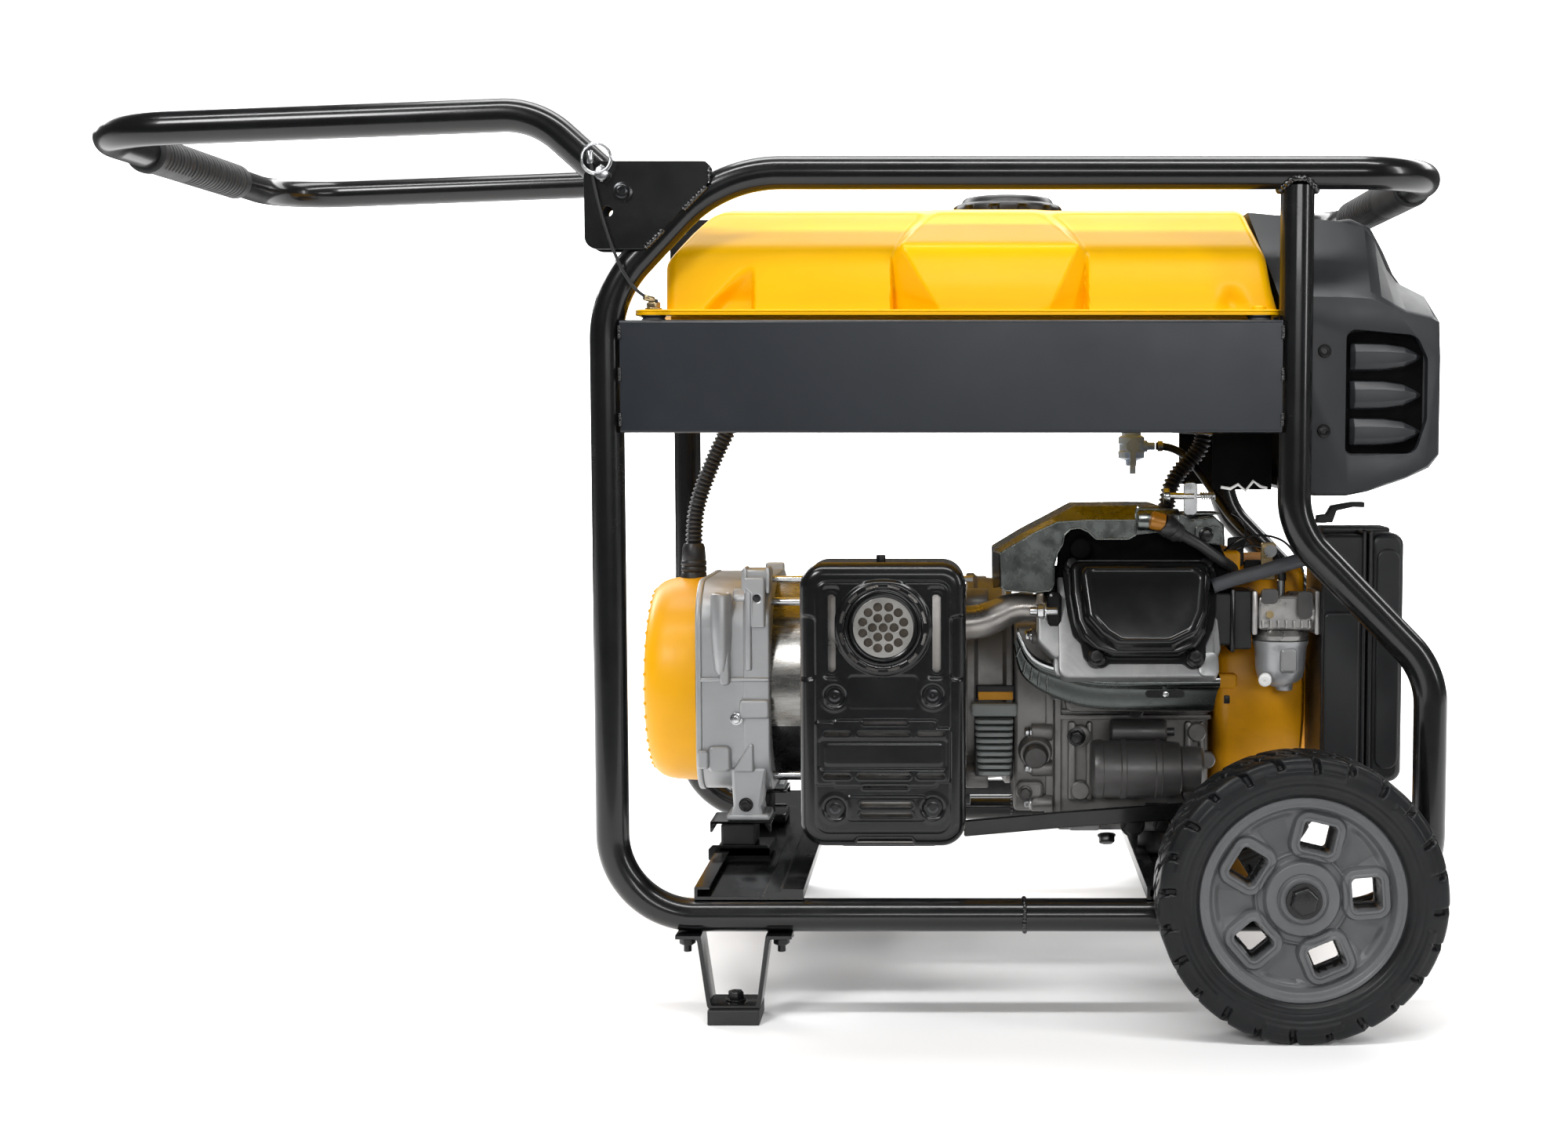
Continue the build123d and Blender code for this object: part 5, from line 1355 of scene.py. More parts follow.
vb_out = [(-67, 60), (-67.7, 47.4), (-65.7, 26.4), (-62.8, 2.3), (-58.3, -18.2), (-51.1, -26.0), (-48.5, -40), (-41, -49.5), (-30, -49.5), (-24, -45.5), (43.7, -45.5),
          (50, -51), (60.5, -49.5), (65, -40), (65.5, -28.5), (72.6, -13.1), (76.6, 5.8), (78.3, 40.3), (77.0, 60)]
vb_r = rp(vb_out, [7, 6, 8, 8, 8, 5, 6, 7, 7, 5, 5, 7, 7, 5, 5, 8, 8, 6, 7], 10)
boss = [(-51.2, 34.8), (-49, 42), (58.8, 42), (68.4, 35.2), (63.8, -3.7), (55.0, -24.0), (32.0, -35.7), (-17.9, -35.4), (-32.2, -25.6), (-46.3, -8.8)]
wl_ = rp([(-62, 52), (-61, 20), (-57, -8), (-50, -24), (-38, -36), (-22, -41), (40, -41), (56, -34), (66, -18), (71, 8), (72.5, 40), (71, 52)], [7, 9, 10, 10, 10, 8, 8, 10, 10, 10, 8, 7], 10)
vcl = [lloft("vc_base", [(vb_r, 204.0), (vb_r, 207.2), (scl(vb_r, 0.985, 5, 5), 208.4)], "engine_black", 0),
       lloft("vc_wall", [(wl_, 208), (scl(wl_, 0.99, 5, 5), 213), (scl(wl_, 0.975, 5, 5), 217), (scl(wl_, 0.95, 5, 5), 219.6), (scl(wl_, 0.91, 5, 5), 220.6)], "engine_black", 0)]
br_ = rp(boss, [7, 8, 8, 8, 12, 12, 12, 12, 12, 12], 10)
cxb, cyb = 8, 2
vcl.append(lloft("vc_boss", [(scl(br_, 1.055, cxb, cyb), 219), (scl(br_, 1.035, cxb, cyb), 225), (scl(br_, 1.015, cxb, cyb), 230), (scl(br_, 0.985, cxb, cyb), 233.4), (scl(br_, 0.945, cxb, cyb), 235.2),
                             (scl(br_, 0.89, cxb, cyb), 235.8), (scl(br_, 0.86, cxb, cyb), 235.0), (scl(br_, 0.83, cxb, cyb), 234.6)], "engine_black", 0))
for o in vcl:
    sharpen(o.data, 40)
for a, b_ in ((-37, -41), (55, -41), (-58, 50), (68, 50)):
    vcl.append(lathe("vc_ear", [(0, 0), (9, 0), (9, 4), (8, 5), (0, 5)], L(a, b_, 204.5), tuple(dvec), "engine_black", seg=36))
    FAST.append(hexb("vcb", L(a, b_, 209.5), tuple(dvec), 11, 6, "bolt_black", flange=8))
vcj = join("valve_cover_pressing", vcl)
sharpen(vcj.data, 40)
rep(vcj, "valve_cover")

hd = [lext("hd_a", rrect(-72, 74, -58, 52, 10), 172, 203.8, "cast_light", bev=2.0, seg=3),
      lext("hd_b", rrect(-76, 76, -54, -20, 6), 169, 196, "cast_light", bev=2.0, seg=3)]
for k in range(4):
    hd.append(lext("hd_f%d" % k, rrect(-78, 78, -60, 46, 8), 128 + k * 9.5, 131.5 + k * 9.5, "cast_light", bev=0.9, holes=[circ(0, 0, 42.5, 72)]))
hd += [bx("hd_port", 76, 90, -190, -150, 342, 384, "engine_black", bev=3, r=8),
       lext("hd_corner2", rrect(58, 77, -58, -34, 6), 170, 207, "cast_light", bev=2),
       lext("hd_left", rp([(-91, 4), (-66, 6), (-62, -13), (-52, -27), (-46, -38), (-76, -38), (-91, -22)], [4, 3, 3, 3, 3, 8, 7]), 176, 203, "cast_light", bev=2.5, seg=3),
       lext("hd_right", rp([(64, 0), (78, 2), (80, -30), (70, -52), (40, -58), (40, -48), (60, -42)], [3, 4, 6, 8, 4, 2, 3]), 176, 202, "cast_light", bev=2.5, seg=3),
       lext("hd_flange", rp([(-84, 14), (-66, 14), (-64, 48), (-72, 58), (-84, 52)], 5), 172, 192, "engine_black", bev=1.5)]
FAST.append(hexb("exhn", L(-76, 24, 192), tuple(dvec), 10, 6, "zinc", flange=7.5))
hdj = join("cylinder_head_casting", hd)
rep(hdj, "cylinder_head")

# crankcase, cover, sump
cc = [bx("cc_main", 86, 238, -104, 104, 153, 352, "crank_grey", bev=4, r=8),
      bx("cc_flange", 86, 94, -108, 108, 150, 350, "crank_grey", bev=1.5, r=10),
      bx("cc_line", 92, 240, -108.5, -100, 252, 256.5, "crank_grey", bev=1),
      bx("cc_line2", 92, 240, -107, -100, 259, 262, "crank_grey", bev=0.8),
      bx("cc_sump", 90, 205, -107, 107, 142.3, 153, "cast_light", bev=1.5, r=3),
      bx("cc_foot", 100, 132, -116, -90, 143, 160, "cast_light", bev=2.5, r=4),
      bx("cc_foot2", 168, 200, -116, -90, 143, 160, "cast_light", bev=2.5, r=4)]
for k, (a0, a1) in enumerate(((100, 108), (118, 124), (214, 222), (228, 234))):
    cc.append(bx("cc_rib%d" % k, a0, a1, -110, -100, 172, 250, "crank_grey", bev=2, r=3))
for (px, pz, pr, ph) in ((112, 236, 11, 9), (112, 182, 10, 8), (226, 240, 10, 8), (222, 178, 10, 9), (166, 262, 9, 6), (236, 212, 9, 6)):
    cc.append(lathe("cc_b", [(0, 0), (pr, 0), (pr * 0.94, ph), (pr * 0.8, ph + 1), (0, ph + 1)], (px, -103, pz), (0, -1, 0), "crank_grey", seg=32))
cc.append(bx("cyl_lo", 96, 224, -128, -96, 262, 330, "crank_grey", bev=4, r=8))
# oil filler neck and plug
cc += [lathe("oil_neck", [(0, 0), (17, 0), (16, 8), (14.5, 11), (0, 11)], (68, -108, 222), (0, -1, -0.25), "crank_grey", seg=48),
       lathe("oil_cap", [(0, 0), (12, 0), (12.5, 2), (12, 6), (10, 8.5), (0, 9)], (68, -119, 219), (0, -1, -0.25), "engine_grey", seg=40)]
ccj = join("crankcase_casting", cc)
rep(ccj, "crankcase")
cv = [ext("cv_main", rp([(-104, 160), (104, 160), (110, 200), (104, 345), (-104, 345), (-110, 200)], 10), "yz", 47, 84, "crank_grey", bev=4, seg=3),
      ext("cv_fl", rp([(-108, 156), (108, 156), (113, 200), (108, 350), (-108, 350), (-113, 200)], 10), "yz", 78, 86, "crank_grey", bev=1.2)]
for (py, pz) in ((-108, 170), (-111, 205), (-110, 240), (-108, 300), (-108, 335)):
    cv.append(disc("cv_ear", (64, py, pz), (1, 0, 0), 8.5, 21, "crank_grey", bev=1.5, seg=28))
    FAST.append(hexb("cvb", (64, py, pz), (-1, 0, 0), 9, 5, "zinc", flange=6.5))
cv.append(bx("cv_boss", 49, 76, -116, -104, 175, 192, "crank_grey", bev=3, r=6))
cvj = join("crankcase_cover_casting", cv)
rep(cvj, "crankcase_cover")
FAST.append(hexb("ccb1", (108, -113, 236), (0, -1, 0), 12, 7, "bolt_black", washer=9))
FAST.append(hexb("ccb2", (58, -117, 181), (0, -1, 0), 10, 5, "engine_grey", washer=7))
FAST.append(hexb("drain", (138, -112, 139), (0, -0.5, -1), 14, 7, "bolt_black", washer=9))
FAST.append(hexb("mountb", (163, -118, 150), (0, -1, 0), 17, 8, "bolt_black", washer=12))
FAST.append(hexb("mountc", (192, -116, 150), (0, -1, 0), 13, 6, "bolt_black", washer=9))

sm = [lathe("sm_body", [(0, 0), (24, 0), (27.5, 2), (28.5, 5), (28.5, 10), (27.6, 11), (27.6, 27), (28.8, 28), (28.8, 32), (27.6, 33), (27.6, 60), (28.8, 61), (28.8, 66),
                        (27.2, 67), (26, 84), (22, 86), (22, 104), (19, 107), (0, 107)], (121, -142, 209), (1, 0, 0), "engine_grey", seg=80),
      bx("sm_arm", 148, 172, -132, -105, 194, 224, "crank_grey", bev=3),
      lathe("sm_sol", [(0, 0), (11, 0), (12.5, 1.5), (12.5, 52), (11, 54), (4, 54), (4, 62), (0, 62)], (140, -128, 243), (1, 0, 0), "engine_grey", seg=48)]
smj = join("starter_motor_body", sm)
rep(smj, "starter_motor")

# cooling shrouds
O_ = [(26.4, 386), (26.4, 421), (40.3, 431.1), (70, 447.5), (100.9, 463.4), (140, 464.6), (177, 464.4), (198.8, 463.4), (212.5, 456.4), (226, 452), (239, 447.6), (241.2, 428)]
I_ = [(78, 386), (82.5, 412), (86, 424), (90, 431), (97, 438.5), (121, 437), (150, 436.5), (159.5, 443), (166, 450), (190, 451), (225, 440), (240.8, 428)]


def loftsheet(name, rows_, mat, th=1.4, bevw=0.0, rnd=True):
    m_ = len(rows_[0])
    vs = [p for r_ in rows_ for p in r_]
    fs = []
    for i in range(len(rows_) - 1):
        for k in range(m_ - 1):
            fs.append((i * m_ + k, i * m_ + k + 1, (i + 1) * m_ + k + 1, (i + 1) * m_ + k))
    o = mk(name, vs, fs, mat, sharp=False)
    md_ = o.modifiers.new("sub", "SUBSURF")
    md_.levels = md_.render_levels = 2
    md_.boundary_smooth = "ALL" if rnd else "PRESERVE_CORNERS"
    md2 = o.modifiers.new("sol", "SOLIDIFY")
    md2.thickness = th * MM
    md2.offset = 0
    bake(o)
    o.data.polygons.foreach_set("use_smooth", [True] * len(o.data.polygons))
    sharpen(o.data, 45)
    return o


def mixp(A, B, t):
    return [(a[0] * (1 - t) + b_[0] * t, a[1] * (1 - t) + b_[1] * t) for a, b_ in zip(A, B)]


def facets(name, rows2, mat="galvanised", th=1.4, bev=1.0):
    # folded sheet: flat facets between rows of points
    m_ = len(rows2[0])
    vs = [p for r_ in rows2 for p in r_]
    fs = [(i * m_ + k, i * m_ + k + 1, (i + 1) * m_ + k + 1, (i + 1) * m_ + k) for i in range(len(rows2) - 1) for k in range(m_ - 1)]
    o = mk(name, vs, fs, mat, sharp=False)
    md2 = o.modifiers.new("sol", "SOLIDIFY")
    md2.thickness = th * MM
    md2.offset = 0
    bake(o)
    bevel(o, bev, 2, 8, True)
    return o


ridge = [(31.2, 420.2), (62.2, 438.2), (86.0, 449.4), (114.4, 451.2), (158.4, 451.2)]
outer = [(26.0, 420.4), (53.7, 437.1), (79.3, 450.6), (102.3, 462.7), (161.7, 463.4)]
back_ = [(26.0, 420.4), (53.7, 437.1), (79.3, 450.6), (102.3, 462.9), (161.7, 463.6)]
s1 = [facets("shroud_top_left", [[(p[0], -188.2, p[1]) for p in ridge], [(p[0], -166, p[1]) for p in outer], [(p[0], -72, p[1]) for p in back_]], bev=1.3)]
front = [(31.2, 420.2), (62.2, 438.2), (86.0, 449.4), (114.4, 451.2), (158.4, 451.2), (158.5, 437.3), (152, 433.6), (121.8, 433.6), (114.4, 440.6), (106.2, 444.2), (98.1, 443.0), (91.6, 437.2),
         (90, 428.3), (85.1, 420.2), (82.2, 408.7), (82.2, 392), (79.5, 385.4), (62.3, 383.6), (36.9, 385.7), (32.8, 389.0)]
s1.append(ext("shroud_front", rp(front, [1, 1, 2, 2, 0.5, 2, 2, 3, 3, 3, 4, 4, 4, 4, 3, 3, 3, 2, 2, 2]), "xz", -189.2, -187.4, "galvanised", bev=0.6, concave=True))
s1.append(bead("shroud_rim", [(p[0], -188.8, p[1]) for p in rp(front, [1, 1, 2, 2, 0.5, 2, 2, 3, 3, 3, 4, 4, 4, 4, 3, 3, 3, 2, 2, 2])[8:]], 1.1, wob=0.0, mat="galvanised"))
s1.append(facets("shroud_left_end", [[(31.4, -188, 420.0), (32.8, -188, 389.0)], [(26.0, -166, 420.4), (26.4, -166, 386.0)], [(26.0, -72, 420.4), (26.4, -72, 386.0)]], "engine_black", bev=0.8))
outr = [(161.7, 463.4), (179.8, 463.3), (201.3, 456.1), (211.2, 451.4), (232.6, 454.6), (241.0, 447), (242.0, 427.2)]
s1.append(facets("shroud_top_right", [[(p[0], -184.5, p[1] - 1.0) for p in outr], [(p[0], -172, p[1]) for p in outr], [(p[0], -72, p[1]) for p in outr]], bev=1.0))
plate = [(158.4, 462.4), (179.8, 462.4), (201.3, 455.2), (211.2, 450.5), (232.6, 453.6), (240.0, 446.4), (241.0, 427.2), (224.5, 428.9), (208, 437.2), (190, 440), (158.4, 437)]
s1.append(ext("shroud_front_right", rp(plate, [1, 2, 2, 2, 2, 2, 1, 3, 3, 3, 2]), "xz", -185.6, -184, "galvanised", bev=0.6, concave=True))
s1.append(lathe("plug_pipe", [(0, 0), (10.0, 0), (11.0, 1), (11.0, 38), (10.0, 39), (0, 39)], (160.5, -180.5, 450.8), (1, 0, 0), "galvanised", seg=48))
s1.append(facets("shroud_fold", [[(158.4, -186.5, 451.6), (158.4, -186.5, 437.0)], [(158.9, -184.5, 462.0), (158.9, -184.0, 437.0)]], bev=0.4))
s1.append(ext("shroud_tab", rrect(214, 238, 429, 446, 4), "xz", -188, -185.4, "galvanised", bev=0.6))
# near-black filler plate behind the shroud, with a boss and a rib: painted shade in the gap between shroud and valve
# cover
s1.append(ext("head_shade_filler", rp([(84, 380), (87, 424), (97, 441), (106, 447), (160, 447), (206, 446), (234, 444), (238, 430), (246, 414), (250, 380)], 4), "xz", -172, -163, "painted_shade_black",
              bev=2.5, concave=True))
s1.append(disc("shade_filler_boss", (108, -172, 424), (0, -1, 0), 10, 7, "painted_shade_black", bev=2))
s1.append(sweep("shade_filler_rib", [(96, -173, 412), (232, -173, 412)], 2.2, "engine_black", seg=16))
s1 = join("top_shroud_sheet", s1)
T_ = [(48.4, 348.1), (51.7, 339.9), (56.5, 329.0), (65.7, 319.5), (80, 313.8), (98.5, 308.6), (118.2, 302.6), (170, 303.0), (237.9, 303.6)]
B_ = [(45.6, 333.0), (46.4, 324.0), (51.0, 305.5), (62.0, 296.0), (78.0, 286.5), (95, 280.0), (115.4, 273.5), (170, 272.4), (231.5, 271.9)]
rows_ = []
for Y_, t_, dz in ((-173, -0.02, 0.0), (-180, 0.0, 1.0), (-188, 0.0, 1.6), (-193.5, 0.0, 0.2), (-196.0, 0.0, -3.0), (-196.0, 0.0, -6.2), (-193.6, 0.0, -8.4), (-192.6, 0.36, 0.0), (-192.2, 0.9, 0.0),
                    (-190.0, 0.99, 0.0), (-182, 1.0, 0.0)):
    rows_.append([(p[0], Y_, p[1] + dz) for p in mixp(T_, B_, t_)])
s2 = loftsheet("lower_shield_sheet", rows_, "shield_steel", rnd=False)
s2b = []
for k, (xa_, xb_) in enumerate(((51, 47.5), (56.5, 53.5), (62.5, 60.5), (69, 68), (76, 76.5))):
    za_ = np.interp(xa_, [p[0] for p in T_], [p[1] for p in T_]) - 9
    zb_ = np.interp(xb_, [p[0] for p in B_], [p[1] for p in B_]) + 4
    s2b.append(sweep("shield_rib%d" % k, [(xa_, -192.8, za_), (xb_, -192.2, zb_)], 1.5, "galvanised", seg=14))
# rolled top edge of the shield in bright zinc, brighter than the sheet: partly the real edge, partly painted highlight
s2b.append(sweep("shield_rim_highlight", resample(nurbs([(p[0], -195.4, p[1] - 1.2) for p in T_], 10), 2.0), 1.5, "zinc", seg=16))
s2b.append(ext("shield_slot", rrect(168, 205, 285, 292, 3.4, 20), "xz", -194.2, -192.4, "bolt_black", bev=0.3))
s2b = join("shield_ribs", s2b)
shj = join("engine_cooling_shrouds", [s1, s2, s2b])
sharpen(shj.data, 45)
rep(shj, "cooling_shrouds")
FAST.append(hexb("shs", (224.5, -188, 438), (0, -1, 0), 9, 4, "bolt_black", flange=7))
FAST.append(hexb("shb", (187, -194.2, 288.5), (0, -1, 0), 6, 2.2, "zinc"))

# spark plug boot and lead
bt = [lathe("boot", [(0, 0), (7.5, 0), (9, 2), (9.6, 8), (9, 14), (6.5, 17), (0, 18)], (187, -198, 446), (0.7, 0.35, -0.45), "black_rubber", seg=40),
      lathe("boot2", [(0, 0), (9.8, 0), (10.6, 2), (10.6, 9), (9.4, 12), (7.4, 13.5), (6.4, 24), (0, 24)], (183, -199, 449), (0.78, 0.25, -0.5), "black_rubber", seg=40),
      lathe("bootcap", [(0, 0), (7.4, 0), (8.4, 1.5), (8.4, 13), (0, 15)], (171.5, -199, 452), (0.93, 0.05, -0.2), "amber_cap", seg=40)]
ld = resample(nurbs([(192, -196, 442), (212, -193, 433), (230, -186, 420), (244, -178, 410), (254, -160, 404), (256, -140, 400)], 12), 1.5)
bt.append(sweep("lead", ld, np.interp(np.linspace(0, 1, len(ld)), [0, 0.15, 1], [6.0, 5.4, 5.2]), "black_rubber", seg=24))
btj = join("plug_boot_and_lead", bt)
rep(btj, "spark_plug_and_lead")

# fan shroud and recoil starter
fsp = [(60, 243), (104, 243), (116, 244.5), (123, 249), (125, 256), (125, 318), (123, 326), (117, 329.4), (90, 329.8), (78, 329.8)]
fs_ = [lathe("fan_drum", fsp, (0, 0, AZ), (1, 0, 0), "shroud_yellow", seg=160, angle=50, close=True),
       bx("fan_duct", 243, 328, -124, 60, 330, 406, "shroud_yellow", bev=6, seg=3, r=10),
       bx("fan_top", 241, 262, -150, 30, 396, 420, "shroud_yellow", bev=3, r=4),
       bx("fan_tab", 243, 262, -134, -118, 286, 300, "shroud_yellow", bev=2, r=3),
       bx("fan_blk", 250.5, 256, -125.6, -120, 270, 278, "black_plastic", bev=0.8)]
fj = join("fan_shroud_moulding", fs_)
sharpen(fj.data, 45)
rep(fj, "fan_shroud")
rcl = [lathe("rec_body", [(0, 357), (60, 357), (76, 356.4), (82, 353), (84, 348), (84, 336), (89.5, 335), (90, 330.2), (78, 330.2)], (0, 0, AZ), (1, 0, 0), "yellow_plastic",
             seg=140, angle=45)]
for k in range(18):
    a = 2 * PI * k / 18
    rcl.append(ext("rv%d" % k, rrect(34, 68, -3, 3, 2.8, 25), "xz", 356.6, 357.4, "black_plastic", bev=0.2,
                   fm=lambda p, h, a=a: (h, p[0] * math.cos(a) - p[1] * math.sin(a), AZ + p[0] * math.sin(a) + p[1] * math.cos(a))))
rj = join("recoil_starter_cover", rcl)
rep(rj, "recoil_starter")
gr = ext("recoil_pull_grip", rrect(18, 62, AZ + 46, AZ + 64, 7), "yz", 367, 380, "black_plastic", "recoil_grip", bev=4, seg=4)
gr2 = disc("recoil_neck", (357.6, 40, AZ + 55), (1, 0, 0), 8, 10, "black_plastic", "recoil_grip", bev=1.5)
grj = join("recoil_handle", [gr, gr2])
rep(grj, "recoil_grip")

# carburettor
cb = [bx("cb_ins", 231, 252, -176, -130, 332, 382, "black_plastic", bev=2, r=4),
      bx("cb_ins2", 252, 270, -172, -132, 328, 384, "black_plastic", bev=1.5, r=3),
      bx("cb_ins3", 249, 254, -178, -128, 326, 386, "engine_black", bev=1, r=3),
      lathe("cb_barrel", [(0, 0), (19, 0), (19, 5), (16, 7), (15, 20), (17, 24), (17, 34), (20, 37), (20, 62), (0, 62)], (270, -152, 362), (1, 0, 0), "carb_metal", seg=56),
      bx("cb_body", 276, 328, -172, -134, 346, 379, "carb_metal", bev=3, r=5),
      bx("cb_flangeL", 270, 275, -176, -130, 342, 384, "carb_metal", bev=1.2, r=6),
      bx("cb_flangeR", 329, 334, -176, -130, 342, 384, "carb_metal", bev=1.2, r=6),
      lathe("cb_bowltop", [(0, 336), (25.5, 336), (27, 337), (27, 341), (25, 342.5), (21, 346), (0, 346)], (300, -154, 0), (0, 0, 1), "carb_metal", seg=72),
      lathe("cb_bowl", [(0, 291), (9, 291), (10, 293), (17, 296), (21.5, 300), (23.5, 308), (24.2, 322), (25.2, 330), (26.5, 332.5), (26.5, 335.6), (0, 335.6)], (300, -154, 0), (0, 0, 1),
            "cast_aluminium", seg=72),
      lathe("cb_stem", [(0, 0), (7, 0), (8, 1), (8, 7), (0, 7)], (304, -154, 287), (0, 0, 1), "cast_aluminium", seg=36),
      bx("cb_lug", 296, 312, -181, -170, 306, 330, "cast_light", bev=3, r=4),
      lathe("cb_scr", [(0, 0), (6.2, 0), (6.4, 1), (6.0, 5), (4.6, 6), (1.2, 6), (1.0, 4.4), (0, 4.4)], (283, -174, 300), (-0.2, -1, -0.15), "valve_chrome", seg=40),
      lathe("cb_pipe", [(0, 0), (4, 0), (4, 14), (3, 15), (0, 15)], (300, -153, 378), (0, 0, 1), "zinc", seg=28),
      bx("cb_lever", 278, 294, -178, -175, 372, 386, "engine_grey", bev=0.6, r=4),
      lathe("cb_shaft", [(0, 0), (4.5, 0), (4.5, 12), (0, 12)], (318, -180, 366), (0, 1, 0), "zinc", seg=28),
      bx("cb_cho", 312, 326, -181, -178.5, 358, 384, "engine_grey", bev=0.6, r=5),
      lathe("cb_idle", [(0, 0), (3.5, 0), (3.5, 4), (2, 4), (2, 18), (0, 18)], (286, -182, 362), (0, 1, 0), "zinc_yellow", seg=28)]
for k in range(7):
    t_ = k / 6
    cb.append(bx("cb_tick", 280 + 44 * t_ - 0.8, 280 + 44 * t_ + 0.8, -177.5, -172, 349, 356, "carb_metal", bev=0.4))
# governor linkage on top
cb += [bx("gv_plate", 205, 218, -170, -167.5, 455, 486, "zinc", bev=0.6, r=4),
       bx("gv_plate2", 205, 240, -167, -120, 455, 457, "galvanised", bev=0.6),
       lathe("gv_screw", [(0, 0), (5, 0), (5, 3), (3.2, 3), (3.2, 26), (0, 26)], (189, -168, 473), (1, 0, 0), "zinc", seg=32),
       disc("gv_knurl", (186, -168, 473), (1, 0, 0), 7.5, 6, "zinc", bev=1),
       lathe("gv_stem", [(0, 0), (2, 0), (2, 40), (0, 40)], (195, -168, 473), (1, 0, 0), "zinc", seg=20)]
sprg = [(221 + 14 * t_ / (2 * PI * 6), -168 + 3.2 * math.cos(t_), 473 + 3.2 * math.sin(t_)) for t_ in np.linspace(0, 2 * PI * 6, 180)]
cb.append(sweep("gv_spring", sprg, 0.7, "zinc", seg=8))
for i, pts in enumerate(([(246, -150, 420), (262, -152, 434), (290, -154, 436), (312, -152, 424), (322, -150, 400)],
                         [(244, -130, 412), (268, -132, 428), (296, -134, 418), (318, -136, 404)],
                         [(252, -156, 456), (262, -156, 452), (268, -156, 436), (262, -156, 420)])):
    cb.append(sweep("gv_rod%d" % i, resample(nurbs(pts, 10), 2), 1.2, "bolt_shine", seg=10))
cb += [bx("gv_br", 252, 268, -128, -124, 404, 432, "bolt_black", bev=0.8, r=3), bx("gv_br2", 268, 300, -130, -126, 398, 410, "bolt_black", bev=0.8, r=3),
       bx("gv_br3", 282, 296, -146, -142, 392, 428, "zinc_yellow", bev=0.8, r=2), lathe("gv_pv", [(0, 0), (6, 0), (6, 5), (0, 5)], (290, -148, 420), (0, -1, 0), "zinc", seg=28)]
cj = join("carburettor_assembly", cb)
rep(cj, "carburetor")

# air cleaner
acs = [bx("ac_base", 334.2, 376, -183, -91, 206, 437, "black_plastic", bev=2.5, r=8),
       bx("ac_cover", 379, 411, -184, -90, 203, 439, "black_plastic", bev=6, seg=4, r=12),
       bx("ac_lip", 377.2, 381.2, -186, -88, 201.5, 440.5, "black_plastic", bev=1.2, r=12),
       bx("ac_lip2", 371.5, 375, -186, -88, 201.5, 440.5, "black_plastic", bev=1.2, r=12),
       bx("ac_panel", 336, 369.5, -187.5, -180, 214, 364, "black_plastic", bev=2, r=5),
       bx("ac_rib", 385, 407, -186, -182, 216, 424, "black_plastic", bev=1.6, r=10),
       bx("ac_top", 340, 404, -150, -110, 436, 443, "black_plastic", bev=2, r=3)]
acj = join("air_cleaner_box", acs)
rep(acj, "air_cleaner_base", "air_cleaner_cover")
chl = [ext("ch_a", rp([(342, 445), (342, 452), (351, 453), (356, 461.5), (376, 465), (388, 465), (388, 459.5), (377, 460), (361, 456.5), (357, 445)], 1.2), "xz", -106, -94, "black_plastic", "choke_lever", bev=0.7, concave=True),
       disc("ch_b", (347, -100, 444.4), (0, 0, 1), 6, 5, "black_plastic", "choke_lever", bev=1)]
chj = join("choke_lever_blade", chl)
rep(chj, "choke_lever")


# ================================================================= hoses and conduits
def hose(name, pts, r, mat, seg=28, rib=0.0, pitch=3.2, ends=()):
    P = resample(nurbs(pts, 16), 0.55 if rib else 2.0)
    s_ = np.arange(len(P)) * (np.sum(np.linalg.norm(np.diff(P, axis=0), axis=1)) / (len(P) - 1))
    rr = np.full(len(P), float(r))
    if rib:
        ph = (s_ % pitch) / pitch
        rr = r - rib * (0.5 - 0.5 * np.cos(2 * PI * ph)) ** 1.6
    return sweep(name, P, rr, mat, seg=seg, angle=60)


hs = [hose("h_alt", [(-236, 0, 561.8), (-238, 0, 544), (-258, 0, 505), (-276, 0, 458), (-279, 0, 424), (-279, 0, 400)], 9.0, "black_rubber", rib=2.2, pitch=4.6),
      hose("h_eng", [(240, -20, 530.3), (240, -20, 516), (214, -20, 492), (203, -20, 466), (203, -20, 440)], 9.0, "black_rubber", rib=2.2, pitch=4.6),
      hose("h_fuel", [(194.1, 0, 518), (212, 0, 518), (232, -10, 500), (250, -40, 470), (264, -80, 444), (284, -120, 424), (301, -153, 410), (301, -153, 392)], 4.0, "black_rubber"),
      hose("h_br", [(231, -186, 389), (250, -186, 396), (274, -188, 402), (298, -190, 410), (322, -184, 416), (334, -176, 418)], 6.8, "hose_grey"),
      lathe("boot_a", [(8.4, 0), (13, 0), (13, 4), (12, 5), (13, 6), (13, 10), (12, 11), (13, 12), (13, 16), (12, 17), (12.4, 18), (11.6, 30), (10, 34), (8.4, 34)], (-279, 0, 384.5),
            (0, 0, 1), "black_rubber", seg=48, close=True),
      lathe("boot_b", [(0, 0), (13.5, 0), (14, 3), (13.5, 5), (0, 5)], (-279, 0, 380.5), (0, 0, 1), "black_rubber", seg=48),
      lathe("boot_c", [(8, 0), (11, 0), (11, 12), (8, 12)], (203, -20, 440), (0, 0, 1), "black_rubber", seg=36, close=True),
      lathe("fv_clamp", [(4, 0), (5.6, 0), (5.6, 5), (4, 5)], (196, 0, 518), (1, 0, 0), "zinc", seg=28, close=True)]
hj = join("hoses_and_wiring_sleeves", hs)
sharpen(hj.data, 60)
rep(hj, "hoses_and_conduits")

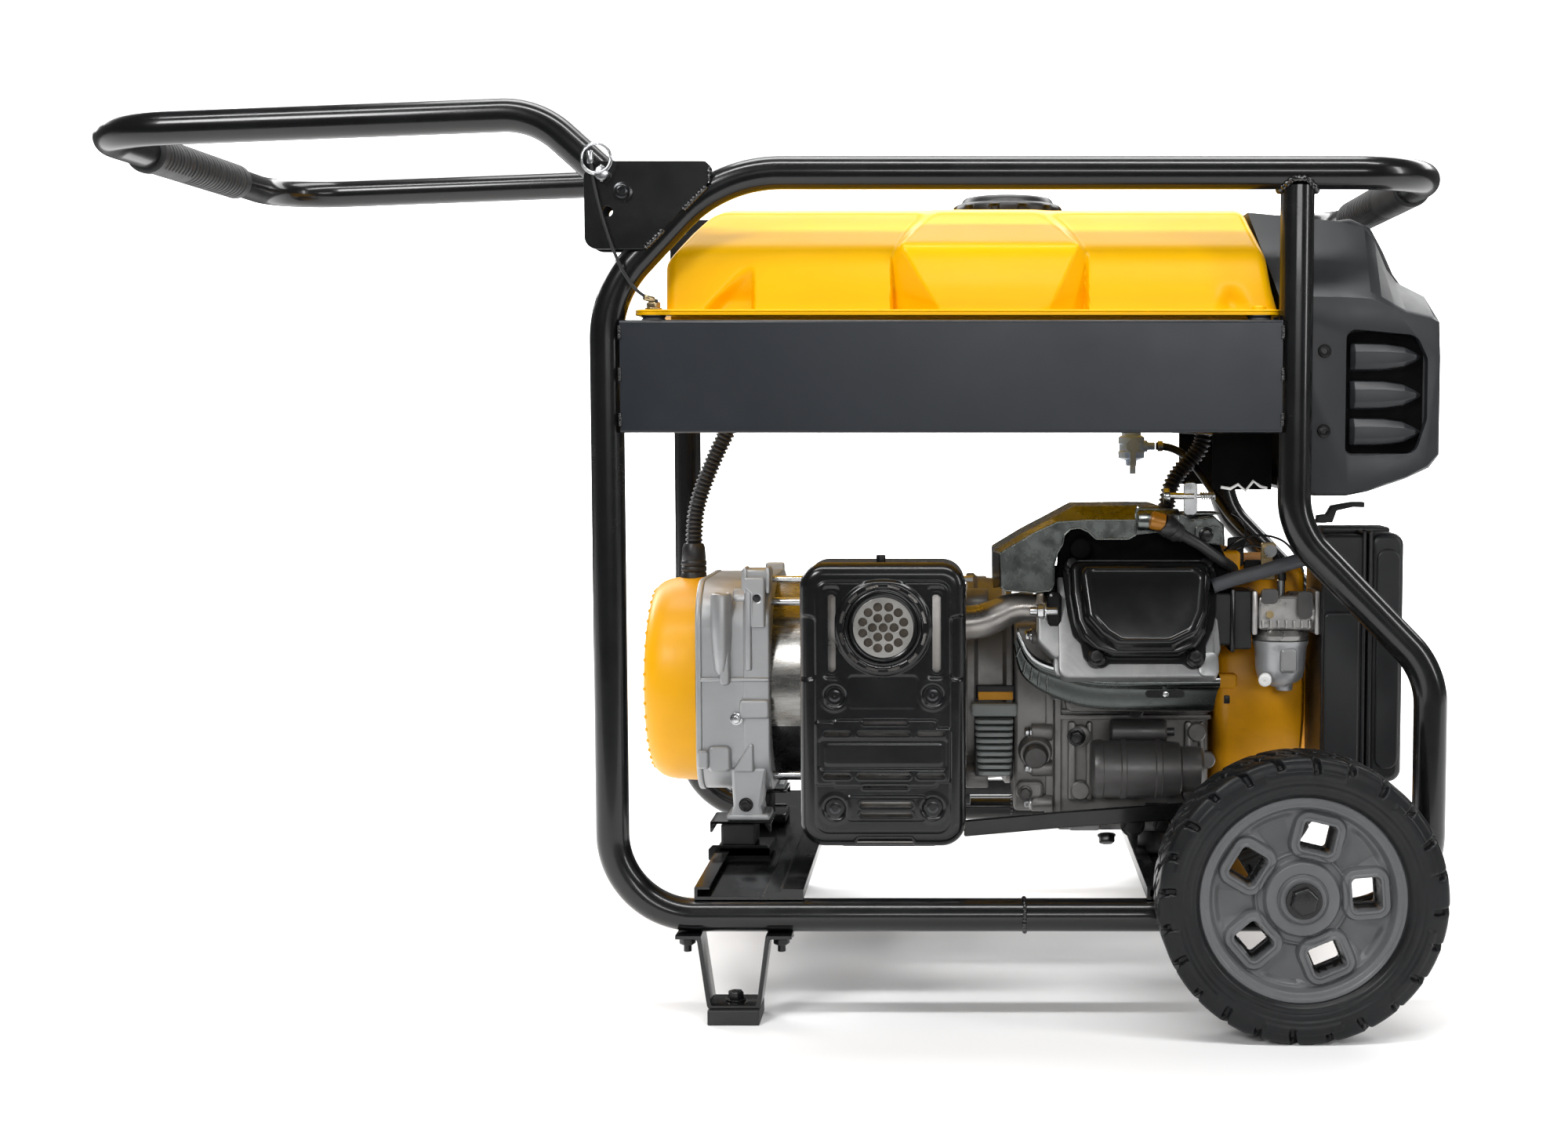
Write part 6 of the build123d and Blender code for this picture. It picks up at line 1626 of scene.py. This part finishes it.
# fuel valve
fv = [lathe("fv_a", [(0, 498), (5, 498), (5.6, 499), (5.6, 503), (10, 504.5), (13.2, 506), (13.6, 512), (12.2, 513.5), (12.2, 520), (13.4, 521), (13.4, 527), (10, 529), (9.5, 534), (0, 534)],
            (169, 0, 0), (0, 0, 1), "valve_body", seg=56),
      hexb("fv_h", (169, 0, 534), (0, 0, 1), 20, 12, "valve_body"),
      lathe("fv_s", [(0, 0), (6, 0), (6, 6), (4, 7), (4, 14), (0, 14)], (179, 0, 518), (1, 0, 0), "valve_body", seg=32),
      lathe("fv_p", [(0, 0), (6.5, 0), (6.5, 4), (0, 4)], (169, -11, 518), (0, -1, 0), "valve_body", seg=36),
      disc("fv_n", (169, 0, 546), (0, 0, 1), 7.8, 16, "valve_body")]
fvj = join("fuel_valve_body", fv)
rep(fvj, "fuel_valve")
lv = soften("fuel_valve_lever", "valve_body", 0.8)
DONE.add("fuel_valve_lever")

# ================================================================= base: cross members, mounts, feet
def channel(x0, x1, name):
    pr_ = rp([(x0, 111.1), (x0, 123), (x0 + 14, 123), (x0 + 14, 120.6), (x0 + 3, 120.6), (x0 + 3, 114.2), (x1 - 36, 114.2), (x1 - 36, 117.5), (x1 - 22, 117.5),
              (x1 - 20, 121), (x1, 121), (x1, 111.1)], [0.5, 1, 0.5, 0.5, 0.5, 0.5, 1, 1, 1, 1, 1, 0.5])
    return ext(name, pr_, "xz", -272, 272, "frame_black", bev=0.25, concave=True)


cm = join("cross_member_channels", [channel(-246, -147, "c1"), channel(164, 264, "c2")])
rep(cm, "cross_members")
mbk = []
for sgn in (-1, 1):
    y0, y1 = sorted((sgn * 60, sgn * 112))
    up = rp([(-251, 152.3), (-251, 158), (-248, 158), (-248, 155.2), (-193, 155.2), (-193, 158), (-190, 158), (-190, 149.4), (-251, 149.4)], 0.6)
    mbk.append(ext("mb_up", [(-251, 149.2), (-251, 151.4), (-191, 151.4), (-191, 149.2)], "xz", y0, y1, "frame_black", bev=0.5))
    mbk.append(ext("mb_lip", rp([(-251, 141), (-251, 151.4), (-191, 151.4), (-191, 141), (-193, 141), (-198, 149.2), (-244, 149.2), (-249, 141)], 1.0), "xz", y0 if sgn < 0 else y1 - 2.5,
                   (y0 + 2.5) if sgn < 0 else y1, "frame_black", bev=0.4))
    mbk.append(ext("mb_lo", rp([(-253, 113), (-253, 124), (-249, 128), (-196, 128), (-192, 124), (-192, 113)], 2), "xz", y0 if sgn < 0 else y1 - 3,
                   (y0 + 3) if sgn < 0 else y1, "frame_black", bev=0.5))
    mbk.append(bx("mb_base", -242, -192, y0, y1, 117, 126, "frame_black", bev=0.8))
    FAST.append(hexb("mbolt%d" % sgn, (-219, sgn * 88, 166), (0, 0, 1), 13, 8, "bolt_black", flange=10))
    FAST.append(disc("mstud%d" % sgn, (-219, sgn * 88, 166), (0, 0, 1), 4, 14, "bolt_black"))
mbk += [ext("bar", rp([(-2, 141.3), (-2, 157), (95, 166), (240, 176), (240, 162), (205, 158), (95, 150)], 2), "xz", -136, -130, "frame_black", bev=1.2),
        bx("bar_b1", 96, 124, -130, -108.2, 152, 160, "frame_black", bev=1), bx("bar_b2", 176, 198, -130, -108.2, 160, 170, "frame_black", bev=1),
        bx("mf_b", -120, -30, -126, -121, 130, 200, "frame_black", bev=1), 
        bx("tray", -165, 5, 122, 245, 123.2, 125.5, "frame_black", bev=0.5), bx("tray2", -138, 5, 243, 245, 125.5, 145, "frame_black", bev=0.5),
        bx("rearbar", -20, 160, 100, 106, 140, 156, "frame_black", bev=1),
        # the first sheet below is near-black: painted shade for the hollow under the control cowl
        bx("ctl_shade_sheet", 228, 283, -201.5, -200, 480, 532, "painted_shade_black", bev=0.4), bx("ctl2", 228, 283, -200, 180, 530.4, 532, "engine_black", bev=0.4),
        bx("ctl3", 228, 283, 100, 103, 476, 531, "engine_black", bev=0.4)]
# bright torn-looking edge of the heat sheet under the control box
zig = [(236, 481), (245, 479.5), (252, 483.5), (259, 477.5), (266, 486.5), (273, 481.5), (279, 480)]
mbk.append(sweep("foil", [(p[0], -201.5, p[1] + 1.5) for p in zig], 1.5, "valve_chrome", seg=10))
for sgn in (-1, 1):
    y0, y1 = sorted((sgn * 279, sgn * 252.5))
    mbk.append(bx("axb", 276, 312, y0, y1, 108, 146, "frame_black", bev=2, r=5))
    s0, s1_ = sorted((sgn * 295, sgn * 279.3))
    mbk.append(disc("axs", (294, s0, 127), (0, 1, 0), 13, s1_ - s0, "zinc", hole=8.2))
    # foot bracket: strap bent into a tapered U
    t_ = 3.4
    outl = [(-262, 81), (-262, 77.6), (-242.5, 77.6), (-233.5, 13.9), (-185.5, 13.9), (-177, 77.6), (-157, 77.6), (-157, 81), (-180.5, 81), (-189, 17.3), (-230, 17.3), (-239, 81)]
    fb_ = ext("fb", rp(outl, [0.5, 0.5, 3, 3.5, 3.5, 3, 0.5, 0.5, 1.5, 1, 1, 1.5]), "xz", *sorted((sgn * 284, sgn * 247)), "frame_black", bev=0.5, concave=True)
    mbk.append(fb_)
    for px in (-253, -167.5):
        FAST.append(hexb("fbn", (px, sgn * 266, 77.6), (0, 0, -1), 13, 7, "bolt_black", flange=11))
        FAST.append(disc("fbt", (px, sgn * 266, 62.5), (0, 0, 1), 3.6, 12, "bolt_black", bev=0.5, seg=24))
    FAST.append(hexb("fpb", (-209.5, sgn * 266, 17.3), (0, 0, 1), 13, 7, "bolt_black", washer=9))
    mbk.append(bead("axw%d" % sgn, [(276 + k * 0.6, sgn * 279.3, 109.5) for k in range(60)], 1.8))
mbj = join("brackets_and_straps", mbk)
rep(mbj, "mount_brackets")
pads = []
for sgn in (-1, 1):
    y0, y1 = sorted((sgn * 289, sgn * 242))
    # pad with a chamfered top
    pads.append(bx("pad", -233, -186, y0, y1, 0, 13.8, "mount_rubber", bev=1.2, seg=3))
pdj = join("rubber_feet", pads)
rep(pdj, "foot_pads")
rms = []
for sgn in (-1, 1):
    rms.append(bx("rm1", -241, -207, *sorted((sgn * 108, sgn * 64)), 126.4, 149.0, "mount_rubber", bev=2.5, seg=3, r=3))
    rms.append(lathe("rm2", [(0, 117), (15, 117), (15.5, 119), (12.5, 124), (12.5, 134), (15.5, 139), (15, 142), (0, 142)], (184, sgn * 80, 0), (0, 0, 1), "mount_rubber", seg=48))
    for px in (-279, 262):
        rms.append(lathe("rm3", [(4.2, 632.8), (10.8, 632.8), (11, 633.4), (9.8, 635.1), (11, 636.8), (10.8, 637.4), (4.2, 637.4)], (px, sgn * 258, 0), (0, 0, 1), "mount_rubber", seg=48, close=True))
        tm_ = "zinc_yellow" if px < 0 else "tank_yellow"
        FAST.append(disc("tw", (px, sgn * 258, 642.7), (0, 0, 1), 7.8, 1.5 if px < 0 else 0.8, tm_, bev=0.3))
        FAST.append(hexb("tb3", (px, sgn * 258, 644.2 if px < 0 else 643.4), (0, 0, 1), 11.5, 5.5 if px < 0 else 2.6, tm_))
rmj = join("rubber_mount_blocks", rms)
rep(rmj, "rubber_mounts")

bt_ = [bx("bat", -138, -5, 130, 232, 125.7, 236, "black_plastic", bev=3, r=4), bx("batlid", -139, -4, 129, 233, 238, 268, "black_plastic", bev=3, r=4)]
for px in (-115, -30):
    bt_.append(disc("bterm", (px, 215, 268), (0, 0, 1), 7, 13, "zinc", bev=1.2))
btj = join("starting_battery", bt_)
rep(btj, "battery")


# ================================================================= wheels
WY = 321.5
WX, WZ = 294.0, 127.0


def wheel(sgn, tag):
    body = "wheel_" + tag
    # ---- tyre: section round the tyre (r, h) with h along the outward axis
    key = [(91.5, 25), (94.5, 28.5), (100, 30.6), (108, 31.8), (116, 31.8), (121, 31.0), (124.6, 29.6), (126.4, 27.4), (127, 24), (127, 14), (127, 0), (127, -14), (127, -24),
           (126.4, -27.4), (124.6, -29.6), (121, -31.0), (116, -31.8), (108, -31.8), (100, -30.6), (94.5, -28.5), (91.5, -25)]
    K = np.array(key)
    s_ = np.r_[0, np.cumsum(np.linalg.norm(np.diff(K, axis=0), axis=1))]
    m_ = 120
    tt = np.linspace(0, s_[-1], m_)
    Rk = np.interp(tt, s_, K[:, 0])
    Hk = np.interp(tt, s_, K[:, 1])
    for _ in range(1):
        Rk[1:-1] = 0.25 * Rk[:-2] + 0.5 * Rk[1:-1] + 0.25 * Rk[2:]
        Hk[1:-1] = 0.25 * Hk[:-2] + 0.5 * Hk[1:-1] + 0.25 * Hk[2:]
    Rk = np.minimum(Rk, 127.0)
    A = 720
    th = np.linspace(0, 2 * PI, A, endpoint=False)
    R2 = np.repeat(Rk[:, None], A, 1)
    H2 = np.repeat(Hk[:, None], A, 1)
    TH, HH = np.meshgrid(th, Hk)
    RR = np.repeat(Rk[:, None], A, 1)
    # tread blocks: chevron grooves wrapping over the shoulder, offset between the two sides, and a zigzag middle groove
    nb = 24
    side = np.where(HH >= 0, 1.0, -1.0)
    ah = np.abs(HH)
    ph = (TH * nb / (2 * PI) + side * 0.22 + 0.030 * np.clip(ah - 4, 0, 30) * side * 0.7) % 1.0
    g1 = np.clip(1 - np.abs(ph - 0.5) / 0.12, 0, 1)
    ph2 = (TH * nb / (2 * PI) + side * 0.22 + 0.030 * np.clip(ah - 4, 0, 30) * side * 0.7 + 0.5) % 1.0
    g2 = np.clip(1 - np.abs(ph2 - 0.5) / 0.05, 0, 1) * np.clip((20 - ah) / 4, 0, 1)
    zz = 3.6 * np.sign(np.sin(TH * nb)) * np.clip(np.abs(np.sin(TH * nb)) * 2.5, 0, 1)
    g3 = np.clip(1 - np.abs(HH - zz) / 2.6, 0, 1)
    sh = np.clip((RR - np.where((np.floor(TH * nb / (2 * PI) + side * 0.22) % 2) > 0, 112.0, 117.5)) / 2.6, 0, 1)
    gg = np.clip(np.maximum(np.maximum(g1 * 2.2, g2 * 1.5), g3 * 1.5 * (ah < 9)), 0, 1) * sh
    gg = gg * gg * (3 - 2 * gg)
    depth = 6.4 * gg
    # raised pads on the sidewall
    npd = 6
    pp = (TH * npd / (2 * PI)) % 1.0
    pad = np.clip((0.30 - np.abs(pp - 0.5)) / 0.02, 0, 1) * np.clip(1 - np.abs(RR - 113.5) / 4.2, 0, 0.45) / 0.45 * (ah > 27)
    ringg = np.clip(1 - np.abs(RR - 104.5) / 1.2, 0, 1) * (ah > 27)
    ringg2 = np.clip(1 - np.abs(RR - 97.5) / 1.0, 0, 1) * (ah > 24)
    outn = 1.0 * pad - 0.8 * ringg - 0.7 * ringg2
    # normal direction of the section
    dR = np.gradient(Rk)
    dH = np.gradient(Hk)
    nn = np.hypot(dR, dH)
    nr, nh = (-dH / nn), (dR / nn)
    RF = RR - depth * np.clip(nr[:, None], 0.35, 1) + outn * 0
    HF = HH - side * depth * np.clip(np.abs(nh[:, None]), 0, 1) * 0.8 + side * (outn - 0.9) * (ah > 22)
    RF = np.minimum(RF, 127.0)
    HF = np.clip(HF, -31.9, 31.9)
    verts = []
    X_ = WX + RF * np.cos(TH)
    Y_ = sgn * (WY + HF)
    Z_ = WZ + RF * np.sin(TH)
    V_ = np.stack([X_, Y_, Z_], -1).reshape(-1, 3).tolist()
    fs = []
    for i in range(m_ - 1):
        for k in range(A):
            k2 = (k + 1) % A
            fs.append((i * A + k, i * A + k2, (i + 1) * A + k2, (i + 1) * A + k))
    ty = mk("tyre_%s_side" % tag, V_, fs, "tyre", body, sharp=False)
    rep(ty, "tyre_" + tag)

    # ---- rim outer face: polar grid
    nr_, na = 130, 900
    rs_ = np.linspace(8.3, 92.3, nr_)
    ta = np.linspace(0, 2 * PI, na, endpoint=False)
    TT, RS = np.meshgrid(ta, rs_)
    PXx, PZz = RS * np.cos(TT), RS * np.sin(TT)

    def sm(a, b_, x):
        t = np.clip((x - a) / (b_ - a), 0, 1)
        return t * t * (3 - 2 * t)

    Hh = 13.5 + 0 * RS
    Hh += 8.5 * (1 - sm(19.5, 22.5, RS))                      # centre boss
    Hh -= 2.0 * (1 - sm(13, 15, RS))
    Hh += 5.0 * (1 - sm(31.5, 34, RS)) * sm(20, 23, RS)       # hub disc
    Hh -= 2.0 * sm(33.5, 35, RS) * (1 - sm(38.5, 41, RS))     # ring recess round it
    Hh += 8.5 * sm(78, 83, RS)                                # outer ring
    Hh += 1.2 * sm(86.5, 88, RS) - 1.8 * sm(90.4, 91.6, RS)
    drop = np.zeros_like(RS)
    allframe = np.zeros_like(RS)
    rim2 = np.zeros_like(RS)
    holem = np.zeros(RS.shape, bool)
    for k in range(5):
        a = math.radians(4.7 + 72 * k)
        c_, s__ = math.cos(a), math.sin(a)
        lx = PXx * c_ + PZz * s__ - 56.0
        lz = -PXx * s__ + PZz * c_
        ax_, az_ = np.abs(lx) - 8.3, np.abs(lz) - 10.3
        dsd = np.minimum(np.maximum(ax_, az_), 0) + np.hypot(np.maximum(ax_, 0), np.maximum(az_, 0)) - 3.4
        fr = 1 - sm(8.0, 10.5, dsd)
        allframe = np.maximum(allframe, fr)
        rim2 = np.maximum(rim2, 1 - sm(3.0, 4.6, dsd))
        drop = np.maximum(drop, 1 - sm(-1.0, 1.4, dsd))
        holem |= dsd < -1.7
    # frames stepped twice round each window, sunk fields between
    Hh += 4.6 * allframe * sm(33, 37, RS) + 1.5 * rim2
    arms = np.clip(np.cos(5 * (TT - math.radians(4.7 + 36))) * 1.6, 0, 1)
    Hh -= 5.0 * arms * sm(40, 44, RS) * (1 - sm(72, 78, RS)) * (1 - allframe)
    Hh -= 22.0 * drop
    Hh = np.clip(Hh, -14, 25.6)
    X_ = WX + PXx
    Z_ = WZ + PZz
    Y_ = sgn * (WY + Hh)
    V_ = np.stack([X_, Y_, Z_], -1).reshape(-1, 3).tolist()
    fs = []
    for i in range(nr_ - 1):
        for k in range(na):
            k2 = (k + 1) % na
            if holem[i, k] and holem[i, k2] and holem[i + 1, k] and holem[i + 1, k2]:
                continue
            fs.append((i * na + k, i * na + k2, (i + 1) * na + k2, (i + 1) * na + k))
    rf = mk("rim_face", V_, fs, "rim_grey", body, sharp=False)
    # the steep walls dropping into each window take black plastic: painted shade inside the window openings
    rf.data.materials.append(M["black_plastic"])
    window_wall_shade = (drop > 0.35).ravel()
    rf.data.polygons.foreach_set("material_index", [1 if all(window_wall_shade[v] for v in p.vertices) else 0 for p in rf.data.polygons])
    rb = lathe("rim_back", [(8.3, -24), (18, -24), (18, -8), (40, -10), (80, -12), (84, -24), (92, -24), (92.3, 20), (90, 20), (86, -6), (20, -4), (12, 20), (8.3, 20)],
               (WX, sgn * WY, WZ), (0, sgn, 0), "rim_grey", body, seg=120, close=True)
    # windows go right through the back wall
    for k in range(5):
        a = math.radians(4.7 + 72 * k)
        tool = ext("tool", rrect(56 - 10.6, 56 + 10.6, -12.6, 12.6, 3.4), "xz", -40, 25, "rim_grey", bev=0,
                   fm=lambda p, h, a=a: (WX + p[0] * math.cos(a) - p[1] * math.sin(a), sgn * (WY + h), WZ + p[0] * math.sin(a) + p[1] * math.cos(a)))
        cut(rb, tool)
    rj_ = join("rim_%s_side" % tag, [rf, rb])
    sharpen(rj_.data, 60)
    rep(rj_, "wheel_rim_" + tag)


wheel(-1, "near")
wheel(1, "far")
ax = lathe("wheel_axle", [(0, -352), (7.4, -352), (8, -351), (8, 351), (7.4, 352), (0, 352)], (WX, 0, WZ), (0, 1, 0), "zinc", seg=40)
rep(ax, "axle")
for sgn in (-1, 1):
    FAST.append(lathe("axw", [(8.1, 0), (15.6, 0), (16, 0.6), (15.6, 1.4), (8.1, 1.4)], (WX, sgn * 346.0, WZ), (0, sgn, 0), "bolt_black", seg=48, close=True))
    FAST.append(hexb("axn", (WX, sgn * 347.2, WZ), (0, sgn, 0), 22, 5.4, "bolt_black"))
fj_ = join("bolts_screws_and_nuts", FAST)
rep(fj_, "fasteners")

# remaining CAD nodes keep their shape and take a procedural finish
FALL = {"rotor": "stator_steel", "crankshaft": "stator_steel", "piston": "cast_aluminium", "flywheel": "cast_iron", "air_filter": "filter_foam"}
SM = {"frame_black": "frame_black", "zinc_steel": "zinc", "cast_iron": "cast_iron", "stator_steel": "stator_steel", "cast_aluminium": "cast_aluminium", "filter_foam": "filter_foam"}
for nme, ob in NODES.items():
    if nme in DONE or ob.hide_render:
        continue
    mt = FALL.get(nme) or SM.get(SLOT[nme], SLOT[nme])
    ob.data.materials.clear()
    ob.data.materials.append(M.get(mt, M["black_plastic"]))
    ob.data.polygons.foreach_set("use_smooth", [True] * len(ob.data.polygons))
    sharpen(ob.data, 30)
    print("CAD node shown:", nme, mt)

# ================================================================= stage, light, camera
# pale sweep: flat floor running up into a far wall through a wide curve
sv, sf = [], []
spf = [(2.0, 0.0), (6.0, 0.0)] + [(6.0 + 5.0 * math.sin(a_), 5.0 - 5.0 * math.cos(a_)) for a_ in np.linspace(0.06, PI / 2, 24)] + [(11.0, 14.0)]
for yy_, zz_ in spf:
    sv += [(-16, yy_, zz_), (16, yy_, zz_)]
for i in range(len(spf) - 1):
    sf.append((2 * i, 2 * i + 1, 2 * i + 3, 2 * i + 2))
fl_me = bpy.data.meshes.new("floor_far")
fl_me.from_pydata(sv, [], sf)
fl_me.polygons.foreach_set("use_smooth", [True] * len(fl_me.polygons))
fl_o = bpy.data.objects.new("floor_far", fl_me)
bpy.context.scene.collection.objects.link(fl_o)
fl_o.visible_glossy = False
fn_me = bpy.data.meshes.new("floor")
fn_me.from_pydata([(-16, -1.3, 0), (16, -1.3, 0), (16, 2.0, 0), (-16, 2.0, 0)], [], [(0, 1, 2, 3)])
fn_o = bpy.data.objects.new("floor", fn_me)
bpy.context.scene.collection.objects.link(fn_o)
fm_, fnt, fb__ = _nt("floor_pale")
nz = _noise(fnt, 3.0, 3, 0.5)
rz = _ramp(fnt, nz.outputs["Fac"], [(0.3, 0.90), (0.7, 0.92)])
fnt.links.new(rz.outputs[0], fb__.inputs["Base Color"])
fb__.inputs["Roughness"].default_value = 0.9
fb__.inputs["Specular IOR Level"].default_value = 0.1
fl_me.materials.append(fm_)
fn_me.materials.append(fm_)

w = bpy.data.worlds.new("studio")
bpy.context.scene.world = w
w.use_nodes = True
wn = w.node_tree
for n_ in list(wn.nodes):
    wn.nodes.remove(n_)
wo = wn.nodes.new("ShaderNodeOutputWorld")
bg = wn.nodes.new("ShaderNodeBackground")
bg2 = wn.nodes.new("ShaderNodeBackground")
mixs = wn.nodes.new("ShaderNodeMixShader")
lpn = wn.nodes.new("ShaderNodeLightPath")
bg.inputs[0].default_value = (1, 1, 1, 1)
bg.inputs[1].default_value = 0.10
bg2.inputs[0].default_value = (1, 1, 1, 1)
bg2.inputs[1].default_value = 1.0
wn.links.new(lpn.outputs["Is Camera Ray"], mixs.inputs[0])
wn.links.new(bg.outputs[0], mixs.inputs[1])
wn.links.new(bg2.outputs[0], mixs.inputs[2])
wn.links.new(mixs.outputs[0], wo.inputs[0])


def area(name, loc, aim, size, power, size_y=None):
    li = bpy.data.lights.new(name, "AREA")
    li.energy = power
    li.shape = "RECTANGLE"
    li.size = size
    li.size_y = size_y or size
    o = bpy.data.objects.new(name, li)
    bpy.context.scene.collection.objects.link(o)
    o.location = loc
    v = Vector(aim) - Vector(loc)
    o.rotation_euler = v.to_track_quat("-Z", "Y").to_euler()
    return o


area("key", (-1.5, -3.0, 2.3), (0.1, 0, 0.4), 0.8, 50, 0.8)
area("strip", (0.15, -1.25, 2.7), (0.15, 0, 0.5), 3.2, 56, 0.25)
area("side", (3.1, -1.6, 1.5), (0.2, 0, 0.4), 0.35, 26, 1.8)
area("low", (0.8, -3.6, 1.1), (0.1, 0, 0.3), 1.9, 22, 0.35)
area("top", (0.1, 0.5, 3.2), (0.1, 0, 0.4), 2.2, 56, 1.0)
area("wall", (0.0, 5.5, 6.5), (0.0, 11.0, 2.5), 16.0, 1700, 3.0)
area("far_floor", (0.0, 5.2, 4.5), (0.0, 5.6, 0.0), 16.0, 1100, 4.0)
area("back", (-2.6, 2.4, 2.0), (0.0, 0, 0.5), 1.6, 40, 1.2)

cam = bpy.data.cameras.new("cam")
cam.sensor_width = 36
cam.sensor_fit = "HORIZONTAL"
cam.lens = 36 * 2644 / 2000
cam.shift_x = (1000 - 1232) / 2000
cam.clip_end = 50
co = bpy.data.objects.new("cam", cam)
bpy.context.scene.collection.objects.link(co)
co.location = (OX * MM, -2.122, 0.5426)
co.rotation_euler = (PI / 2 - 0.072, 0, 0)
bpy.context.scene.camera = co
vs_ = bpy.context.scene.view_settings
vs_.view_transform = "Standard"

import json
